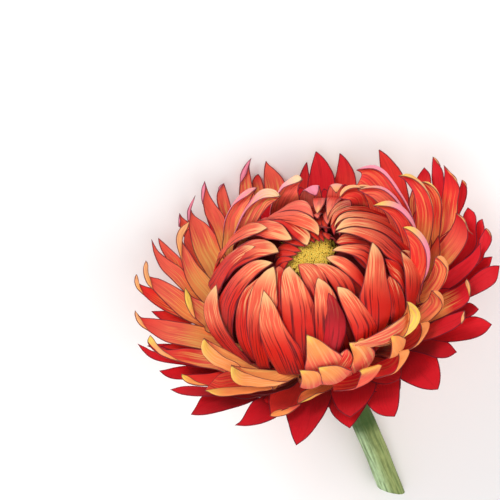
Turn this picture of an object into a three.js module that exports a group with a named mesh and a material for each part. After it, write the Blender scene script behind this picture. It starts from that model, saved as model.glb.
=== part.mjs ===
// Cut flower head of a strawflower on a short stem, lying on its side.
//
// The head is worked out in its own frame: Z runs up its axis, out of the disc,
// and the back of the head is +Y. Every row of bracts lies on its own bowl-shaped
// shell, and the shells nest in each other with a clear gap, from the scales
// under the head to the bracts that curl in over the disc. At the end the whole
// head is tilted so that it rests on its back bracts and on the cut end of the
// stem. Millimetres and degrees throughout.

import * as THREE from 'three';
import { mergeVertices } from 'three/addons/utils/BufferGeometryUtils.js';

// ---- driving dimensions ----------------------------------------------------
const BRACT_T = 0.4;          // thickness of a papery bract
const GAP = 0.35;             // side gap between bracts of one row
const SHELL_R0 = 12;          // radius where the bracts spring from the receptacle
const RECEPTACLE_R = 11.4;
const DISC_R = 4.5;           // radius of the disc of tubular florets
const DISC_TOP = 12.2;        // height of the disc above the bract line
const STEM_R = 2.15;
const LEAN_X = 0.07;          // lean of the dome over the disc, per mm of height
const LEAN_Y = 0.05;
// two bracts at the back of the lowest row droop; the head lies on their tips
const PROP_ANGLES = [65, 116];
const PROP_DROOP = 3.1;
// resting pose of the whole flower
const REST_TILT = 40.549;     // degrees between the head's axis and the surface
const REST_ROLL = -0.412;     // turn about the head's own axis
const REST_LIFT = [-0.080, -7.959, 21.2252];

const rad = THREE.MathUtils.degToRad;

// ---- the nested shells -----------------------------------------------------
// each knot: radius and height at the front of the head, then at its back
const zip = (f, b) => f.map((p, i) => [...p, ...b[i]]);
const SHELLS = {
  E: zip([[12, -2.55], [16, -0.75], [18.6, 1.0], [19.6, 3.9], [19.0, 6.9], [17.1, 9.5], [14.6, 11.6], [12.1, 13.3], [9.9, 14.6], [8.0, 15.3], [6.4, 15.3], [5.1, 14.6]],
    [[12, -2.55], [16, -0.25], [18.3, 1.5], [18.6, 4.4], [17.6, 7.2], [15.7, 9.7], [13.3, 11.8], [11.0, 13.4], [9.0, 14.7], [7.4, 15.35], [6.0, 15.3], [4.8, 14.6]]),
  Fo: zip([[12, -1.75], [15.6, 0.1], [17.9, 1.5], [18.8, 3.95], [18.2, 6.65], [16.5, 8.95], [14.1, 10.95], [11.65, 12.6], [9.55, 13.85], [7.85, 14.5], [6.5, 14.5], [5.4, 13.8]],
    [[12, -1.75], [15.6, 0.55], [17.6, 2.0], [17.8, 4.45], [16.85, 6.9], [15.1, 9.1], [12.8, 11.1], [10.6, 12.7], [8.7, 13.95], [7.25, 14.55], [6.1, 14.5], [5.1, 13.8]]),
  Fi: zip([[12, -0.95], [15.2, 0.9], [17.2, 2.0], [18.0, 4.0], [17.45, 6.4], [15.9, 8.4], [13.6, 10.3], [11.2, 11.9], [9.2, 13.1], [7.7, 13.7], [6.6, 13.7], [5.8, 13.0]],
    [[12, -0.95], [15.2, 1.3], [16.9, 2.5], [17.0, 4.5], [16.1, 6.6], [14.6, 8.5], [12.35, 10.45], [10.2, 12.0], [8.4, 13.2], [7.1, 13.75], [6.25, 13.7], [5.5, 13.0]]),
  C2: zip([[12, -3.4], [16.4, -1.6], [19.3, 0.3], [20.6, 3.8], [20.0, 7.3], [18.0, 10.2], [15.3, 12.4]],
    [[12, -3.4], [16.4, -1.15], [19.0, 0.8], [19.6, 4.4], [18.6, 7.7], [16.6, 10.4], [14.0, 12.6]]),
  C1: zip([[12, -4.25], [16.6, -2.2], [20, -0.75], [22.6, 1.0], [24.2, 3.6], [24.6, 6.6], [23.6, 9.2], [21.8, 11]],
    [[12, -4.25], [16.6, -1.6], [19.8, 0.4], [21.3, 3.4], [22.4, 6.8], [22.5, 9.8], [21.0, 11.8], [19.0, 13.0]]),
  P: zip([[7, -13.0], [10, -11.4], [13, -9.9], [16.5, -8.5], [19.5, -7.5]],
    [[7, -13.0], [10, -11.4], [13, -9.9], [16.5, -8.2], [19.5, -6.9]]),
};
// spreading rows: radius and height (front, back) that the tips of each row reach
const SPREAD_TIPS = [[31, -4.8, 4.2], [31, -2.9, 5.8], [31, -0.9, 7.3], [30.5, 1.2, 8.8], [29.5, 3.4, 10.4]];
const SPREAD_R = [12, 16, 20, 22.5, 25, 27.5, 30, 32.5, 34.5];
function spreadHeight(k, r, back) {
  const z0 = -8.85 + 0.75 * k;
  const z1 = back ? -4.1 + 0.76 * k : -5.6 + 0.8 * k;
  if (r <= 20) return z0 + (z1 - z0) * (r - SHELL_R0) / 8;
  const [rt, zf, zb] = SPREAD_TIPS[k];
  const t = (r - 20) / (rt - 20);
  return z1 + ((back ? zb : zf) - z1) * (0.7 * t + 0.3 * t * t);
}
for (let k = 0; k < 5; k++) {
  SHELLS['S' + k] = SPREAD_R.map((r) => [r, spreadHeight(k, r, false), r, spreadHeight(k, r, true)]);
}

function droop(r, phi) {
  const out = Math.min(Math.max((r - 20) / 11, 0), 1);
  let w = 0;
  for (const a of PROP_ANGLES) w = Math.max(w, 1 - (Math.abs(Math.atan2(Math.sin(phi - rad(a)), Math.cos(phi - rad(a)))) / rad(17)) ** 2);
  return PROP_DROOP * w * out * out * (3 - 2 * out);
}
function shellPoint(name, s, phi, out = new THREE.Vector3()) {
  const K = SHELLS[name];
  const c = Math.min(Math.max(s, 0), K.length - 1 - 1e-9);
  const i = Math.floor(c), t = c - i, b = (1 + Math.sin(phi)) / 2;
  const m = [0, 1, 2, 3].map((j) => K[i][j] + (K[i + 1][j] - K[i][j]) * t);
  const r = m[0] * (1 - b) + m[2] * b, z = m[1] * (1 - b) + m[3] * b;
  const up = name[0] === 'S' || name === 'P' ? 0 : Math.max(z - 3, 0);
  return out.set(r * Math.cos(phi) + LEAN_X * up, r * Math.sin(phi) + LEAN_Y * up, name === 'S0' ? z - droop(r, phi) : z);
}
function shellNormal(name, s, phi) {
  const n = SHELLS[name].length - 1;
  const a = shellPoint(name, Math.max(s - 0.02, 0), phi), b = shellPoint(name, Math.min(s + 0.02, n), phi);
  const c = shellPoint(name, s, phi - 0.01), d = shellPoint(name, s, phi + 0.01);
  // towards the inner, upper face of the bract
  return b.sub(a).cross(d.sub(c)).normalize();
}
const radiusAt = (name, s, phi) => {
  const p = shellPoint(name, s, phi);
  return Math.hypot(p.x, p.y);
};

// ---- closed thin solids ----------------------------------------------------
// grid of mid-surface points with normals; thickness h[i][j]
function plate(rows, closed = false) {
  const n = rows.length, m = rows[0].length, pos = [], idx = [];
  for (const side of [0.5, -0.5]) {
    for (const row of rows) for (const q of row) pos.push(q.p.x + q.n.x * q.t * side, q.p.y + q.n.y * q.t * side, q.p.z + q.n.z * q.t * side);
  }
  const A = (i, j) => i * m + (closed ? j % m : j), B = (i, j) => n * m + A(i, j);
  const quad = (a, b, c, d) => idx.push(a, b, c, a, c, d);
  const w = closed ? m : m - 1;
  for (let i = 0; i < n - 1; i++) for (let j = 0; j < w; j++) {
    quad(A(i, j), A(i + 1, j), A(i + 1, j + 1), A(i, j + 1));
    quad(B(i, j), B(i, j + 1), B(i + 1, j + 1), B(i + 1, j));
  }
  for (let j = 0; j < w; j++) {
    quad(A(0, j), A(0, j + 1), B(0, j + 1), B(0, j));
    quad(A(n - 1, j + 1), A(n - 1, j), B(n - 1, j), B(n - 1, j + 1));
  }
  if (!closed) for (let i = 0; i < n - 1; i++) {
    quad(A(i + 1, 0), A(i, 0), B(i, 0), B(i + 1, 0));
    quad(A(i, m - 1), A(i + 1, m - 1), B(i + 1, m - 1), B(i, m - 1));
  }
  const g = new THREE.BufferGeometry();
  g.setAttribute('position', new THREE.Float32BufferAttribute(pos, 3));
  g.setIndex(idx);
  return outward(g);
}
function volume(g) {
  const p = g.attributes.position, ix = g.index.array;
  const a = new THREE.Vector3(), b = new THREE.Vector3(), c = new THREE.Vector3();
  let v = 0;
  for (let i = 0; i < ix.length; i += 3) {
    a.fromBufferAttribute(p, ix[i]); b.fromBufferAttribute(p, ix[i + 1]); c.fromBufferAttribute(p, ix[i + 2]);
    v += a.dot(b.cross(c)) / 6;
  }
  return v;
}
function outward(g) {
  if (volume(g) < 0) {
    const ix = g.index.array;
    for (let i = 0; i < ix.length; i += 3) { const t = ix[i]; ix[i] = ix[i + 1]; ix[i + 1] = t; }
  }
  return g;
}

// outline of a bract: narrow claw, broad middle, pointed tip
const SPREAD_OUTLINE = [[0, 0.55], [0.25, 0.72], [0.5, 0.93], [0.66, 1], [0.8, 0.86], [0.9, 0.58], [0.96, 0.32], [1, 0.07]];
const CURLED_OUTLINE = [[0, 0.5], [0.3, 0.8], [0.52, 1], [0.7, 0.92], [0.85, 0.62], [0.94, 0.34], [1, 0.08]];
function lookup(tab, u) {
  for (let i = 1; i < tab.length; i++) if (u <= tab[i][0]) {
    const [a, b] = [tab[i - 1], tab[i]];
    return a[1] + (b[1] - a[1]) * (u - a[0]) / (b[0] - a[0]);
  }
  return tab[tab.length - 1][1];
}

// a bract's mid-line angle: straight out of the receptacle, then through three points
function midline(row) {
  const p = [[row[1], rad(row[2])], [row[3], rad(row[4])], [row[5], rad(row[6])]];
  const [[a, pa], [b, pb], [c, pc]] = p;
  const slope = (pb - pa) / Math.max(b - a, row.spread ? 1 : 0.4), reach = row.spread ? 4 : 1.5;
  return (s) => {
    if (s <= a) { const d = Math.min(a - s, reach); return pa - slope * (d - d * d / (2 * reach)) * 0.6; }
    if (b - a < 0.25 || c - b < 0.25) return pa + (pc - pa) * (s - a) / Math.max(c - a, 0.5);
    return pa * (s - b) * (s - c) / ((a - b) * (a - c)) + pb * (s - a) * (s - c) / ((b - a) * (b - c)) + pc * (s - a) * (s - b) / ((c - a) * (c - b));
  };
}
const sOfR = (r) => {
  for (let i = 1; i < SPREAD_R.length; i++) if (r <= SPREAD_R[i]) return i - 1 + (r - SPREAD_R[i - 1]) / (SPREAD_R[i] - SPREAD_R[i - 1]);
  return SPREAD_R.length - 1;
};
const TAU = 2 * Math.PI;
const turn = (a) => ((a % TAU) + TAU) % TAU;

// one row: bracts in order round the head, their bases spread out evenly, and
// neighbours moved apart where they would run into each other
function makeRow(shell) {
  const spread = shell[0] === 'S', start = spread ? SHELL_R0 : 0, settled = spread ? 20 : 3;
  const outline = spread ? SPREAD_OUTLINE : CURLED_OUTLINE, step = spread ? 0.5 : 0.2;
  const toS = spread ? sOfR : (x) => x;
  const reach = spread ? SPREAD_R[SPREAD_R.length - 1] : SHELLS[shell].length - 1;
  const levels = Math.round((reach - start) / step) + 1;
  const list = ROWS[shell].map((r) => {
    const row = [...r];
    row.spread = spread;
    const mid = midline(row), end = row[5];
    const across = row[0] > (spread ? 4.6 : 3.3) ? 3 : 2;      // columns over the width
    return { shell, end, toS, row, mid, across, order: turn(mid(spread ? 20 : 4)), half: (x) => row[0] * lookup(outline, Math.min(1, (x - start) / (end - start))) / 2 };
  }).sort((p, q) => p.order - q.order);
  const n = list.length;
  for (const b of list) b.base = b.order + (((b.mid(start) - b.mid(spread ? 20 : 4)) + Math.PI) % TAU + TAU) % TAU - Math.PI;
  const shift = list.reduce((sum, b, i) => sum + b.base - i * TAU / n, 0) / n;
  list.forEach((b, i) => {
    const off = 0.7 * (shift + i * TAU / n - b.base);
    b.phis = Array.from({ length: levels }, (_, k) => {
      const x = start + k * step, m = b.mid(Math.min(x, b.end));
      const w = Math.max(0, 1 - (x - start) / (settled - start));
      return b.order + (m - b.mid(spread ? 20 : 4)) + off * w * w * (3 - 2 * w);
    });
  });
  const levelR = Array.from({ length: levels }, (_, k) => radiusAt(shell, toS(start + k * step), 0));
  for (let it = 0; it < 60; it++) {
    for (let i = 0; i < n; i++) {
      const p = list[i], q = list[(i + 1) % n], wrap = i + 1 === n ? TAU : 0;
      for (let k = 0; k < levels; k++) {
        const x = start + k * step;
        if (x > p.end + step || x > q.end + step) continue;
        const need = (0.8 * (p.half(Math.min(x, p.end)) + q.half(Math.min(x, q.end))) + GAP) / levelR[k];
        const d = need - (q.phis[k] + wrap - p.phis[k]);
        if (d > 0) { p.phis[k] -= d * 0.3; q.phis[k] += d * 0.3; }
      }
    }
    for (const b of list) for (let k = 1; k < levels - 1; k++) b.phis[k] += 0.25 * (b.phis[k - 1] + b.phis[k + 1] - 2 * b.phis[k]);
  }
  for (const b of list) {
    b.phi = (x) => {
      const u = Math.min(Math.max((x - start) / step, 0), levels - 1.001), k = Math.floor(u);
      return b.phis[k] + (b.phis[k + 1] - b.phis[k]) * (u - k);
    };
    const xs = new Set([start, b.end]);
    const knots = spread ? SPREAD_R : SHELLS[shell].map((_, i) => i);
    for (const k of knots) if (k < b.end - 0.12 * (spread ? 4 : 1)) xs.add(k);
    const last = Math.max(...[...xs].filter((x) => x < b.end));
    if (b.end - last > (spread ? 1.4 : 0.45)) xs.add(last + (b.end - last) * 0.55);
    b.xs = [...xs].sort((p, q) => p - q);
    for (let i = 1; i < b.xs.length; i++) if (Math.abs(b.phi(b.xs[i]) - b.phi(b.xs[i - 1])) > rad(14)) { b.xs.splice(i, 0, (b.xs[i] + b.xs[i - 1]) / 2); i++; }
  }
  return { shell, list, start, spread };
}
// how far a bract may reach sideways before it meets its neighbour
function sideLimit(b, nb, x, sign, spread) {
  const unit = spread ? 1 : 0.3, start = spread ? SHELL_R0 : 0;
  let lim = Infinity;
  for (let q = x - 1.6 * unit; q <= x + 1.6 * unit; q += 0.3 * unit) {
    if (q < start || q > nb.end + 0.5 * unit || q > b.end + 0.5 * unit) continue;
    let d = turn((nb.phi(q) - b.phi(q)) * sign);
    if (d > Math.PI) continue;
    const room = d * radiusAt(b.shell, b.toS(q), b.phi(q));
    lim = Math.min(lim, Math.max(room - nb.half(Math.min(q, nb.end)) - GAP, room / 2 - GAP / 2));
  }
  return lim;
}
function sections(row, i) {
  const { list, spread } = row, n = list.length, b = list[i];
  return b.xs.map((x) => {
    const s = b.toS(x), phi = b.phi(x), r = radiusAt(b.shell, s, phi), h = b.half(x);
    const R = Math.max(0.12, Math.min(h, sideLimit(b, list[(i + 1) % n], x, 1, spread)));
    const L = Math.max(0.12, Math.min(h, sideLimit(b, list[(i + n - 1) % n], x, -1, spread)));
    const t = x >= b.end - 1e-6 ? BRACT_T * 0.6 : BRACT_T;
    return { x, cols: (b.across === 3 ? [-L, (R - L) / 2, R] : [-L, R]).map((o) => ({ p: shellPoint(b.shell, s, phi + o / r), n: shellNormal(b.shell, s, phi + o / r), t })) };
  });
}
const bractGeometry = (row, i) => plate(sections(row, i).map((q) => q.cols));

// a whorl of bracts grown together: a band round the receptacle with every
// bract rising out of its edge, as one closed skin
function whorlGeometry(row, bandTo) {
  const { list, shell, start } = row, n = list.length, pos = [], idx = [];
  const both = (q) => {
    const k = pos.length / 3;
    for (const side of [0.5, -0.5]) pos.push(q.p.x + q.n.x * q.t * side, q.p.y + q.n.y * q.t * side, q.p.z + q.n.z * q.t * side);
    return k;                                   // upper face k, lower face k + 1
  };
  const quad = (a, b, c, d) => idx.push(a, b, c, a, c, d);
  const skin = (a, b, c, d) => { quad(a, b, c, d); quad(a + 1, d + 1, c + 1, b + 1); };
  const wall = (a, b) => quad(a, b, b + 1, a + 1);
  const rims = [];
  const angleOf = (k) => Math.atan2(pos[k * 3 + 1] + pos[k * 3 + 4], pos[k * 3] + pos[k * 3 + 3]);
  list.forEach((b, i) => {
    const m = b.across - 1;
    const secs = sections(row, i).filter((q) => q.x > bandTo + 0.05);
    const bandX = [start, bandTo];
    const rows = bandX.map((x) => {
      const s = b.toS(x), phi = b.phi(x), r = radiusAt(shell, s, phi);
      const nx = turn(list[(i + 1) % n].phi(x) - phi) * r, pv = turn(phi - list[(i + n - 1) % n].phi(x)) * r;
      const R = Math.min(b.half(x), nx / 2 - 0.3), L = Math.min(b.half(x), pv / 2 - 0.3);
      return (b.across === 3 ? [-L, (R - L) / 2, R] : [-L, R]).map((o) => both({ p: shellPoint(shell, s, phi + o / r), n: shellNormal(shell, s, phi + o / r), t: BRACT_T }));
    }).concat(secs.map((q) => q.cols.map(both)));
    for (let k = 0; k < rows.length - 1; k++) {
      for (let j = 0; j < m; j++) skin(rows[k][j], rows[k + 1][j], rows[k + 1][j + 1], rows[k][j + 1]);
      if (k > 0) { wall(rows[k + 1][0], rows[k][0]); wall(rows[k][m], rows[k + 1][m]); }
    }
    const e = rows[rows.length - 1];
    for (let j = 0; j < m; j++) { wall(rows[0][j], rows[0][j + 1]); wall(e[j + 1], e[j]); }
    rims.push(rows);
  });
  for (let i = 0; i < n; i++) {
    const a = rims[i], b = rims[(i + 1) % n], p = list[i], q = list[(i + 1) % n];
    const from = [start, bandTo].map((x, k) => angleOf(a[k][p.across - 1])), gap = [0, 1].map((k) => turn(angleOf(b[k][0]) - from[k]));
    const parts = Math.max(1, Math.ceil(gap[0] / rad(16)));
    let prev = [a[0][p.across - 1], a[1][p.across - 1]];
    for (let c = 1; c <= parts; c++) {
      const here = c === parts ? [b[0][0], b[1][0]] : [start, bandTo].map((x, k) => {
        const s = p.toS(x), phi = from[k] + gap[k] * c / parts;
        return both({ p: shellPoint(shell, s, phi), n: shellNormal(shell, s, phi), t: BRACT_T });
      });
      skin(prev[0], prev[1], here[1], here[0]);
      wall(prev[0], here[0]);
      wall(here[1], prev[1]);
      prev = here;
    }
  }
  const g = new THREE.BufferGeometry();
  g.setAttribute('position', new THREE.Float32BufferAttribute(pos, 3));
  g.setIndex(idx);
  return outward(g);
}

// ---- rows of bracts ---------------------------------------------------------
// width, then three points of the mid-line: place along the shell, and angle
// round the head. On the spreading rows the place is the radius; on the others
// it counts the shell's knots.
const ROWS = {
  Fi: [ // 12
    [2.9, 3.0, 4, 5.8, 15, 9.9, 14],
    [2.5, 3.0, 11, 4.0, 39, 10.0, 22],
    [2.5, 4.0, 36, 4.3, 54, 9.1, 44],
    [2.5, 5.0, 82, 5.5, 72, 8.8, 56],
    [3.2, 5.0, 110, 7.9, 92, 10.8, 50],
    [3.6, 4.2, 130, 7.5, 124, 10.8, 117],
    [3.6, 4.0, 160, 6.9, 154, 10.8, 158],
    [4.3, 4.1, -138, 7.0, -152, 10.2, -165],
    [3.2, 5.8, -126, 7.7, -138, 10.8, -162],
    [4.3, 6.7, -87, 8.7, -92, 10.8, -122],
    [3.6, 5.8, -56, 7.7, -48, 10.8, -50],
    [2.7, 6.1, -28, 7.9, -24, 10.8, -19],
  ],
  Fo: [ // 15
    [2.5, 3.0, 8, 5.2, 24, 10.1, 14],
    [2.5, 4.0, 19, 4.8, 43, 9.6, 32],
    [2.3, 5.1, 56, 7.1, 49, 9.8, 36],
    [2.7, 5.1, 95, 6.9, 82, 9.9, 60],
    [3.6, 4.0, 118, 9.0, 114, 10.6, 90],
    [3.2, 4.0, 143, 4.9, 128, 8.0, 128],
    [3.4, 3.0, 164, 5.0, 155, 7.7, 156],
    [4.7, 3.2, -164, 5.7, -176, 9.7, -166],
    [3.6, 3.1, -144, 6.0, -156, 9.6, -162],
    [6.5, 4.4, -111, 6.7, -118, 10.6, -140],
    [4.0, 5.8, -68, 8.1, -67, 10.6, -90],
    [3.6, 2.7, -47, 4.1, -42, 5.5, -34],
    [3.1, 6.4, -46, 8.0, -36, 10.6, -36],
    [3.2, 3.5, -36, 4.8, -26, 5.9, -22],
    [4.0, 4.0, -16, 6.5, -8, 10.2, 5],
  ],
  E: [ // 7
    [4.3, 2.2, -152, 3.6, -168, 4.9, -190],
    [6.8, 2.6, -120, 5.1, -128, 7.3, -147],
    [4.3, 4.7, -98, 6.5, -96, 8.8, -88],
    [5.0, 3.7, -90, 5.5, -86, 7.3, -83],
    [5.8, 3.8, -75, 5.6, -72, 7.4, -76],
    [5.9, 3.9, -63, 5.7, -47, 6.8, -12],
    [4.0, 3.2, -40, 3.8, -25, 4.9, -12],
  ],
  C2: [ // 14
    [3.1, 3.6, 10, 5.2, 27, 5.7, 39],
    [2.5, 4.3, 45, 5.3, 36, 5.6, 30],
    [2.7, 4.4, 54, 5.5, 48, 5.8, 38],
    [3.2, 3.6, 64, 5.5, 61, 5.9, 50],
    [2.9, 3.6, 76, 5.0, 78, 5.7, 70],
    [2.9, 2.8, 104, 4.9, 92, 5.2, 79],
    [3.2, 3.2, 129, 5.3, 111, 5.7, 94],
    [4.3, 2.5, -108, 3.2, -106, 3.7, -110],
    [6.1, 2.9, -98, 4.2, -101, 5.3, -106],
    [5.0, 2.5, -97, 3.3, -94, 3.7, -101],
    [4.7, 2.7, -93, 3.4, -88, 3.9, -84],
    [3.2, 2.6, -86, 3.7, -64, 4.0, -50],
    [4.3, 2.5, -85, 3.7, -78, 4.4, -82],
    [3.2, 3.6, -3, 5.2, 10, 6.0, 20],
  ],
  C1: [ // 13
    [2.9, 3.1, 10, 5.0, 22, 5.3, 32],
    [3.6, 3.4, 20, 6.0, 40, 6.3, 50],
    [3.6, 2.8, 133, 6.5, 120, 6.8, 104],
    [3.4, 3.3, -128, 5.0, -150, 5.5, -158],
    [3.4, 3.3, -116, 4.7, -134, 5.3, -140],
    [4.0, 3.0, -86, 3.9, -78, 4.8, -83],
    [2.7, 3.2, -69, 4.1, -62, 4.8, -66],
    [3.4, 3.2, -66, 4.7, -60, 5.8, -64],
    [3.2, 3.3, -56, 4.4, -49, 4.8, -48],
    [3.4, 3.3, -54, 5.2, -46, 6.7, -46],
    [3.2, 3.3, -40, 5.0, -36, 5.4, -36],
    [3.2, 3.1, -29, 5.0, -22, 5.5, -18],
    [3.2, 3.3, -23, 6.7, -12, 7.0, -4],
  ],
  S4: [ // 12
    [3.6, 20.8, 7, 24.0, 12, 26.3, 16],
    [3.6, 20.9, 14, 24.6, 21, 26.8, 24],
    [4.4, 20.0, 42, 23.0, 43, 26.0, 44],
    [4.4, 20.0, 60, 22.5, 61, 25.0, 62],
    [4.4, 20.0, 80, 22.2, 81, 24.5, 82],
    [4.4, 20.0, 98, 22.5, 99, 25.0, 100],
    [4.7, 21.6, 128, 25.8, 122, 29.2, 116],
    [3.1, 20.2, 156, 23.1, 150, 25.5, 148],
    [3.2, 19.8, 174, 22.0, 164, 24.2, 155],
    [4.7, 21.0, -45, 26.5, -38, 29.6, -35],
    [2.9, 30.5, -15, 32.5, -14, 33.2, -10],
    [3.6, 20.8, -4, 24.4, 2, 26.6, 7],
  ],
  S3: [ // 13
    [4.0, 24.1, 11, 29.6, 16, 32.1, 25],
    [2.5, 22.0, 15, 26.5, 18, 29.0, 24],
    [4.6, 20.0, 50, 23.8, 51, 27.5, 52],
    [4.6, 20.0, 70, 23.0, 71, 26.0, 72],
    [4.6, 20.0, 86, 23.2, 87, 26.5, 88],
    [4.9, 21.3, 134, 25.9, 126, 29.8, 120],
    [4.0, 21.9, 144, 26.1, 138, 28.4, 129],
    [4.5, 19.8, 178, 27.0, 176, 32.2, 172],
    [4.0, 20.0, -163, 25.0, -172, 30.3, -180],
    [3.2, 14.3, -132, 22.2, -144, 27.8, -150],
    [2.7, 17.9, -102, 19.8, -109, 22.6, -114],
    [5.0, 21.6, -32, 25.4, -23, 27.8, -17],
    [5.4, 21.1, -2, 26.9, 1, 28.8, 11],
  ],
  S2: [ // 17
    [3.8, 23.9, 28, 28.0, 32, 30.9, 34],
    [4.6, 20.0, 62, 23.8, 63, 27.5, 64],
    [4.9, 23.2, 74, 26.7, 73, 29.5, 74],
    [3.1, 25.6, 116, 27.9, 113, 29.6, 109],
    [3.6, 22.2, 142, 26.2, 135, 28.7, 130],
    [4.1, 21.9, 156, 28.4, 146, 31.9, 142],
    [4.1, 20.6, 171, 26.6, 158, 31.6, 150],
    [2.3, 22.0, -178, 26.3, -178, 29.6, -178],
    [2.7, 25.3, -168, 30.3, -174, 33.1, -178],
    [2.9, 20.9, -159, 25.5, -160, 28.4, -165],
    [2.7, 26.3, -149, 29.6, -156, 32.3, -159],
    [5.0, 16.1, -126, 21.3, -124, 25.3, -125],
    [7.2, 15.5, -84, 22.2, -90, 26.8, -92],
    [5.0, 20.0, -68, 23.8, -67, 27.5, -66],
    [3.1, 24.2, -46, 27.1, -46, 30.0, -46],
    [5.0, 20.0, -20, 24.8, -19, 29.5, -18],
    [4.5, 22.3, -10, 28.2, -6, 30.9, -4],
  ],
  S1: [ // 17
    [3.2, 28.5, 2, 30.7, 6, 31.5, 13],
    [2.9, 29.1, 15, 31.9, 16, 33.4, 20],
    [2.9, 27.0, 23, 31.2, 28, 33.1, 34],
    [4.5, 25.3, 40, 28.6, 46, 31.1, 52],
    [4.1, 24.8, 64, 27.2, 64, 29.8, 66],
    [2.7, 24.4, 81, 26.8, 80, 28.9, 78],
    [4.3, 24.0, 93, 27.6, 92, 30.3, 92],
    [2.7, 27.1, 106, 29.7, 100, 31.3, 96],
    [3.1, 25.0, 136, 28.3, 132, 31.1, 127],
    [3.4, 23.1, 168, 29.5, 160, 32.9, 154],
    [2.9, 23.9, -164, 28.4, -167, 31.5, -170],
    [3.8, 21.0, -142, 27.8, -148, 32.5, -149],
    [4.1, 18.6, -126, 24.4, -132, 29.4, -136],
    [5.9, 18.8, -74, 25.2, -76, 30.0, -78],
    [7.5, 17.4, -48, 24.6, -57, 30.5, -60],
    [2.7, 25.2, -25, 28.0, -26, 30.0, -26],
    [4.0, 26.8, -17, 30.9, -16, 33.6, -13],
  ],
  S0: [ // 22
    [3.2, 28.5, 2, 31.2, 4, 33.1, 8],
    [4.2, 20.0, 15, 25.8, 16, 31.5, 17],
    [4.4, 20.0, 30, 25.8, 31, 31.5, 32],
    [4.4, 20.0, 50, 25.2, 51, 30.5, 52],
    [4.4, 20.0, 66, 26.0, 65, 32.2, 65],
    [4.4, 20.0, 83, 24.0, 84, 28.0, 85],
    [2.5, 26.0, 99, 27.6, 99, 28.8, 97],
    [4.6, 20.0, 115, 26.0, 116, 32.2, 116],
    [2.7, 27.1, 142, 30.1, 140, 32.3, 138],
    [4.4, 20.0, 155, 25.8, 156, 31.5, 157],
    [2.3, 24.8, 166, 28.1, 164, 30.4, 164],
    [1.8, 24.8, -180, 28.9, -181, 31.8, -182],
    [4.6, 20.0, -168, 25.8, -167, 31.5, -166],
    [4.6, 20.0, -148, 25.2, -147, 30.5, -146],
    [5.0, 20.0, -128, 25.0, -127, 30.0, -126],
    [6.8, 14.3, -110, 23.7, -110, 29.4, -114],
    [5.8, 16.2, -90, 22.5, -93, 26.9, -94],
    [5.0, 20.0, -70, 24.8, -69, 29.5, -68],
    [4.6, 20.0, -50, 25.5, -49, 31.0, -48],
    [4.5, 20.8, -37, 27.4, -32, 32.8, -30],
    [4.6, 20.0, -20, 25.8, -19, 31.5, -18],
    [2.7, 27.8, -8, 30.9, -7, 32.4, -6],
  ],
  P: Array.from({ length: 14 }, (_, i) => [3.5, 1, i * 360 / 14, 2, i * 360 / 14 + 1, 3.4 + 0.5 * (i % 2), i * 360 / 14 + 2]),
};

const head = new THREE.Group();
const MATERIALS = {
  crimson: ['#c41a22', 0.55], red: ['#d63a22', 0.55], salmon: ['#e8603f', 0.55], orange: ['#f09a55', 0.55],
  green: ['#9cb07a', 0.7], yellow: ['#ecc94f', 0.8], pith: ['#a9955e', 0.85],
};
function addMesh(name, geometry, look) {
  const [color, roughness] = MATERIALS[look];
  const g = geometry.index ? geometry : mergeVertices(geometry);
  g.computeVertexNormals();
  const mesh = new THREE.Mesh(g, new THREE.MeshStandardMaterial({ color, roughness, metalness: 0, flatShading: true }));
  mesh.name = name;
  head.add(mesh);
  return mesh;
}
function whorl(name, shell, look, bandTo) {
  addMesh(name, whorlGeometry(makeRow(shell), bandTo), look);
}
function separate(prefix, shell, look) {
  const row = makeRow(shell);
  row.list.forEach((_, i) => addMesh(`${prefix}_${String(i + 1).padStart(2, '0')}`, bractGeometry(row, i), look));
}

whorl('incurved_bracts_inner', 'Fi', 'red', 0.5);
whorl('incurved_bracts_middle', 'Fo', 'red', 0.5);
whorl('incurved_bracts_outer', 'E', 'salmon', 0.5);
whorl('collar_bracts_inner', 'C2', 'orange', 0.45);
whorl('collar_bracts_outer', 'C1', 'orange', 0.45);
whorl('spreading_bracts_top_whorl', 'S4', 'salmon', 13.8);
separate('spreading_bract_upper', 'S3', 'red');
separate('spreading_bract_middle', 'S2', 'red');
separate('spreading_bract_lower', 'S1', 'crimson');
whorl('spreading_bracts_bottom_whorl', 'S0', 'crimson', 13.8);
whorl('underside_scales', 'P', 'pith', 0.6);

// ---- receptacle, disc and stem ----------------------------------------------
function lathe(points, segments) {
  const g = new THREE.LatheGeometry(points.map(([r, z]) => new THREE.Vector2(r, z)), segments);
  g.rotateX(Math.PI / 2);
  g.deleteAttribute('normal'); g.deleteAttribute('uv');
  return outward(mergeVertices(g, 1e-4));
}
addMesh('receptacle', lathe([[0, -12.9], [2.6, -12.9], [6.2, -12.1], [9.4, -10.4], [10.8, -9.4], [RECEPTACLE_R, -8.2], [RECEPTACLE_R, -1.4], [9.6, -0.5], [0, 0]], 28), 'pith');

// the packed florets fill the inside of the dome; only their tips show as the disc
const disc = lathe([[0, 0.35], [10.2, 0.35], [13.0, 1.7], [15.0, 3.5], [15.3, 4.8], [14.5, 6.6], [12.9, 8.4], [10.8, 10.0], [8.4, 11.1],
  [6.2, 11.6], [DISC_R + 0.3, 11.5], [DISC_R, DISC_TOP - 0.3], [2.6, DISC_TOP + 0.15], [0, DISC_TOP + 0.1]], 26);
{
  const p = disc.attributes.position;
  for (let i = 0; i < p.count; i++) {
    const up = Math.max(p.getZ(i) - 3, 0);
    p.setXY(i, p.getX(i) + LEAN_X * up, p.getY(i) + LEAN_Y * up);
  }
}
addMesh('disc_florets', disc, 'yellow');

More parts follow.
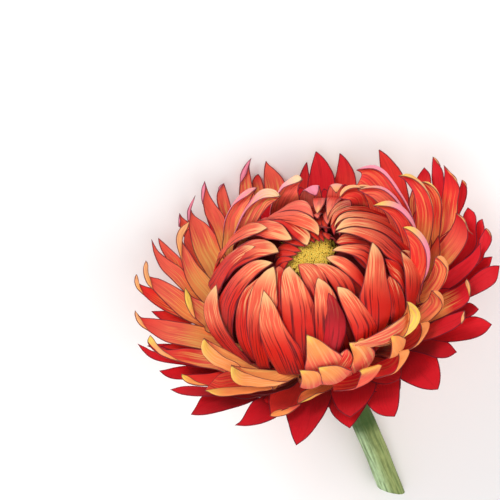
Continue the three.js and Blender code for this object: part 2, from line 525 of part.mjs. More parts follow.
// the stem leaves the receptacle along the axis and bends towards the front
const STEM_PATH = new THREE.CatmullRomCurve3([
  new THREE.Vector3(0, 0, -13.3), new THREE.Vector3(0.2, -0.9, -18), new THREE.Vector3(0.6, -3.3, -25), new THREE.Vector3(1.1, -6.3, -32),
  new THREE.Vector3(1.5, -9.0, -38), new THREE.Vector3(1.6, -11.6, -43),
], false, 'centripetal');
{
  const section = new THREE.Shape();
  const sides = 12;
  for (let i = 0; i <= sides; i++) {
    const a = (i % sides) * 2 * Math.PI / sides;
    const r = STEM_R;
    if (i === 0) section.moveTo(r * Math.cos(a), r * Math.sin(a)); else section.lineTo(r * Math.cos(a), r * Math.sin(a));
  }
  const g = new THREE.ExtrudeGeometry(section, { steps: 11, extrudePath: STEM_PATH, bevelEnabled: false });
  g.deleteAttribute('normal'); g.deleteAttribute('uv');
  addMesh('stem', outward(mergeVertices(g, 1e-4)), 'green');
}

// ---- lay the flower down ------------------------------------------------------
const spin = new THREE.Group();
spin.rotation.z = rad(REST_ROLL);
spin.add(head);
const lean = new THREE.Group();
// head axis to (0, -cos, sin): face forward and up, back bracts to the surface
const t = rad(REST_TILT);
lean.matrixAutoUpdate = false;
lean.matrix.set(
  -1, 0, 0, REST_LIFT[0],
  0, -Math.sin(t), -Math.cos(t), REST_LIFT[1],
  0, -Math.cos(t), Math.sin(t), REST_LIFT[2],
  0, 0, 0, 1,
);
lean.add(spin);
const flower = new THREE.Group();
flower.add(lean);

export default flower;
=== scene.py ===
"""Looks of the dried strawflower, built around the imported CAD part."""
import math

import bpy
import numpy as np
from mathutils import Matrix, Vector


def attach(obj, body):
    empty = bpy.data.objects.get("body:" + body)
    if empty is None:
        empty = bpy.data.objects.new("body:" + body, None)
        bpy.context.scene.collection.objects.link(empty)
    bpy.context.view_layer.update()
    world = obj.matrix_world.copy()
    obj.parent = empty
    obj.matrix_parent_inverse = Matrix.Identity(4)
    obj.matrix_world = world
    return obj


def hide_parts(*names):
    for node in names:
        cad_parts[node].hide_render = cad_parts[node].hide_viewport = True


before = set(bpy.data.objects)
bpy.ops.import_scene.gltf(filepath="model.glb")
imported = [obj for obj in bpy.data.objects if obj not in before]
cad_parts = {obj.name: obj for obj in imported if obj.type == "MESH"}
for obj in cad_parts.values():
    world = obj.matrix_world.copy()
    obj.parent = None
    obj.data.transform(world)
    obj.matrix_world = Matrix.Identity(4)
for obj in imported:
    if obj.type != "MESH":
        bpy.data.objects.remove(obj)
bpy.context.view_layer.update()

MM = 0.001
rad = math.radians

# ---- resting pose of the head: head frame (mm) to the row frame (m) ----------
# In the head frame Z runs up the head's axis, out of the disc, and +Y is its back.
TILT, ROLL = rad(40.549), rad(-0.412)
LIFT = np.array([-0.080, -7.959, 21.2252])
_st, _ct, _sr, _cr = math.sin(TILT), math.cos(TILT), math.sin(ROLL), math.cos(ROLL)
TURN = np.array([[-1, 0, 0], [0, -_st, -_ct], [0, -_ct, _st]]) @ np.array([[_cr, -_sr, 0], [_sr, _cr, 0], [0, 0, 1]])


def to_world(p):
    return (np.asarray(p, float) @ TURN.T + LIFT) * MM


def unit(v):
    v = np.asarray(v, float)
    return v / np.maximum(np.linalg.norm(v, axis=-1, keepdims=True), 1e-9)


def smooth(x):
    x = np.clip(x, 0, 1)
    return x * x * (3 - 2 * x)


# Direction, in the head frame, in which the curled margins fold up over the face.
FACING = np.array([0, -math.cos(rad(50)), math.sin(rad(50))])


def stations(n, dense=1.25):
    t = np.linspace(0, 1, n)
    return 1 - (1 - t) ** dense


# ---- the nested shells that the bracts lie on (same as the CAD) ---------------
def zipped(f, b):
    return np.array([(*p, *q) for p, q in zip(f, b)], float)


SHELLS = {
    "E": zipped([(12, -2.55), (16, -.75), (18.6, 1.0), (19.6, 3.9), (19.0, 6.9), (17.1, 9.5), (14.6, 11.6), (12.1, 13.3), (9.9, 14.6), (8.0, 15.3), (6.4, 15.3), (5.1, 14.6)],
                [(12, -2.55), (16, -.25), (18.3, 1.5), (18.6, 4.4), (17.6, 7.2), (15.7, 9.7), (13.3, 11.8), (11.0, 13.4), (9.0, 14.7), (7.4, 15.35), (6.0, 15.3), (4.8, 14.6)]),
    "Fo": zipped([(12, -1.75), (15.6, .1), (17.9, 1.5), (18.8, 3.95), (18.2, 6.65), (16.5, 8.95), (14.1, 10.95), (11.65, 12.6), (9.55, 13.85), (7.85, 14.5), (6.5, 14.5), (5.4, 13.8)],
                 [(12, -1.75), (15.6, .55), (17.6, 2.0), (17.8, 4.45), (16.85, 6.9), (15.1, 9.1), (12.8, 11.1), (10.6, 12.7), (8.7, 13.95), (7.25, 14.55), (6.1, 14.5), (5.1, 13.8)]),
    "Fi": zipped([(12, -.95), (15.2, .9), (17.2, 2.0), (18.0, 4.0), (17.45, 6.4), (15.9, 8.4), (13.6, 10.3), (11.2, 11.9), (9.2, 13.1), (7.7, 13.7), (6.6, 13.7), (5.8, 13.0)],
                 [(12, -.95), (15.2, 1.3), (16.9, 2.5), (17.0, 4.5), (16.1, 6.6), (14.6, 8.5), (12.35, 10.45), (10.2, 12.0), (8.4, 13.2), (7.1, 13.75), (6.25, 13.7), (5.5, 13.0)]),
    "C2": zipped([(12, -3.4), (16.4, -1.6), (19.3, .3), (20.6, 3.8), (20.0, 7.3), (18.0, 10.2), (15.3, 12.4)],
                 [(12, -3.4), (16.4, -1.15), (19.0, .8), (19.6, 4.4), (18.6, 7.7), (16.6, 10.4), (14.0, 12.6)]),
    "C1": zipped([(12, -4.25), (16.6, -2.2), (20, -.75), (22.6, 1.0), (24.2, 3.6), (24.6, 6.6), (23.6, 9.2), (21.8, 11)],
                 [(12, -4.25), (16.6, -1.6), (19.8, .4), (21.3, 3.4), (22.4, 6.8), (22.5, 9.8), (21.0, 11.8), (19.0, 13.0)]),
    "P": zipped([(7, -13.0), (10, -11.4), (13, -9.9), (16.5, -8.5), (19.5, -7.5)],
                [(7, -13.0), (10, -11.4), (13, -9.9), (16.5, -8.2), (19.5, -6.9)]),
}
SPREAD_TIPS = [(31, -4.8, 4.2), (31, -2.9, 5.8), (31, -.9, 7.3), (30.5, 1.2, 8.8), (29.5, 3.4, 10.4)]
SPREAD_R = np.array([12, 16, 20, 22.5, 25, 27.5, 30, 32.5, 34.5])
PROPS = [(65, 3.1), (116, 3.1)]


def spread_z(k, r, phi):
    b = (1 + np.sin(phi)) / 2
    z0 = -8.85 + .75 * k
    z1 = (-5.6 + .8 * k) * (1 - b) + (-4.1 + .76 * k) * b
    rt, zf, zb = SPREAD_TIPS[k]
    zt = zf * (1 - b) + zb * b
    t = (r - 20) / (rt - 20)
    z = np.where(r <= 20, z0 + (z1 - z0) * (r - 12) / 8, z1 + (zt - z1) * (.7 * t + .3 * t * t))
    if k == 0:
        out = np.clip((r - 20) / 11, 0, 1)
        w = np.zeros_like(z)
        for a, d in PROPS:
            da = np.arctan2(np.sin(phi - rad(a)), np.cos(phi - rad(a)))
            w = np.maximum(w, 1 - (da / rad(17)) ** 2)
        z = z - 3.8 * w * out * out * (3 - 2 * out)
    return z


def catmull(P, t):
    """Points of a smooth curve through P at parameter t, from 0 to len(P) - 1."""
    P = np.asarray(P, float)
    n = len(P)
    t = np.clip(np.atleast_1d(t), 0, n - 1 - 1e-9)
    i = np.floor(t).astype(int)
    f = (t - i)[:, None]
    get = lambda k: np.where((k < 0)[:, None], 2 * P[0] - P[1], np.where((k > n - 1)[:, None], 2 * P[-1] - P[-2], P[np.clip(k, 0, n - 1)]))
    a, b, c, d = get(i - 1), get(i), get(i + 1), get(i + 2)
    return .5 * (2 * b + (c - a) * f + (2 * a - 5 * b + 4 * c - d) * f ** 2 + (3 * b - a - 3 * c + d) * f ** 3)


def shell_point(name, s, phi):
    s, phi = np.broadcast_arrays(np.asarray(s, float), np.asarray(phi, float))
    if name[0] == "S":
        r = s
        z = spread_z(int(name[1]), r, phi)
        return np.stack([r * np.cos(phi), r * np.sin(phi), z], -1)
    K = catmull(SHELLS[name], s.ravel()).reshape(*s.shape, 4)
    b = (1 + np.sin(phi)) / 2
    r = K[..., 0] * (1 - b) + K[..., 2] * b
    z = K[..., 1] * (1 - b) + K[..., 3] * b
    up = 0 if name == "P" else np.maximum(z - 3, 0)
    return np.stack([r * np.cos(phi) + .07 * up, r * np.sin(phi) + .05 * up, z], -1)


def shell_normal(name, s, phi, sign=1):
    e = .05
    a, b = shell_point(name, s - e, phi), shell_point(name, s + e, phi)
    c, d = shell_point(name, s, phi - .01), shell_point(name, s, phi + .01)
    return unit(np.cross(b - a, d - c)) * sign


def mid_angle(pts, s, spread):
    """Angle round the head of a bract's mid-line at place s along its shell."""
    (a, pa), (b, pb), (c, pc) = [(q[0], rad(q[1])) for q in pts]
    s = np.asarray(s, float)
    slope = (pb - pa) / max(b - a, 1 if spread else .4)
    reach = 4 if spread else 1.5
    d = np.minimum(a - s, reach)
    low = pa - slope * (d - d * d / (2 * reach)) * .6
    if b - a < .25 or c - b < .25:
        high = pa + (pc - pa) * (s - a) / max(c - a, .5)
    else:
        high = (pa * (s - b) * (s - c) / ((a - b) * (a - c)) + pb * (s - a) * (s - c) / ((b - a) * (b - c))
                + pc * (s - a) * (s - b) / ((c - a) * (c - b)))
    return np.where(s <= a, low, high)


# ---- colours ------------------------------------------------------------------
def lin(rgb):
    c = np.array(rgb, float) / 255
    return np.where(c <= .04045, c / 12.92, ((c + .055) / 1.055) ** 2.4)


# tone R is a salmon paler than the bracts' own colour: painted light for the flaps that lie in shade
TONES = {k: lin(v) for k, v in {
    "A": (158, 8, 22), "B": (192, 12, 30), "C": (216, 20, 36), "D": (234, 52, 44), "E": (246, 98, 78),
    "F": (253, 154, 84), "G": (254, 210, 90), "H": (248, 142, 166), "I": (252, 178, 118), "J": (240, 122, 78),
    "K": (96, 18, 14), "L": (158, 34, 22), "M": (210, 26, 8), "N": (234, 88, 60), "O": (253, 200, 136),
    "P": (220, 50, 24), "Q": (128, 14, 8), "W": (254, 216, 166), "R": (255, 122, 104)}.items()}
STREAK_PALE = lin((254, 184, 100))
STREAK_DARK = lin((104, 0, 6))
rng = np.random.default_rng(41)


# ---- one papery bract as a closed thin sheet ----------------------------------
WIDE = {
    "S": [(0, .58), (.2, .74), (.42, .93), (.6, 1.0), (.7, 1), (.8, .88), (.88, .66), (.94, .40), (.98, .17), (1, .03)],
    "C": [(0, .50), (.25, .74), (.5, .97), (.64, 1), (.76, .88), (.86, .64), (.93, .40), (.98, .17), (1, .03)],
    "D": [(0, .55), (.25, .80), (.5, 1), (.66, .95), (.8, .76), (.9, .48), (.96, .25), (1, .04)],
    "P": [(0, .60), (.3, .92), (.52, 1), (.7, .86), (.85, .56), (.95, .24), (1, .04)],
}


def pchip(tab, u):
    x, y = np.array([t[0] for t in tab]), np.array([t[1] for t in tab])
    h, d = np.diff(x), np.diff(y) / np.diff(x)
    m = np.zeros(len(x))
    for i in range(1, len(x) - 1):
        if d[i - 1] * d[i] > 0:
            w1, w2 = 2 * h[i] + h[i - 1], h[i] + 2 * h[i - 1]
            m[i] = (w1 + w2) / (w1 / d[i - 1] + w2 / d[i])
    m[0], m[-1] = d[0], d[-1]
    u = np.clip(u, 0, 1)
    i = np.clip(np.searchsorted(x, u, side="right") - 1, 0, len(x) - 2)
    t = (u - x[i]) / h[i]
    return ((2 * t ** 3 - 3 * t ** 2 + 1) * y[i] + (t ** 3 - 2 * t ** 2 + t) * h[i] * m[i]
            + (-2 * t ** 3 + 3 * t ** 2) * y[i + 1] + (t ** 3 - t ** 2) * h[i] * m[i + 1])


def outward(co, faces):
    """The same faces wound so that a closed mesh has its normals outside."""
    v = 0.0
    a = co[faces[:, 0]]
    for k in range(1, faces.shape[1] - 1):
        v += float((a * np.cross(co[faces[:, k]], co[faces[:, k + 1]])).sum())
    return faces if v >= 0 else faces[:, ::-1]


class Sheets:
    """Collects closed thin sheets that become one mesh."""

    def __init__(self):
        self.co, self.faces, self.rims, self.n = [], [], [], 0
        self.base, self.streak, self.par, self.mix = [], [], [], []

    def add(self, co, faces, rims, base, streak, par, mix):
        if rims is not None:
            faces = outward(co - co.mean(0), faces)
        self.co.append(co); self.faces.append(faces + self.n)
        if rims is not None:
            self.rims.append(rims + self.n)
        for lst, v in ((self.base, base), (self.streak, streak), (self.par, par), (self.mix, mix)):
            lst.append(np.broadcast_to(v, (len(co), 3)))
        self.n += len(co)

    def make(self, name, material):
        co = to_world(np.concatenate(self.co))
        faces = np.concatenate(self.faces)
        me = bpy.data.meshes.new(name)
        me.vertices.add(len(co)); me.vertices.foreach_set("co", co.astype(np.float32).ravel())
        me.loops.add(faces.size); me.loops.foreach_set("vertex_index", faces.ravel().astype(np.int32))
        k = faces.shape[1]
        me.polygons.add(len(faces))
        me.polygons.foreach_set("loop_start", np.arange(0, faces.size, k, dtype=np.int32))
        me.update(calc_edges=True)
        me.polygons.foreach_set("use_smooth", np.ones(len(faces), bool))
        if self.rims:
            r = np.concatenate(self.rims).astype(np.int64)
            key = np.minimum(r[:, 0], r[:, 1]) * len(co) + np.maximum(r[:, 0], r[:, 1])
            ev = np.empty(len(me.edges) * 2, np.int32); me.edges.foreach_get("vertices", ev)
            ev = ev.reshape(-1, 2).astype(np.int64)
            ek = ev.min(1) * len(co) + ev.max(1)
            sharp = np.isin(ek, key)
            at = me.attributes.new("sharp_edge", "BOOLEAN", "EDGE"); at.data.foreach_set("value", sharp)
        for nm, data in (("base", self.base), ("streak", self.streak)):
            at = me.attributes.new(nm, "FLOAT_COLOR", "POINT")
            d = np.concatenate(data); at.data.foreach_set("color", np.c_[d, np.ones(len(d))].astype(np.float32).ravel())
        for nm, data in (("par", self.par), ("mixes", self.mix)):
            at = me.attributes.new(nm, "FLOAT_VECTOR", "POINT"); at.data.foreach_set("vector", np.concatenate(data).astype(np.float32).ravel())
        me.validate(verbose=False)
        me.materials.append(material)
        ob = bpy.data.objects.new(name, me)
        bpy.context.scene.collection.objects.link(ob)
        return ob


_grid_cache = {}


def sheet_topology(nu, nv):
    if (nu, nv) not in _grid_cache:
        A = np.arange(nu * nv).reshape(nu, nv); B = A + nu * nv
        f = [np.stack([A[:-1, :-1], A[1:, :-1], A[1:, 1:], A[:-1, 1:]], -1).reshape(-1, 4),
             np.stack([B[:-1, :-1], B[:-1, 1:], B[1:, 1:], B[1:, :-1]], -1).reshape(-1, 4),
             np.stack([A[0, :-1], A[0, 1:], B[0, 1:], B[0, :-1]], -1),
             np.stack([A[-1, 1:], A[-1, :-1], B[-1, :-1], B[-1, 1:]], -1),
             np.stack([A[1:, 0], A[:-1, 0], B[:-1, 0], B[1:, 0]], -1),
             np.stack([A[:-1, -1], A[1:, -1], B[1:, -1], B[:-1, -1]], -1)]
        rims = []
        for G in (A, B):
            for line in (G[0], G[-1], G[:, 0], G[:, -1]):
                rims.append(np.stack([line[:-1], line[1:]], -1))
        _grid_cache[nu, nv] = np.concatenate(f), np.concatenate(rims)
    return _grid_cache[nu, nv]


def bract(sheets, mid, ref, half, u, cup, curl, curl_from, thick, inner, back, streak, opts, nv=15):
    """mid (n, 3) mid-line, ref (n, 3) towards the inner face, half (n) half width,
    cup (n) and curl (n, 2) cross-section angles for the left and right margins."""
    n = len(mid)
    T = unit(np.gradient(mid, axis=0))
    N = ref - (ref * T).sum(-1, keepdims=True) * T
    for i in range(n):
        if np.linalg.norm(N[i]) < .15:
            N[i] = N[i - 1] if i else N[i]
    N = unit(N)
    for _ in range(2):
        M = N.copy(); M[1:-1] = (N[:-2] + N[1:-1] * 2 + N[2:]) / 4
        N = unit(M - (M * T).sum(-1, keepdims=True) * T)
    roll = opts.get("roll", 0) * smooth(u * 1.6)
    B = np.cross(T, N)
    N, B = N * np.cos(roll)[:, None] + B * np.sin(roll)[:, None], B * np.cos(roll)[:, None] - N * np.sin(roll)[:, None]
    m = (nv - 1) // 2
    t = np.linspace(0, 1, m + 1)
    v = 1 - (1 - t) ** 1.3
    ph = rng.uniform(0, 6.28, 6)
    length = np.r_[0, np.cumsum(np.linalg.norm(np.diff(mid, axis=0), axis=1))]
    L = length[-1]
    cols = {}
    fine = np.linspace(0, 1, 65)
    for side, k in ((-1, 0), (1, 1)):
        vc = curl_from[k]
        edge = smooth((fine - vc) / max(1 - vc, .05))
        th = cup[:, None] * fine ** 1.2 * 1.0 + curl[:, k, None] * edge
        dl = np.diff(fine)
        cx = np.concatenate([np.zeros((n, 1)), np.cumsum((np.cos(th[:, 1:]) + np.cos(th[:, :-1])) / 2 * dl, 1)], 1)
        cz = np.concatenate([np.zeros((n, 1)), np.cumsum((np.sin(th[:, 1:]) + np.sin(th[:, :-1])) / 2 * dl, 1)], 1)
        wav = 1 + opts.get("ragged", .015) * (np.sin(length * 2.1 + ph[k]) + .6 * np.sin(length * 5.3 + ph[k + 2])) * smooth(u * 3)
        h = half * wav * (1 + .22 * np.minimum(np.abs(curl[:, k]), 2) * (.5 if curl[:, k].max() > .3 else 0))
        for j in range(m + 1):
            lat = np.array([np.interp(v[j], fine, row) for row in cx]) * h
            hei = np.array([np.interp(v[j], fine, row) for row in cz]) * h
            ang = np.array([np.interp(v[j], fine, row) for row in th])
            ruf = opts.get("ruffle", .10) * v[j] ** 2.5 * np.sin(length * 1.5 + ph[4 + k] + side) * smooth(u * 2) * np.minimum(half, 1.5)
            pleat = opts.get("pleat", .035) * np.sin(v[j] * h * 5.2 + ph[0]) * smooth(half * 1.4)
            P = mid + B * (side * lat)[:, None] + N * (hei + ruf + pleat)[:, None]
            nn = N * np.cos(ang)[:, None] - B * (side * np.sin(ang))[:, None]
            cols[side * j] = (P, nn, v[j] * h * side, (1 - v[j]) * h)
    order = list(range(-m, m + 1))
    P = np.stack([cols[j][0] for j in order], 1); NN = np.stack([cols[j][1] for j in order], 1)
    lat = np.stack([cols[j][2] for j in order], 1); ed = np.stack([cols[j][3] for j in order], 1)
    ed = np.minimum(ed, (L - length)[:, None] * .6 + .02)
    vv = np.abs(np.array(order) / m)[None, :] * np.ones((n, 1))
    th = (thick * (1 - .5 * vv ** 2) * (1 - .45 * u[:, None] ** 3))[..., None]
    co = np.concatenate([(P + NN * th / 2).reshape(-1, 3), (P - NN * th / 2).reshape(-1, 3)])
    faces, rims = sheet_topology(n, nv)
    U = u[:, None] * np.ones((1, nv))
    rnd = rng.uniform(0, 1)
    jit = 1 + rng.uniform(-.07, .07)

    def grade(tones, stops):
        a, b, c = (TONES[q] for q in tones)
        s0, s1, s2, s3 = stops
        w1 = smooth((U - s0) / (s1 - s0))[..., None]; w2 = smooth((U - s2) / (s3 - s2))[..., None]
        return ((a * (1 - w1) + b * w1) * (1 - w2) + c * w2) * jit
    fi = grade(inner, opts.get("in_stops", (.35, .62, .72, .98)))
    fb = grade(back, opts.get("back_stops", (.25, .6, .66, .96)))
    base = np.concatenate([fi.reshape(-1, 3), fb.reshape(-1, 3)])
    sin, sback = streak
    fall = 1 - smooth((U - .35) / .5)
    amt_i = sin * (.12 + .88 * fall); amt_b = sback * ((.15 + .85 * smooth((U - .42) / .25)) if opts.get("dome") else np.ones_like(U))
    dk = opts.get("dark", (0, 0))
    d_i = dk[0] * np.ones_like(U); d_b = dk[1] * (1 - smooth((U - .42) / .32) * .85)
    mix = np.stack([np.r_[amt_i.ravel(), amt_b.ravel()], np.r_[d_i.ravel(), d_b.ravel()], np.full(2 * U.size, rnd)], -1)
    par = np.stack([np.tile((length[:, None] * np.ones((1, nv))).ravel(), 2), np.tile(lat.ravel(), 2), np.tile(ed.ravel(), 2)], -1)
    s_in = np.broadcast_to(STREAK_PALE, (U.size, 3)); s_bk = np.broadcast_to(TONES[opts.get("back_streak", "G")], (U.size, 3))
    sheets.add(co, faces, rims, base, np.concatenate([s_in, s_bk]), par, mix)
    return co


def folded(sheets, row, n=34, thick=.2):
    """A curled bract given by three measured rails along its length.
    "fold": far margin, fold line, margin of the part folded back over the inner face.
    "hook": left margin, middle and right margin of a bract that shows its back."""
    name, shell, kind, (inner, back), st, A, F, C = row
    A, F, C = (np.array(q, float) for q in (A, F, C))
    c0 = (A[0] + F[0] + C[0]) / 3
    r0, phi0 = math.hypot(c0[0], c0[1]), math.atan2(c0[1], c0[0])
    er = np.array([math.cos(phi0), math.sin(phi0), 0])
    up = np.array([0, 0, 1.0])
    pre = []
    if kind == "hook" and shell == "C1":
        pre = [er * 12 - up * 3.6, er * 16 - up * 1.7, c0 - er * 4 - up * 2.6, c0 - er * 1.6 - up]
    else:
        for s in (0, 1, 2, 3) if shell[0] != "S" else (11.8, 14):
            b = shell_point(shell, s, phi0)
            if c0[2] - b[2] > (1.0 if s < 3 else 1.6) or shell[0] == "S":
                pre.append(er * min(math.hypot(b[0], b[1]), r0 - .12 * (c0[2] - b[2])) + up * b[2])
    k = len(pre)
    if k:
        f = np.linspace(.8, 1, k)[:, None]
        A, F, C = (np.concatenate([np.array(pre) + (p[0] - c0) * f, q]) for q, p in ((A, A), (F, F), (C, F if kind == "fold" else C)))
    ts = np.linspace(0, len(A) - 1, 400)
    mid = (catmull(A, ts) + catmull(F, ts) + catmull(C, ts)) / 3
    d = np.r_[0, np.cumsum(np.linalg.norm(np.diff(mid, axis=0), axis=1))]
    u = stations(n, 1.25)
    t = np.interp(u * d[-1] * .997, d, ts)
    a, f, c = catmull(A, t), catmull(F, t), catmull(C, t)
    L = d[-1]
    length = u * L
    ph = rng.uniform(0, 6.28, 4)
    if kind == "fold":
        m = 8
        w1 = np.linalg.norm(f - a, axis=1); w2 = np.linalg.norm(c - f, axis=1)
        fade = smooth((t - k * .6) / max(1.5, .4 * k))
        w = (np.clip(.38 * np.minimum(w1, w2 * 1.4), .05, .8) * (.3 + .7 * fade))[:, None]
        m1 = FACING * w * 2
        x = np.linspace(0, 1, m + 1)
        h = lambda q: (2 * q ** 3 - 3 * q ** 2 + 1, q ** 3 - 2 * q ** 2 + q, -2 * q ** 3 + 3 * q ** 2, q ** 3 - q ** 2)
        cols = []
        for q in 1 - (1 - x) ** 1.35:
            p, r, s, v = h(q)
            cols.append(p * a + r * (f - a) + s * f + v * m1)
        for q in (x ** 1.35)[1:]:
            p, r, s, v = h(q)
            cols.append(p * f + r * m1 + s * c + v * ((c - f) * .7 - m1 * .5))
        fold_at = m
    else:
        x = np.linspace(0, 1, 15)
        cols = [a * (1 - q) * (1 - 2 * q) + f * 4 * q * (1 - q) + c * q * (2 * q - 1) for q in x]
        fold_at = None
    P = np.stack(cols, 1)
    nv = P.shape[1]
    j = np.arange(nv)
    wav = .05 * np.sin(length * 1.9 + ph[0])[:, None] * np.sin(j * 1.1 + ph[1])[None, :] + .03 * np.sin(length * 4.3 + ph[2])[:, None]
    P = P + FACING * (wav * smooth(u * 2)[:, None])[..., None]
    Pu = np.gradient(P, axis=0); Pv = np.gradient(P, axis=1)
    N = unit(np.cross(Pu, Pv))
    if kind == "fold":
        s = np.sign((N[k + 2:, 1:m - 1] @ FACING).sum() + 1e-9)
    elif kind == "flap":
        s = np.sign((N[k:k + 6, 4:11] @ FACING).sum() + 1e-9)
    else:
        s = -np.sign((N[k + 1:] @ FACING).sum() + 1e-9)
    N = N * s
    for i in range(2):
        N[1:-1] = unit(N[:-2] + 2 * N[1:-1] + N[2:])
    across = np.concatenate([np.zeros((n, 1)), np.cumsum(np.linalg.norm(np.diff(P, axis=1), axis=2), 1)], 1)
    ed = np.minimum(across, across[:, -1:] - across)
    if fold_at is not None:
        ed = np.minimum(ed, np.abs(across - across[:, fold_at:fold_at + 1]) + .03)
    ed = np.minimum(ed, (L - length)[:, None] * .6 + .02)
    lat = across - across[:, nv // 2:nv // 2 + 1]
    th = thick * (1 - .4 * u[:, None] ** 3) * np.minimum(1, .35 + ed * 2.2)
    co = np.concatenate([(P + N * th[..., None] / 2).reshape(-1, 3), (P - N * th[..., None] / 2).reshape(-1, 3)])
    faces, rims = sheet_topology(n, nv)
    U = u[:, None] * np.ones((1, nv))
    jit = 1 + rng.uniform(-.06, .06)

    def grade(tones, stops):
        p, q, r = (TONES[z] for z in tones)
        g1 = smooth((U - stops[0]) / (stops[1] - stops[0]))[..., None]; g2 = smooth((U - stops[2]) / (stops[3] - stops[2]))[..., None]
        return ((p * (1 - g1) + q * g1) * (1 - g2) + r * g2) * jit
    lo = d[np.searchsorted(ts, k)] / L if k else 0
    sp = lambda x: lo + (1 - lo) * x
    base = np.concatenate([grade(inner, (sp(.05), sp(.45), sp(.6), 1)).reshape(-1, 3), grade(back, (sp(.1), sp(.5), sp(.66), sp(.98))).reshape(-1, 3)])
    mix = np.stack([np.full(2 * U.size, st), np.r_[np.full(U.size, .3), np.full(U.size, .08)], np.full(2 * U.size, rng.uniform(0, 1))], -1)
    par = np.stack([np.tile((length[:, None] * np.ones((1, nv))).ravel(), 2), np.tile(lat.ravel(), 2), np.tile(ed.ravel(), 2)], -1)
    s_in = np.broadcast_to(STREAK_PALE, (U.size, 3)); s_bk = np.broadcast_to(TONES["I"], (U.size, 3))
    sheets.add(co, faces, rims, base, np.concatenate([s_in, s_bk]), par, mix)


TURNED = ("Fd21", "Fd22", "Fd23")


def outlined(sheets, row, back_out=True, n=34, nv=15, thick=.2):
    """A bract given by its left margin, mid-line and right margin from base to tip.
    The first k points of each are the part of the base hidden under its neighbours."""
    name, shell, k, tones, A, F, C = row
    A, F, C = (np.array(q, float) for q in (A, F, C))
    ts = np.linspace(0, len(A) - 1, 400)
    mid = catmull(F, ts)
    d = np.r_[0, np.cumsum(np.linalg.norm(np.diff(mid, axis=0), axis=1))]
    L = d[-1]
    small = len(A) - k < 7 and k == 0 and L < 12
    u = stations(n if not small else 16, 1.2)
    t = np.interp(u * L * .998, d, ts)
    a, f, c = catmull(A, t), catmull(F, t), catmull(C, t)
    length = u * L
    lo = d[np.searchsorted(ts, k)] / L if k else 0
    ph = rng.uniform(0, 6.28, 4)
    q = np.linspace(-1, 1, nv)
    q = (np.sign(q) * (1 - (1 - np.abs(q)) ** 1.25) + 1) / 2
    P = np.stack([a * (1 - x) * (1 - 2 * x) + f * 4 * x * (1 - x) + c * x * (2 * x - 1) for x in q], 1)
    j = np.arange(nv)
    wav = .05 * np.sin(length * 1.7 + ph[0])[:, None] * np.sin(j * 1.1 + ph[1])[None, :]
    P = P + FACING * (wav * smooth(u * 2)[:, None] * (1 - smooth((u[:, None] - .8) / .2)))[..., None]
    N = unit(np.cross(np.gradient(P, axis=0), np.gradient(P, axis=1)))
    s = np.sign((N[int(len(u) * lo * .8):, 3:-3] @ FACING).sum() + 1e-9) * (-1 if back_out else 1)
    N = N * s
    for i in range(2):
        N[1:-1] = unit(N[:-2] + 2 * N[1:-1] + N[2:])
    across = np.concatenate([np.zeros((len(u), 1)), np.cumsum(np.linalg.norm(np.diff(P, axis=1), axis=2), 1)], 1)
    ed = np.minimum(across, across[:, -1:] - across)
    ed = np.minimum(ed, (L - length)[:, None] * .6 + .02)
    lat = across - across[:, nv // 2:nv // 2 + 1]
    th = thick * (1 - .4 * u[:, None] ** 3) * np.minimum(1, .35 + ed * 2.2)
    co = np.concatenate([(P + N * th[..., None] / 2).reshape(-1, 3), (P - N * th[..., None] / 2).reshape(-1, 3)])
    faces, rims = sheet_topology(len(u), nv)
    V = np.clip((u - lo) / (1 - lo), 0, 1)[:, None] * np.ones((1, nv))
    jit = 1 + rng.uniform(-.05, .05)

    def grade(tn, stops):
        p0, p1, p2 = (TONES[z] for z in tn)
        g1 = smooth((V - stops[0]) / (stops[1] - stops[0]))[..., None]; g2 = smooth((V - stops[2]) / (stops[3] - stops[2]))[..., None]
        return ((p0 * (1 - g1) + p1 * g1) * (1 - g2) + p2 * g2) * jit
    if back_out:
        inner, back = grade("MMN", (.3, .6, .7, 1)), grade(tones, (.30, .64, .74, 1))
        # painted shade: the back darkens towards the base, where it goes under its neighbours
        back = back * ((.66 if lo > 0 and C[-1][1] < 9 else .95) + (.34 if lo > 0 and C[-1][1] < 9 else .05) * smooth(V / .22))[..., None]
        pale = .62 * smooth((V - .48) / .25) * (1 - .45 * smooth((V - .85) / .12))
        dark = .95 * (1 - smooth((V - .40) / .28))
        if tones[2] == "B":
            pale, dark = pale * .1, .95 * (1 - smooth((V - .62) / .25))
        mi, mb = np.stack([V * 0 + .1, V * 0 + .2], -1), np.stack([pale, dark], -1)
        s_in, s_bk = TONES["N"], TONES["O"]
        if name in TURNED:
            back = grade(tones, (.0, .4, .5, 1)); dark = dark * .35; mb = np.stack([pale * .6 + .1, dark], -1)
    else:
        inner, back = grade(tones, (.22, .50, .55, .95)), grade("EEF", (.2, .5, .6, 1))
        # painted shade: the inner face is a little darker at its base, where neighbours overlap it
        inner = inner * (.90 + .10 * smooth(V / .25))[..., None]
        has = tones[0] in "EF"
        pale = (1.0 if has else 0) * (1 - smooth((V - .30) / .42))
        mi, mb = np.stack([pale, V * 0 + .12], -1), np.stack([V * 0 + .2, V * 0 + .1], -1)
        s_in, s_bk = STREAK_PALE, TONES["G"]
    rnd = np.full((2 * V.size, 1), rng.uniform(0, 1))
    mix = np.concatenate([np.concatenate([mi.reshape(-1, 2), mb.reshape(-1, 2)]), rnd], 1)
    par = np.stack([np.tile((length[:, None] * np.ones((1, nv))).ravel(), 2), np.tile(lat.ravel(), 2), np.tile(ed.ravel(), 2)], -1)
    st = np.concatenate([np.broadcast_to(s_in, (V.size, 3)), np.broadcast_to(s_bk, (V.size, 3))])
    sheets.add(co, faces, rims, np.concatenate([inner.reshape(-1, 3), back.reshape(-1, 3)]), st, par, mix)


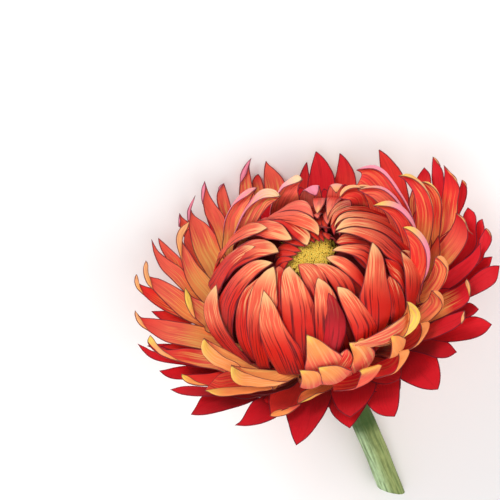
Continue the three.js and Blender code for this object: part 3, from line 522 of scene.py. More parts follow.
# Measured bracts: shell, label, widest width (mm), mid-line, curl of the left and right
# margins, cupped or not, tones of the inner face and of the back from base to tip.
BRACTS = [
    # Fi
    ('Fi', 'Fd11', 2.9, [(3.0, 4.0), (5.8, 15.0), (9.9, 14.0)], 0.0, 0.0, 0, 'DDE', 'CDI'),
    ('Fi', 'Fd13', 2.5, [(3.0, 11.0), (4.0, 39.0), (10.0, 22.0)], 0.0, 0.0, 0, 'DDE', 'CDI'),
    ('Fi', 'Fd14b', 2.5, [(4.0, 36.0), (4.3, 54.0), (9.1, 44.0)], 0.0, 0.0, 0, 'DDE', 'CDI'),
    ('Fi', 'Fd22', 2.5, [(5.0, 82.0), (5.5, 72.0), (8.8, 56.0)], 0.0, 0.0, 0, 'DDE', 'CDI'),
    ('Fi', 'Fd20', 3.2, [(5.0, 110.0), (7.9, 92.0), (10.8, 50.0)], 0.0, 0.0, 0, 'DDE', 'CDI'),
    ('Fi', 'Fd18', 3.6, [(4.2, 130.0), (7.5, 124.0), (10.8, 117.0)], 0.0, 0.0, 0, 'DDE', 'CDI'),
    ('Fi', 'Fd16', 3.6, [(4.0, 160.0), (6.9, 154.0), (10.8, 158.0)], 0.0, 0.0, 0, 'DDE', 'CDI'),
    ('Fi', 'Fd3', 4.3, [(4.1, -138.0), (7.0, -152.0), (10.2, -165.0)], 0.0, 0.0, 0, 'DDE', 'CDI'),
    ('Fi', 'Fd4', 3.2, [(5.8, -126.0), (7.7, -138.0), (10.8, -162.0)], 0.0, 0.0, 0, 'DDE', 'CDI'),
    ('Fi', 'Fd5', 4.3, [(6.7, -87.0), (8.7, -92.0), (10.8, -122.0)], 0.0, 0.0, 0, 'DDE', 'CDI'),
    ('Fi', 'Fd7', 3.6, [(5.8, -56.0), (7.7, -48.0), (10.8, -50.0)], 0.0, 0.0, 0, 'DDE', 'CDI'),
    ('Fi', 'Fd9', 2.7, [(6.1, -28.0), (7.9, -24.0), (10.8, -19.0)], 0.0, 0.0, 0, 'DDE', 'CDI'),
    # Fo
    ('Fo', 'Fd12', 2.5, [(3.0, 8.0), (5.2, 24.0), (10.1, 14.0)], 0.0, 0.0, 0, 'DDE', 'CDI'),
    ('Fo', 'Fd14', 2.5, [(4.0, 19.0), (4.8, 43.0), (9.6, 32.0)], 0.0, 0.0, 0, 'DDE', 'CDI'),
    ('Fo', 'Fd23', 2.3, [(5.1, 56.0), (7.1, 49.0), (9.8, 36.0)], 0.0, 0.0, 0, 'DDE', 'CDI'),
    ('Fo', 'Fd21', 2.7, [(5.1, 95.0), (6.9, 82.0), (9.9, 60.0)], 0.0, 0.0, 0, 'DDE', 'CDI'),
    ('Fo', 'Fd19', 3.6, [(4.0, 118.0), (9.0, 114.0), (10.6, 90.0)], 0.0, 0.0, 0, 'DDE', 'CDI'),
    ('Fo', 'Fd17', 3.2, [(4.0, 143.0), (4.9, 128.0), (8.0, 128.0)], 0.0, 0.0, 0, 'DDE', 'CDI'),
    ('Fo', 'Fd15', 3.4, [(3.0, 164.0), (5.0, 155.0), (7.7, 156.0)], 0.0, 0.0, 0, 'DDE', 'CDI'),
    ('Fo', 'Fd1', 4.7, [(3.2, -164.0), (5.7, -176.0), (9.7, -166.0)], 0.0, 0.0, 0, 'DDE', 'CDI'),
    ('Fo', 'Fd2', 3.6, [(3.1, -144.0), (6.0, -156.0), (9.6, -162.0)], 0.0, 0.0, 0, 'DDE', 'CDI'),
    ('Fo', 'E3', 6.5, [(4.4, -111.0), (6.7, -118.0), (10.6, -140.0)], 0.0, 0.0, 0, 'DDE', 'CDI'),
    ('Fo', 'Fd6', 4.0, [(5.8, -68.0), (8.1, -67.0), (10.6, -90.0)], 0.0, 0.0, 0, 'DDE', 'CDI'),
    ('Fo', 'E9', 3.6, [(2.7, -47.0), (4.1, -42.0), (5.5, -34.0)], 0.0, 0.0, 0, 'DDE', 'CDI'),
    ('Fo', 'Fd8', 3.1, [(6.4, -46.0), (8.0, -36.0), (10.6, -36.0)], 0.0, 0.0, 0, 'DDE', 'CDI'),
    ('Fo', 'E10', 3.2, [(3.5, -36.0), (4.8, -26.0), (5.9, -22.0)], 0.0, 0.0, 0, 'DDE', 'CDI'),
    ('Fo', 'Fd10', 4.0, [(4.0, -16.0), (6.5, -8.0), (10.2, 5.0)], 0.0, 0.0, 0, 'DDE', 'CDI'),
    # E
    ('E', 'E1', 4.3, [(2.2, -152.0), (3.6, -168.0), (4.9, -190.0)], 0.0, 0.0, 0, 'DDE', 'CDI'),
    ('E', 'E2', 6.8, [(2.6, -120.0), (5.1, -128.0), (7.3, -147.0)], 0.0, 0.0, 0, 'DDE', 'CDE'),
    ('E', 'E4', 4.3, [(4.7, -98.0), (6.5, -96.0), (8.8, -88.0)], 0.0, 0.0, 0, 'DDE', 'CDI'),
    ('E', 'E5', 5.0, [(3.7, -90.0), (5.5, -86.0), (7.3, -83.0)], 0.0, 0.0, 0, 'DDE', 'BBC'),
    ('E', 'E6', 5.8, [(3.8, -75.0), (5.6, -72.0), (7.4, -76.0)], 0.0, 0.0, 0, 'DDE', 'CDI'),
    ('E', 'E7', 5.9, [(3.9, -63.0), (5.7, -47.0), (6.8, -12.0)], 0.0, 0.0, 0, 'DDE', 'CDI'),
    ('E', 'E8', 4.0, [(3.2, -40.0), (3.8, -25.0), (4.9, -12.0)], 0.0, 0.0, 0, 'DDE', 'CDI'),
    # C2
    ('C2', 'T58', 3.1, [(18.89, 3.25, 6.0), (18.91, 6.37, 10.5), (16.78, 8.8, 12.8), (12.73, 10.28, 12.5)], 0.0, 1.6, 0, 'EEE', 'EHH'),
    ('C2', 'T66b', 2.5, [(11.67, 11.39, 7.0), (13.02, 11.27, 10.0), (14.38, 10.32, 12.2), (16.44, 9.62, 12.0)], 0.0, 0.0, 0, 'EEE', 'EHI'),
    ('C2', 'T66', 2.7, [(9.39, 12.86, 7.0), (10.12, 12.5, 10.0), (11.42, 12.24, 12.0), (14.61, 11.38, 12.0)], 0.0, 0.0, 0, 'EEE', 'EHI'),
    ('C2', 'T65', 3.2, [(7.45, 15.01, 6.0), (7.83, 14.38, 9.5), (8.17, 14.04, 11.5), (10.22, 11.91, 13.0)], 0.0, 0.0, 0, 'EEE', 'EHI'),
    ('C2', 'T64', 2.9, [(4.31, 16.09, 6.0), (4.3, 15.8, 9.0), (4.01, 16.4, 10.5), (5.89, 14.34, 12.0)], 0.0, 0.0, 0, 'EEE', 'EHH'),
    ('C2', 'T63', 2.9, [(-4.5, 17.31, 4.0), (-2.42, 17.77, 8.0), (-0.16, 17.92, 10.5), (4.02, 18.32, 11.0)], 0.0, 0.0, 0, 'EEE', 'EHH'),
    ('C2', 'L4', 3.2, [(-11.54, 14.45, 4.5), (-8.66, 15.38, 9.0), (-5.33, 15.81, 11.8), (-0.49, 15.32, 12.0)], 0.0, 0.0, 1, 'FEE', 'EHH'),
    ('C2', 'F2', 4.3, [(-6.83, -20.33, 1.5), (-5.81, -20.54, 3.0), (-5.82, -20.32, 4.5), (-7.14, -19.71, 6.5)], 0.0, 0.0, 0, 'EDE', 'EFG'),
    ('C2', 'F1', 6.1, [(-2.91, -20.71, 3.5), (-2.81, -19.72, 5.5), (-3.17, -18.28, 7.5), (-3.83, -14.99, 9.5)], 0.0, 0.0, 0, 'EDE', 'EFG'),
    ('C2', 'F3', 5.0, [(-2.56, -21.41, 1.5), (-1.54, -21.61, 3.0), (-1.66, -21.51, 5.0), (-3.78, -20.64, 6.5)], 0.0, 0.0, 0, 'EDE', 'EFG'),
    ('C2', 'F13', 4.7, [(-0.98, -19.38, 3.0), (1.0, -19.93, 5.0), (2.47, -20.25, 7.0)], 0.0, 0.0, 0, 'EDE', 'DEF'),
    ('C2', 'F12', 3.2, [(1.23, -18.84, 3.0), (5.15, -19.22, 5.0), (9.75, -18.72, 6.5), (14.57, -16.91, 7.5)], 0.0, 0.0, 0, 'EDE', 'DFF'),
    ('C2', 'F4', 4.3, [(1.76, -20.45, 2.0), (3.97, -20.84, 4.0), (4.75, -20.55, 6.5), (2.91, -19.4, 9.0)], 0.0, 0.0, 0, 'EDE', 'EFG'),
    ('C2', 'T59', 3.2, [(19.37, -0.91, 6.0), (20.65, 0.78, 11.0), (19.02, 3.65, 13.4), (14.69, 5.57, 13.0)], 0.0, 1.5, 0, 'EEE', 'EHI'),
    # C1
    ('C1', 'T61', 2.9, [(21.75, 3.98, 2.5), (24.33, 6.44, 6.5), (23.95, 10.01, 9.5), (20.81, 13.07, 9.8)], 0.0, 0.0, 0, 'EEE', 'EIG'),
    ('C1', 'T7b', 3.6, [(18.93, 6.54, 5.0), (18.15, 10.99, 9.5), (16.98, 14.5, 11.5), (13.98, 16.56, 11.0)], 0.0, 1.4, 0, 'EEE', 'EHH'),
    ('C1', 'L3', 3.6, [(-13.69, 14.65, 3.0), (-11.68, 15.94, 7.5), (-9.08, 17.33, 11.0), (-3.98, 19.61, 11.0)], 0.0, 0.0, 1, 'FEE', 'EHH'),
    ('C1', 'L27', 3.4, [(-12.77, -16.6, 3.0), (-17.06, -14.24, 5.0), (-20.62, -11.62, 7.5), (-21.47, -8.32, 9.0)], 0.0, 0.0, 0, 'EDE', 'EFG'),
    ('C1', 'L28', 3.4, [(-9.23, -19.09, 3.0), (-12.99, -18.33, 4.0), (-16.76, -17.67, 6.0), (-18.29, -15.25, 8.0)], 0.0, 0.0, 0, 'EDE', 'EFG'),
    ('C1', 'F9', 4.0, [(1.45, -23.4, -0.5), (3.82, -23.12, 1.5), (5.01, -23.08, 3.5), (3.07, -23.86, 6.0)], 0.0, 0.0, 0, 'EDE', 'EFG'),
    ('C1', 'F8', 2.7, [(8.78, -22.9, 0.5), (10.87, -22.58, 2.0), (12.06, -22.54, 4.0), (10.74, -22.67, 6.0)], 0.0, 0.0, 0, 'EDE', 'EFG'),
    ('C1', 'F5', 3.4, [(8.98, -20.3, 2.0), (10.91, -20.33, 4.0), (11.86, -20.43, 6.0), (10.32, -20.39, 8.5)], 0.0, 0.0, 0, 'EDE', 'EFG'),
    ('C1', 'F7', 3.2, [(13.02, -19.62, 1.5), (15.28, -19.37, 3.0), (16.64, -18.66, 5.0), (16.17, -17.99, 6.5)], 0.0, 0.0, 0, 'EDE', 'EFG'),
    ('C1', 'F6', 3.4, [(12.55, -17.79, 2.5), (15.33, -18.18, 4.5), (16.67, -16.82, 7.5), (14.77, -14.31, 9.0)], 0.0, 0.0, 0, 'EDE', 'EFG'),
    ('C1', 'R22', 3.2, [(17.19, -14.33, 2.5), (20.26, -15.5, 5.0), (21.21, -15.29, 7.5), (19.94, -13.62, 8.5)], 0.0, 0.0, 0, 'EDE', 'EFG'),
    ('C1', 'R21', 3.2, [(18.88, -10.6, 2.5), (22.5, -10.7, 5.5), (23.9, -9.45, 8.0), (22.63, -7.03, 9.0)], 0.0, 0.0, 0, 'EDE', 'EFG'),
    ('C1', 'T60', 3.2, [(18.17, -7.85, 4.0), (20.82, -6.66, 8.0), (21.64, -4.27, 11.8), (20.14, -2.17, 13.0), (18.49, -0.89, 12.6)], 0.0, 0.0, 0, 'EEE', 'EIG'),
    # S4
    ('S4', 'R18', 3.6, [(20.8, 7.0), (22.8, 12.0), (24.8, 16.0)], 0.0, 0.0, 1, 'FFD', 'EFG'),
    ('S4', 'R17', 3.6, [(20.9, 14.0), (23.1, 21.0), (24.9, 24.0)], 0.0, 0.0, 1, 'FFD', 'EFG'),
    ('S4', 'H18', 4.4, [(20.0, 42.0), (22.0, 43.0), (24.0, 44.0)], 0.0, 0.0, 0, 'DCC', 'EEF'),
    ('S4', 'H17', 4.4, [(20.0, 60.0), (22.0, 61.0), (24.0, 62.0)], 0.0, 0.0, 0, 'DCC', 'EEF'),
    ('S4', 'H16', 4.4, [(20.0, 80.0), (22.0, 81.0), (24.0, 82.0)], 0.0, 0.0, 0, 'DCC', 'EEF'),
    ('S4', 'H15', 4.4, [(20.0, 98.0), (22.0, 99.0), (24.0, 100.0)], 0.0, 0.0, 0, 'DCC', 'EEF'),
    ('S4', 'L1', 4.7, [(21.6, 128.0), (25.8, 122.0), (29.2, 116.0)], 1.2, 0.0, 1, 'FEE', 'EHH'),
    ('S4', 'L12', 2.0, [(13.0, 168.0), (16.0, 168.0), (19.0, 168.0)], 0.6, 0.0, 1, 'FED', 'EFG'),
    ('S4', 'L15', 3.2, [(19.8, 174.0), (22.0, 164.0), (24.2, 155.0)], 1.7, 0.0, 1, 'FED', 'EFG'),
    ('S4', 'R4', 4.7, [(21.0, -45.0), (26.5, -38.0), (29.6, -35.0)], 0.0, 1.2, 0, 'FCB', 'EFG'),
    ('S4', 'R9', 2.9, [(30.5, -15.0), (32.5, -14.0), (33.2, -10.0)], 0.0, 0.0, 0, 'CBB', 'EFG'),
    ('S4', 'R19', 3.6, [(20.8, -4.0), (22.9, 2.0), (24.8, 7.0)], 0.0, 0.0, 1, 'FFD', 'EFG'),
    # S3
    ('S3', 'R14', 4.0, [(24.1, 11.0), (29.6, 16.0), (32.1, 25.0)], 0.0, 1.4, 1, 'FDC', 'EFG'),
    ('S3', 'T62', 2.5, [(22.0, 15.0), (26.5, 18.0), (29.0, 24.0)], 0.0, 0.0, 0, 'FED', 'EIG'),
    ('S3', 'H14', 4.6, [(20.0, 50.0), (22.0, 51.0), (24.0, 52.0)], 0.0, 0.0, 0, 'DCC', 'EEF'),
    ('S3', 'H13', 4.6, [(20.0, 70.0), (22.0, 71.0), (24.0, 72.0)], 0.0, 0.0, 0, 'DCC', 'EEF'),
    ('S3', 'H12', 4.6, [(20.0, 86.0), (22.0, 87.0), (24.0, 88.0)], 0.0, 0.0, 0, 'DCC', 'EEF'),
    ('S3', 'L6', 4.9, [(21.3, 134.0), (25.9, 126.0), (29.8, 120.0)], 1.0, 0.0, 1, 'FEE', 'EHH'),
    ('S3', 'L8', 4.0, [(21.9, 144.0), (26.1, 138.0), (28.4, 129.0)], 1.6, 0.0, 1, 'FEE', 'EFG'),
    ('S3', 'L17', 4.5, [(19.8, 178.0), (27.0, 176.0), (32.2, 172.0)], 1.9, 0.0, 1, 'FEC', 'EFG'),
    ('S3', 'L18', 4.0, [(20.0, -163.0), (25.0, -172.0), (30.3, -180.0)], 1.9, 0.0, 0, 'FEC', 'EFG'),
    ('S3', 'L25', 3.2, [(14.3, -132.0), (22.2, -144.0), (27.8, -150.0)], 1.9, 0.0, 0, 'FFE', 'EFG'),
    ('S3', 'B4', 2.7, [(17.9, -102.0), (19.8, -109.0), (22.6, -114.0)], 1.2, 1.2, 0, 'FFE', 'EFG'),
    ('S3', 'R5', 5.0, [(21.6, -32.0), (25.4, -23.0), (27.8, -17.0)], 0.0, 1.4, 0, 'FCB', 'EFG'),
    ('S3', 'R12', 5.4, [(21.1, -2.0), (26.9, 1.0), (28.8, 11.0)], 0.0, 1.5, 1, 'FDC', 'EFG'),
    # S2
    ('S2', 'R16', 3.8, [(23.9, 28.0), (28.0, 32.0), (30.9, 34.0)], 0.0, 0.0, 1, 'FED', 'EFG'),
    ('S2', 'H11', 4.6, [(20.0, 62.0), (22.0, 63.0), (24.0, 64.0)], 0.0, 0.0, 0, 'DCC', 'EEF'),
    ('S2', 'T1', 4.9, [(23.2, 74.0), (26.7, 73.0), (29.5, 74.0)], 0.0, 0.0, 0, 'DCC', 'EFG'),
    ('S2', 'L2', 3.1, [(25.6, 116.0), (27.9, 113.0), (29.6, 109.0)], 0.8, 0.0, 1, 'FED', 'EHH'),
    ('S2', 'L9', 3.6, [(22.2, 142.0), (25.2, 135.0), (26.7, 130.0)], 0.0, 0.0, 1, 'FEE', 'EFG'),
    ('S2', 'L11', 4.1, [(21.9, 156.0), (28.4, 146.0), (31.9, 142.0)], 0.0, 0.0, 1, 'FEE', 'EFG'),
    ('S2', 'L13', 4.1, [(20.6, 171.0), (26.6, 158.0), (31.6, 150.0)], 1.9, 0.0, 1, 'FED', 'EFG'),
    ('S2', 'L21', 2.3, [(22.0, -178.0), (26.3, -178.0), (29.6, -178.0)], 0.0, 0.0, 0, 'DBB', 'EFG'),
    ('S2', 'L19', 2.7, [(25.3, -168.0), (30.3, -174.0), (33.1, -178.0)], 0.0, 0.0, 0, 'DBB', 'EFG'),
    ('S2', 'L23', 2.9, [(20.9, -159.0), (25.5, -160.0), (28.4, -165.0)], 1.6, 0.0, 0, 'DBB', 'EFG'),
    ('S2', 'L24', 2.7, [(26.3, -149.0), (29.6, -156.0), (32.3, -159.0)], 0.0, 0.0, 0, 'DBB', 'EFG'),
    ('S2', 'B2', 5.0, [(16.1, -126.0), (21.3, -124.0), (25.3, -125.0)], 1.9, 0.0, 0, 'DDD', 'EFF'),
    ('S2', 'B6', 7.2, [(15.5, -84.0), (22.2, -90.0), (26.8, -92.0)], 0.0, 0.0, 0, 'BAB', 'EFG'),
    ('S2', 'H20', 5.0, [(20.0, -68.0), (22.0, -67.0), (24.0, -66.0)], 0.0, 0.0, 0, 'DCC', 'EEF'),
    ('S2', 'R1', 3.1, [(24.2, -46.0), (27.1, -46.0), (30.0, -46.0)], 0.0, 0.0, 0, 'BAA', 'EFG'),
    ('S2', 'H19', 5.0, [(20.0, -20.0), (23.0, -19.0), (25.5, -18.0)], 0.0, 0.0, 0, 'DCC', 'EEF'),
    ('S2', 'R8', 4.5, [(22.3, -10.0), (28.2, -6.0), (30.9, -4.0)], 0.0, 0.0, 0, 'CBB', 'EFG'),
    # S1
    ('S1', 'R11', 3.2, [(28.5, 2.0), (30.7, 6.0), (31.5, 13.0)], 0.0, 1.3, 0, 'DCC', 'EFG'),
    ('S1', 'R13', 2.9, [(29.1, 15.0), (31.9, 16.0), (33.4, 20.0)], 0.0, 1.3, 0, 'CBB', 'EFG'),
    ('S1', 'R15', 2.9, [(27.0, 23.0), (31.2, 28.0), (33.1, 34.0)], 0.0, 1.2, 0, 'DCC', 'EFG'),
    ('S1', 'T7a', 4.5, [(25.3, 40.0), (28.6, 46.0), (31.1, 52.0)], 0.9, 0.0, 0, 'EDD', 'EFG'),
    ('S1', 'T2', 4.1, [(24.8, 64.0), (27.2, 64.0), (29.8, 66.0)], 0.0, 0.0, 0, 'DDC', 'EFG'),
    ('S1', 'T3', 2.7, [(24.4, 81.0), (26.8, 80.0), (28.9, 78.0)], 0.0, 0.0, 0, 'DDC', 'EFG'),
    ('S1', 'T4', 4.3, [(24.0, 93.0), (27.6, 92.0), (30.3, 92.0)], 0.0, 0.0, 1, 'FED', 'EFG'),
    ('S1', 'T6', 2.7, [(27.1, 106.0), (29.7, 100.0), (31.3, 96.0)], 1.2, 0.0, 1, 'FED', 'EHH'),
    ('S1', 'L7', 3.1, [(25.0, 136.0), (28.3, 132.0), (31.1, 127.0)], 1.0, 0.0, 0, 'FED', 'EHH'),
    ('S1', 'L14', 3.4, [(23.1, 168.0), (29.5, 160.0), (32.9, 154.0)], 1.9, 0.0, 0, 'FEC', 'EFG'),
    ('S1', 'L22', 2.9, [(23.9, -164.0), (28.4, -167.0), (31.5, -170.0)], 0.0, 0.0, 0, 'DBB', 'EFG'),
    ('S1', 'L26', 3.8, [(21.0, -142.0), (27.8, -148.0), (32.5, -149.0)], 0.0, 0.0, 0, 'BAA', 'EFG'),
    ('S1', 'B1', 4.1, [(18.6, -126.0), (24.4, -132.0), (29.4, -136.0)], 0.0, 0.0, 0, 'CAB', 'EFG'),
    ('S1', 'B7', 5.9, [(18.8, -74.0), (25.2, -76.0), (30.0, -78.0)], 0.0, 0.0, 0, 'DCC', 'EFG'),
    ('S1', 'B8', 7.5, [(17.4, -48.0), (24.6, -57.0), (30.5, -60.0)], 0.0, 0.0, 0, 'DCC', 'EFG'),
    ('S1', 'R3', 2.7, [(25.2, -25.0), (28.0, -26.0), (30.0, -26.0)], 0.0, 0.0, 0, 'BAA', 'EFG'),
    ('S1', 'R6', 4.0, [(26.8, -17.0), (30.9, -16.0), (33.6, -13.0)], 0.0, 0.0, 0, 'CBB', 'EFG'),
    # S0
    ('S0', 'R10', 3.2, [(28.5, 2.0), (31.2, 4.0), (33.1, 8.0)], 0.0, 0.0, 0, 'CBB', 'EFG'),
    ('S0', 'H24', 4.2, [(20.0, 15.0), (24.0, 16.0), (27.5, 17.0)], 0.0, 0.0, 0, 'DCC', 'EEF'),
    ('S0', 'H10', 4.4, [(20.0, 30.0), (24.0, 31.0), (27.5, 32.0)], 0.0, 0.0, 0, 'DCC', 'EEF'),
    ('S0', 'H21', 4.4, [(20.0, 50.0), (22.0, 51.0), (24.0, 52.0)], 0.0, 0.0, 0, 'DCC', 'EEF'),
    ('S0', 'H22', 4.4, [(20.0, 66.0), (24.5, 65.0), (29.2, 65.0)], 0.0, 0.0, 0, 'DCC', 'EEF'),
    ('S0', 'H9', 4.4, [(20.0, 83.0), (22.0, 84.0), (24.0, 85.0)], 0.0, 0.0, 0, 'DCC', 'EEF'),
    ('S0', 'T5', 2.5, [(26.0, 99.0), (27.6, 99.0), (28.8, 97.0)], 0.0, 0.0, 0, 'FED', 'EFG'),
    ('S0', 'H23', 4.6, [(20.0, 115.0), (26.0, 116.0), (32.2, 116.0)], 0.0, 0.0, 0, 'DCC', 'EEF'),
    ('S0', 'L10', 2.7, [(27.1, 142.0), (30.1, 140.0), (32.3, 138.0)], 0.0, 0.0, 0, 'FED', 'EFG'),
    ('S0', 'H7', 4.4, [(20.0, 155.0), (24.0, 156.0), (27.5, 157.0)], 0.0, 0.0, 0, 'DCC', 'EEF'),
    ('S0', 'L16', 2.3, [(24.8, 166.0), (28.1, 164.0), (30.4, 164.0)], 0.0, 0.0, 0, 'EDC', 'EFG'),
    ('S0', 'L20', 1.8, [(24.8, -180.0), (28.9, -181.0), (31.8, -182.0)], 0.0, 0.0, 0, 'EDC', 'EFG'),
    ('S0', 'H6', 4.6, [(20.0, -168.0), (24.0, -167.0), (27.5, -166.0)], 0.0, 0.0, 0, 'DCC', 'EEF'),
    ('S0', 'H5', 4.6, [(20.0, -148.0), (23.4, -147.0), (26.5, -146.0)], 0.0, 0.0, 0, 'DCC', 'EEF'),
    ('S0', 'H4', 5.0, [(20.0, -128.0), (22.2, -127.0), (24.0, -126.0)], 0.0, 0.0, 0, 'DCC', 'EEF'),
    ('S0', 'B3', 6.8, [(14.3, -110.0), (23.7, -110.0), (29.4, -114.0)], 0.0, 0.0, 0, 'CBC', 'EFG'),
    ('S0', 'B5', 5.8, [(16.2, -90.0), (22.5, -93.0), (26.9, -94.0)], 0.0, 0.0, 0, 'BAB', 'EFG'),
    ('S0', 'H3', 5.0, [(20.0, -70.0), (22.0, -69.0), (24.0, -68.0)], 0.0, 0.0, 0, 'DCC', 'EEF'),
    ('S0', 'H2', 4.6, [(20.0, -50.0), (22.7, -49.0), (24.4, -48.0)], 0.0, 0.0, 0, 'DCC', 'EEF'),
    ('S0', 'R2', 4.5, [(20.8, -37.0), (27.4, -32.0), (32.8, -30.0)], 0.0, 0.0, 0, 'DCC', 'EFG'),
    ('S0', 'H1', 4.6, [(20.0, -20.0), (24.0, -19.0), (27.5, -18.0)], 0.0, 0.0, 0, 'DCC', 'EEF'),
    ('S0', 'R7', 2.7, [(27.8, -8.0), (30.9, -7.0), (32.4, -6.0)], 0.0, 0.0, 0, 'BAA', 'EFG'),
    # C1
    ('C1', 'T62', 2.5, [(24.58, 7.08, 1.5), (26.49, 8.76, 5.0), (26.18, 10.0, 7.5), (24.24, 11.64, 8.0)], 0.0, 0.0, 0, 'EEE', 'EIG'),
]

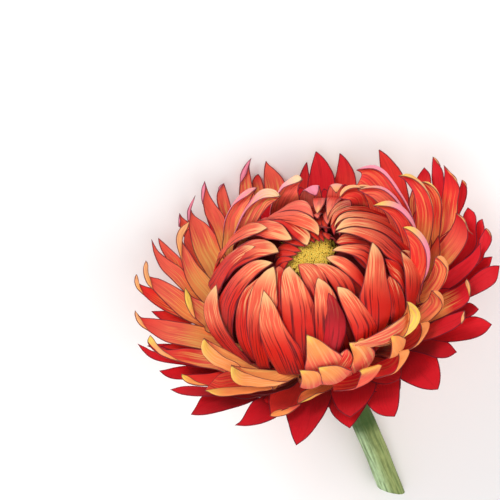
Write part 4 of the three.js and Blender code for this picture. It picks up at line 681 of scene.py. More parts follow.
# Curled bracts by three rails each, in mm in the head frame.
FOLDED = [
    ('L3', 'C1', 'fold', ('FEE', 'HHH'), 0.80,
     [(-10.85, 13.93, 3.00), (-9.73, 15.01, 5.27), (-8.43, 15.48, 8.17), (-7.31, 16.08, 10.12), (-6.41, 16.76, 10.92), (-5.51, 17.81, 11.27), (-4.69, 18.74, 11.37), (-4.04, 19.51, 11.30)],
     [(-13.75, 14.42, 3.00), (-12.69, 15.83, 5.50), (-11.40, 16.96, 8.50), (-9.65, 17.75, 10.50), (-8.13, 18.65, 11.30), (-6.77, 19.30, 11.60), (-5.35, 19.69, 11.60), (-4.04, 19.51, 11.30)],
     [(-13.71, 14.40, 3.01), (-12.64, 15.64, 5.70), (-11.27, 16.58, 8.89), (-9.45, 17.21, 11.03), (-7.64, 17.41, 11.87), (-6.04, 17.67, 12.13), (-4.91, 18.41, 11.98), (-4.04, 19.51, 11.30)]),
    ('L4', 'C2', 'fold', ('FEE', 'HHW'), 0.80,
     [(-9.71, 13.10, 4.00), (-8.58, 13.94, 4.78), (-7.45, 14.26, 6.19), (-5.81, 13.81, 9.13), (-4.51, 13.99, 10.62), (-3.32, 14.11, 11.63), (-2.25, 14.35, 11.99), (-1.40, 14.64, 12.08), (-0.52, 15.21, 12.00)],
     [(-13.35, 13.66, 4.00), (-12.00, 14.47, 5.00), (-10.64, 14.86, 6.50), (-8.16, 16.23, 9.50), (-6.13, 17.07, 11.00), (-4.20, 17.88, 12.00), (-2.64, 17.83, 12.30), (-1.18, 16.84, 12.30), (-0.52, 15.21, 12.00)],
     [(-13.32, 13.64, 4.01), (-11.94, 14.29, 5.18), (-10.51, 14.50, 6.86), (-7.86, 15.45, 10.05), (-5.92, 15.71, 11.58), (-3.99, 15.50, 12.61), (-2.70, 15.05, 12.86), (-1.44, 14.78, 12.70), (-0.52, 15.21, 12.00)]),
    ('T63', 'C2', 'fold', ('EEE', 'HHW'), 0.20,
     [(1.88, 15.60, 4.00), (2.27, 15.66, 5.78), (2.49, 15.70, 7.69), (2.59, 15.59, 9.23), (2.65, 15.73, 10.22), (2.70, 16.18, 10.83), (2.98, 16.54, 11.29), (3.43, 16.97, 11.58), (4.19, 17.66, 11.70)],
     [(-3.93, 16.58, 4.00), (-3.37, 17.13, 6.00), (-2.76, 17.17, 8.00), (-1.80, 17.39, 9.60), (-0.78, 17.60, 10.60), (0.29, 18.37, 11.20), (1.60, 18.72, 11.60), (3.44, 19.13, 11.80), (4.19, 17.66, 11.70)],
     [(-3.85, 16.53, 4.02), (-3.20, 16.86, 6.23), (-2.50, 16.74, 8.38), (-1.49, 16.86, 10.08), (-0.50, 16.82, 11.17), (0.40, 17.07, 11.80), (1.75, 16.93, 12.15), (3.15, 16.91, 12.20), (4.19, 17.66, 11.70)]),
    # painted light: these flaps use the pale tone R to look lit though they sit in shade
    ('T64', 'C2', 'flap', ('RRE', 'HHH'), 0.12,
     [(1.36, 16.46, 5.00), (1.97, 16.40, 8.00), (3.55, 16.01, 10.60), (4.59, 14.63, 10.90), (5.56, 13.72, 10.70)],
     [(3.58, 15.52, 5.00), (4.25, 15.68, 8.00), (5.17, 16.10, 11.00), (5.43, 14.54, 11.40), (5.56, 13.72, 10.70)],
     [(5.81, 14.57, 5.00), (6.47, 14.73, 8.00), (6.65, 15.68, 10.90), (6.25, 14.36, 11.20), (5.56, 13.72, 10.70)]),
    ('T65', 'C2', 'flap', ('RRE', 'HHI'), 0.12,
     [(6.26, 14.87, 5.00), (7.15, 14.77, 8.50), (8.36, 14.45, 11.50), (8.74, 12.97, 11.90), (9.05, 12.18, 11.60)],
     [(7.63, 14.29, 5.00), (8.52, 14.19, 8.50), (9.50, 14.21, 11.80), (9.42, 12.72, 12.30), (9.05, 12.18, 11.60)],
     [(9.17, 13.64, 5.00), (9.95, 13.83, 8.50), (10.80, 13.51, 11.60), (9.99, 12.60, 12.00), (9.05, 12.18, 11.60)]),
    ('T66', 'C2', 'fold', ('EDD', 'HII'), 0.20,
     [(10.31, 11.33, 6.00), (10.82, 10.61, 8.37), (11.04, 9.74, 10.47), (11.04, 9.51, 11.62), (10.66, 9.50, 12.12), (10.26, 9.75, 12.17), (9.85, 10.09, 12.07), (9.38, 10.52, 12.00)],
     [(14.42, 9.59, 6.00), (14.86, 9.93, 8.60), (14.90, 10.54, 10.80), (14.04, 11.38, 12.00), (12.44, 12.13, 12.50), (10.96, 12.27, 12.50), (9.91, 11.64, 12.30), (9.38, 10.52, 12.00)],
     [(14.38, 9.61, 5.99), (14.79, 9.71, 8.81), (14.72, 10.11, 11.16), (13.72, 10.53, 12.56), (12.25, 10.85, 13.11), (11.10, 10.84, 13.07), (10.19, 10.59, 12.71), (9.38, 10.52, 12.00)]),
    ('T66b', 'C2', 'fold', ('EDD', 'HII'), 0.20,
     [(13.40, 8.87, 5.60), (13.79, 9.04, 8.15), (13.89, 9.38, 10.05), (13.71, 9.79, 11.42), (13.42, 10.45, 11.95), (13.04, 11.06, 12.15), (12.67, 11.71, 12.30)],
     [(16.48, 7.57, 5.60), (16.92, 8.49, 8.40), (16.79, 9.33, 10.40), (16.15, 10.16, 11.80), (14.98, 11.10, 12.30), (13.81, 11.64, 12.40), (12.67, 11.71, 12.30)],
     [(16.45, 7.59, 5.59), (16.82, 8.27, 8.62), (16.61, 8.89, 10.78), (15.84, 9.38, 12.35), (14.72, 10.14, 12.86), (13.69, 10.81, 12.82), (12.67, 11.71, 12.30)]),
    ('T58', 'C2', 'fold', ('EED', 'HHI'), 0.20,
     [(16.16, 4.18, 4.50), (16.49, 5.10, 6.77), (16.36, 5.61, 9.17), (15.83, 6.33, 11.22), (15.20, 7.32, 12.42), (14.39, 8.28, 12.87), (13.53, 9.30, 12.97), (12.83, 10.24, 13.00)],
     [(19.64, 2.21, 4.50), (20.03, 3.16, 7.00), (19.89, 4.33, 9.50), (19.19, 6.57, 11.60), (18.00, 8.41, 12.80), (16.49, 9.58, 13.20), (14.55, 10.15, 13.20), (12.83, 10.24, 13.00)],
     [(19.63, 2.22, 4.49), (19.91, 2.85, 7.28), (19.52, 3.97, 9.93), (18.71, 5.86, 12.13), (17.55, 7.51, 13.37), (16.12, 8.60, 13.74), (14.45, 9.43, 13.58), (12.83, 10.24, 13.00)]),
    ('T7b', 'C1', 'fold', ('EDD', 'HHH'), 0.20,
     [(14.78, 8.15, 4.00), (14.08, 9.49, 6.28), (13.09, 10.36, 8.69), (12.51, 11.29, 10.23), (12.56, 12.34, 11.02), (13.40, 13.28, 11.23), (14.25, 14.52, 11.09), (14.47, 15.59, 10.88), (13.79, 16.52, 11.00)],
     [(20.44, 2.79, 4.00), (20.82, 4.48, 6.50), (20.62, 6.91, 9.00), (20.03, 9.27, 10.60), (19.33, 11.86, 11.40), (18.57, 13.99, 11.60), (17.30, 15.88, 11.40), (15.72, 16.61, 11.10), (13.79, 16.52, 11.00)],
     [(20.42, 2.80, 3.99), (20.69, 4.41, 6.65), (20.26, 6.50, 9.38), (19.52, 8.62, 11.11), (18.78, 11.03, 11.96), (17.91, 13.14, 12.15), (16.77, 14.65, 11.96), (15.35, 15.68, 11.51), (13.79, 16.52, 11.00)]),
    ('T59', 'C2', 'fold', ('EDD', 'HHG'), 0.20,
     [(17.22, -0.29, 4.00), (17.60, 0.11, 6.27), (17.64, 0.13, 9.17), (17.51, 0.76, 11.42), (17.10, 1.90, 12.62), (16.41, 3.14, 13.27), (15.55, 4.07, 13.47), (14.52, 5.31, 13.40)],
     [(20.01, -1.97, 4.00), (20.51, -1.32, 6.50), (20.71, 0.03, 9.50), (20.47, 1.66, 11.80), (19.60, 3.24, 13.00), (18.34, 4.51, 13.60), (16.84, 5.24, 13.70), (14.52, 5.31, 13.40)],
     [(19.96, -1.94, 3.99), (20.32, -1.64, 6.80), (20.26, -0.36, 9.96), (19.63, 0.85, 12.36), (18.69, 2.14, 13.60), (17.46, 3.10, 14.15), (16.09, 3.97, 14.08), (14.52, 5.31, 13.40)]),
    ('T60', 'C1', 'fold', ('EDD', 'HHG'), 0.20,
     [(15.28, -7.59, 2.50), (16.28, -6.37, 4.07), (17.01, -5.73, 5.88), (17.74, -5.24, 7.87), (18.29, -4.65, 9.83), (18.62, -3.78, 11.27), (18.61, -3.14, 12.28), (18.55, -2.29, 12.77), (18.37, -1.38, 13.10)],
     [(17.45, -9.50, 2.50), (18.51, -8.42, 4.50), (19.98, -8.00, 6.50), (21.16, -7.30, 8.60), (21.80, -5.80, 10.60), (21.57, -4.16, 12.00), (20.77, -2.60, 12.90), (19.71, -1.79, 13.20), (18.37, -1.38, 13.10)],
     [(17.43, -9.49, 2.49), (18.44, -8.55, 4.70), (19.64, -8.09, 6.87), (20.52, -7.44, 9.09), (20.90, -6.51, 11.16), (20.59, -5.16, 12.56), (19.95, -4.06, 13.42), (19.25, -2.88, 13.55), (18.37, -1.38, 13.10)]),
    ('T61', 'C1', 'fold', ('FDC', 'DIG'), 0.45,
     [(19.09, 2.49, 1.50), (19.76, 3.60, 3.37), (20.59, 4.53, 5.37), (21.43, 5.60, 7.20), (22.04, 6.73, 8.79), (22.26, 8.08, 10.00), (21.96, 9.56, 10.46), (21.44, 11.18, 10.55), (20.64, 12.49, 10.57)],
     [(21.37, 1.03, 1.50), (22.89, 2.34, 3.59), (24.01, 3.56, 5.68), (24.70, 4.89, 7.57), (24.92, 6.42, 9.17), (24.58, 8.52, 10.37), (23.62, 10.64, 10.77), (22.47, 12.09, 10.77), (20.64, 12.49, 10.57)],
     [(21.36, 1.05, 1.49), (22.87, 2.26, 3.69), (23.98, 3.45, 5.84), (24.63, 4.72, 7.79), (24.75, 6.07, 9.51), (24.25, 7.81, 10.85), (23.28, 9.62, 11.29), (22.14, 11.06, 11.18), (20.64, 12.49, 10.57)]),
    ('T62', 'C1', 'fold', ('FDC', 'EIG'), 0.45,
     [(20.85, 3.57, 0.50), (21.63, 5.28, 2.20), (22.35, 6.55, 4.13), (23.05, 7.48, 5.91), (23.63, 8.28, 7.31), (23.94, 9.00, 8.36), (24.13, 9.82, 8.76), (24.15, 10.93, 8.89)],
     [(23.13, 2.11, 0.50), (24.71, 3.78, 2.43), (25.80, 5.31, 4.46), (26.55, 6.42, 6.29), (26.67, 7.41, 7.69), (26.33, 8.82, 8.69), (25.52, 10.27, 8.99), (24.15, 10.93, 8.89)],
     [(23.13, 2.13, 0.49), (24.69, 3.69, 2.55), (25.77, 5.18, 4.63), (26.49, 6.22, 6.53), (26.53, 7.10, 8.01), (26.07, 8.32, 9.05), (25.25, 9.51, 9.38), (24.15, 10.93, 8.89)]),
    ('R21', 'C1', 'fold', ('FED', 'EFF'), 0.70,
     [(16.35, -5.80, 1.00), (18.17, -5.98, 1.77), (19.70, -6.58, 3.47), (20.63, -6.79, 5.02), (21.25, -7.17, 6.62), (21.65, -7.39, 7.87), (22.04, -7.16, 8.57), (22.29, -6.80, 8.90)],
     [(16.89, -9.73, 1.00), (19.22, -10.32, 2.00), (21.60, -9.88, 3.80), (22.95, -9.58, 5.40), (23.90, -8.85, 7.00), (23.99, -7.75, 8.20), (23.40, -6.82, 8.80), (22.29, -6.80, 8.90)],
     [(16.89, -9.73, 1.00), (19.20, -10.40, 2.12), (21.55, -10.01, 4.01), (22.75, -9.80, 5.71), (23.51, -9.28, 7.44), (23.23, -8.80, 8.73), (22.84, -8.01, 9.17), (22.29, -6.80, 8.90)]),
    ('R22', 'C1', 'fold', ('FED', 'EFF'), 0.60,
     [(14.51, -10.52, 0.50), (16.61, -10.40, 1.35), (17.99, -11.01, 2.85), (18.67, -11.71, 4.22), (19.10, -12.51, 5.85), (19.44, -13.17, 7.35), (19.77, -13.29, 8.20)],
     [(14.36, -14.90, 0.50), (17.48, -14.68, 1.60), (19.69, -14.74, 3.20), (20.85, -14.68, 4.60), (21.38, -14.27, 6.20), (20.96, -13.59, 7.60), (19.77, -13.29, 8.20)],
     [(14.36, -14.84, 0.45), (17.46, -14.74, 1.72), (19.65, -14.85, 3.40), (20.68, -14.95, 5.01), (20.74, -14.87, 6.70), (20.32, -14.68, 7.95), (19.77, -13.29, 8.20)]),
    ('L27', 'C1', 'fold', ('FFE', 'FFG'), 0.70,
     [(-13.41, -13.76, 2.00), (-14.84, -12.25, 2.38), (-15.93, -11.14, 3.09), (-17.14, -10.11, 4.23), (-18.40, -9.33, 5.42), (-19.69, -8.61, 6.53), (-20.61, -8.24, 7.59), (-21.12, -8.40, 8.68), (-21.50, -8.57, 9.60)],
     [(-12.76, -17.25, 2.00), (-14.59, -15.99, 2.60), (-16.20, -14.74, 3.40), (-18.62, -14.11, 4.60), (-20.43, -13.24, 5.80), (-21.82, -12.16, 6.90), (-22.52, -11.02, 7.90), (-22.39, -9.82, 8.90), (-21.50, -8.57, 9.60)],
     [(-12.65, -16.80, 2.00), (-14.48, -15.79, 2.90), (-16.03, -14.81, 3.84), (-17.24, -12.78, 5.11), (-18.99, -11.70, 6.34), (-20.37, -9.80, 7.41), (-21.02, -9.01, 8.34), (-21.29, -8.93, 9.20), (-21.50, -8.57, 9.60)]),
    ('L28', 'C1', 'fold', ('FFE', 'FFG'), 0.70,
     [(-7.65, -15.95, 1.40), (-9.65, -15.35, 1.98), (-11.50, -14.69, 2.29), (-13.33, -14.13, 2.83), (-14.98, -13.84, 3.62), (-16.29, -13.89, 4.63), (-17.26, -14.28, 5.89), (-17.93, -14.84, 7.18), (-18.27, -15.39, 8.30)],
     [(-7.81, -17.36, 1.40), (-9.55, -18.16, 2.20), (-12.02, -18.56, 2.60), (-14.30, -18.34, 3.20), (-16.32, -18.03, 4.00), (-17.95, -17.81, 5.00), (-18.94, -17.17, 6.20), (-18.77, -16.27, 7.40), (-18.27, -15.39, 8.30)],
     [(-7.78, -17.25, 1.40), (-9.51, -18.26, 2.50), (-11.57, -17.88, 3.04), (-13.82, -16.83, 3.71), (-15.66, -15.80, 4.54), (-16.70, -15.51, 5.51), (-17.49, -15.43, 6.64), (-17.97, -15.58, 7.70), (-18.27, -15.39, 8.30)]),
    ('F1', 'C2', 'hook', ('DDE', 'EFG'), 0.50,
     [(-6.09, -19.89, 6.33), (-5.19, -19.31, 8.28), (-4.49, -18.56, 10.57), (-3.84, -17.07, 11.90)],
     [(-2.41, -21.36, 6.67), (-2.77, -20.72, 8.73), (-3.30, -19.63, 11.23), (-3.84, -17.07, 11.90)],
     [(0.97, -20.78, 7.65), (-0.37, -19.90, 9.28), (-1.88, -18.61, 10.91), (-3.84, -17.07, 11.90)]),
    ('F2', 'C1', 'hook', ('DDE', 'EFG'), 0.30,
     [(-7.89, -21.39, 3.74), (-7.13, -21.55, 6.05), (-7.06, -20.41, 7.10)],
     [(-6.06, -22.29, 3.44), (-5.87, -22.34, 6.20), (-7.06, -20.41, 7.10)],
     [(-3.82, -22.68, 4.39), (-3.86, -22.47, 7.40), (-7.06, -20.41, 7.10)]),
    ('F3', 'C1', 'hook', ('DDE', 'EFG'), 0.30,
     [(-3.86, -22.67, 4.02), (-3.88, -22.57, 6.50), (-3.77, -21.47, 7.55)],
     [(-1.11, -23.27, 3.88), (-1.94, -23.12, 6.47), (-3.77, -21.47, 7.55)],
     [(1.70, -22.94, 5.59), (-0.42, -22.70, 7.84), (-3.77, -21.47, 7.55)]),
    ('F4', 'C2', 'hook', ('FDE', 'EFG'), 0.80,
     [(1.59, -21.24, 3.97), (2.79, -20.71, 5.91), (2.85, -19.49, 8.99)],
     [(4.42, -21.45, 4.64), (4.07, -21.11, 7.51), (2.85, -19.49, 8.99)],
     [(6.73, -19.89, 5.24), (5.29, -19.70, 8.07), (2.85, -19.49, 8.99)]),
    ('F13', 'C2', 'hook', ('EDD', 'EDE'), 0.90,
     [(-2.01, -21.00, 6.34), (-1.73, -20.93, 6.69), (1.16, -20.37, 8.09), (2.29, -19.87, 7.95)],
     [(-0.18, -21.50, 4.83), (0.44, -21.30, 5.74), (1.99, -20.80, 7.17), (2.35, -19.96, 7.89)],
     [(1.84, -21.12, 3.20), (2.14, -20.99, 3.93), (2.78, -20.41, 5.56), (2.44, -19.85, 7.65)]),
    ('F12', 'C2', 'hook', ('EDD', 'EEF'), 1.00,
     [(3.37, -20.12, 8.44), (6.19, -19.86, 8.92), (10.02, -18.46, 8.40), (13.14, -15.86, 6.67), (14.76, -13.50, 4.80)],
     [(4.14, -20.38, 8.81), (6.33, -20.34, 8.38), (9.97, -19.05, 7.07), (13.27, -16.41, 5.20), (14.75, -13.81, 4.29)],
     [(4.81, -20.03, 6.14), (7.48, -19.84, 6.03), (9.93, -18.96, 4.93), (13.61, -16.12, 3.80), (14.73, -13.82, 3.43)]),
    ('F5', 'C1', 'hook', ('EFE', 'FFG'), 0.40,
     [(8.88, -20.67, 2.85), (9.90, -20.09, 4.82), (10.26, -18.55, 6.24)],
     [(11.14, -20.01, 2.48), (10.98, -20.21, 5.14), (10.26, -18.55, 6.24)],
     [(12.74, -18.66, 4.03), (11.81, -18.68, 5.47), (10.26, -18.55, 6.24)]),
    ('F6', 'C1', 'fold', ('FFF', 'FGG'), 1.00,
     [(4.56, -18.52, 7.70), (7.06, -16.78, 5.83), (9.93, -14.74, 4.45), (12.15, -14.02, 4.25), (13.37, -13.73, 4.31), (13.99, -13.47, 4.71), (14.36, -13.51, 5.60), (14.61, -14.34, 7.36), (14.77, -15.20, 9.17), (14.83, -15.98, 10.81)],
     [(4.51, -19.48, 7.70), (6.76, -19.67, 6.00), (9.59, -19.36, 4.69), (12.37, -18.67, 4.53), (14.24, -18.06, 4.61), (15.74, -17.18, 5.02), (16.55, -16.40, 5.88), (16.43, -15.81, 7.59), (15.81, -15.72, 9.33), (14.83, -15.98, 10.81)],
     [(4.57, -19.26, 7.70), (6.81, -19.65, 6.24), (9.64, -19.43, 5.04), (12.34, -18.77, 4.95), (13.50, -17.63, 5.07), (14.23, -16.55, 5.47), (14.71, -15.73, 6.31), (14.83, -15.67, 7.95), (14.90, -16.03, 9.58), (14.83, -15.98, 10.81)]),
    ('F7', 'C1', 'fold', ('DDD', 'EFF'), 0.12,
     [(9.93, -15.88, 0.37), (11.29, -16.11, 0.84), (12.77, -15.39, 0.71), (13.90, -14.94, 1.07), (14.67, -14.99, 1.62), (15.23, -15.18, 2.28), (15.57, -15.41, 2.85), (15.98, -16.54, 4.33)],
     [(10.29, -18.99, 0.37), (12.11, -19.08, 1.03), (13.70, -18.72, 0.98), (15.28, -18.25, 1.37), (16.81, -17.13, 1.92), (17.54, -16.24, 2.54), (17.62, -15.70, 3.03), (15.98, -16.54, 4.33)],
     [(10.35, -18.77, 0.37), (12.16, -19.05, 1.26), (13.68, -18.70, 1.31), (15.03, -17.84, 1.75), (15.82, -16.78, 2.30), (16.01, -16.36, 2.87), (16.03, -16.20, 3.26), (15.98, -16.54, 4.33)]),
    ('F8', 'C1', 'fold', ('DCC', 'EFF'), 0.12,
     [(5.40, -18.14, -0.52), (6.73, -17.86, -0.80), (7.90, -17.70, -0.85), (8.89, -18.12, -0.11), (9.60, -18.96, 1.12), (10.11, -19.63, 2.10), (10.43, -19.75, 2.38), (10.70, -20.36, 3.26)],
     [(5.36, -21.34, -0.52), (7.15, -21.65, -0.62), (8.86, -21.66, -0.59), (10.44, -21.50, 0.19), (11.80, -21.01, 1.42), (12.73, -20.34, 2.36), (12.59, -19.96, 2.57), (10.70, -20.36, 3.26)],
     [(5.41, -21.11, -0.52), (7.21, -21.62, -0.38), (8.87, -21.65, -0.26), (10.04, -20.91, 0.57), (10.52, -20.54, 1.80), (10.64, -20.60, 2.69), (10.66, -20.32, 2.80), (10.70, -20.36, 3.26)]),
    ('F9', 'C1', 'fold', ('CBB', 'EEG'), 0.15,
     [(-1.88, -19.47, 0.61), (-0.35, -19.44, 0.69), (0.99, -19.60, 0.94), (2.10, -20.33, 1.69), (2.84, -21.32, 2.79), (3.32, -22.41, 4.14), (3.20, -22.48, 4.29), (2.94, -23.01, 4.84)],
     [(-2.21, -22.29, 0.61), (-0.30, -23.20, 0.88), (1.53, -23.75, 1.20), (3.76, -24.01, 1.99), (5.81, -23.70, 3.09), (7.33, -22.85, 4.40), (5.43, -22.97, 4.47), (2.94, -23.01, 4.84)],
     [(-2.15, -22.07, 0.61), (-0.24, -23.17, 1.11), (1.52, -23.66, 1.53), (2.46, -23.03, 2.37), (2.84, -23.25, 3.47), (3.15, -23.82, 4.73), (3.09, -23.28, 4.71), (2.94, -23.01, 4.84)]),
    ('L25', 'S3', 'fold', ('DDD', 'FFG'), 0.20,
     [(-11.61, -10.96, -4.69), (-13.76, -9.94, -4.19), (-15.67, -9.17, -3.60), (-17.55, -8.13, -2.98), (-19.31, -7.93, -2.23), (-21.02, -8.83, -1.32), (-22.65, -10.93, -0.12), (-24.28, -13.58, 1.40)],
     [(-10.19, -13.37, -4.20), (-12.68, -14.40, -3.11), (-15.11, -14.66, -2.27), (-17.43, -14.94, -1.44), (-20.09, -15.18, -0.27), (-22.00, -15.44, 0.77), (-23.21, -14.55, 1.19), (-24.28, -13.78, 1.63)],
     [(-10.20, -13.21, -4.19), (-12.57, -13.66, -3.10), (-14.79, -13.34, -2.36), (-17.02, -13.08, -1.64), (-19.28, -12.99, -0.79), (-21.07, -13.05, 0.00), (-22.67, -13.34, 0.80), (-24.28, -13.78, 1.63)]),
]

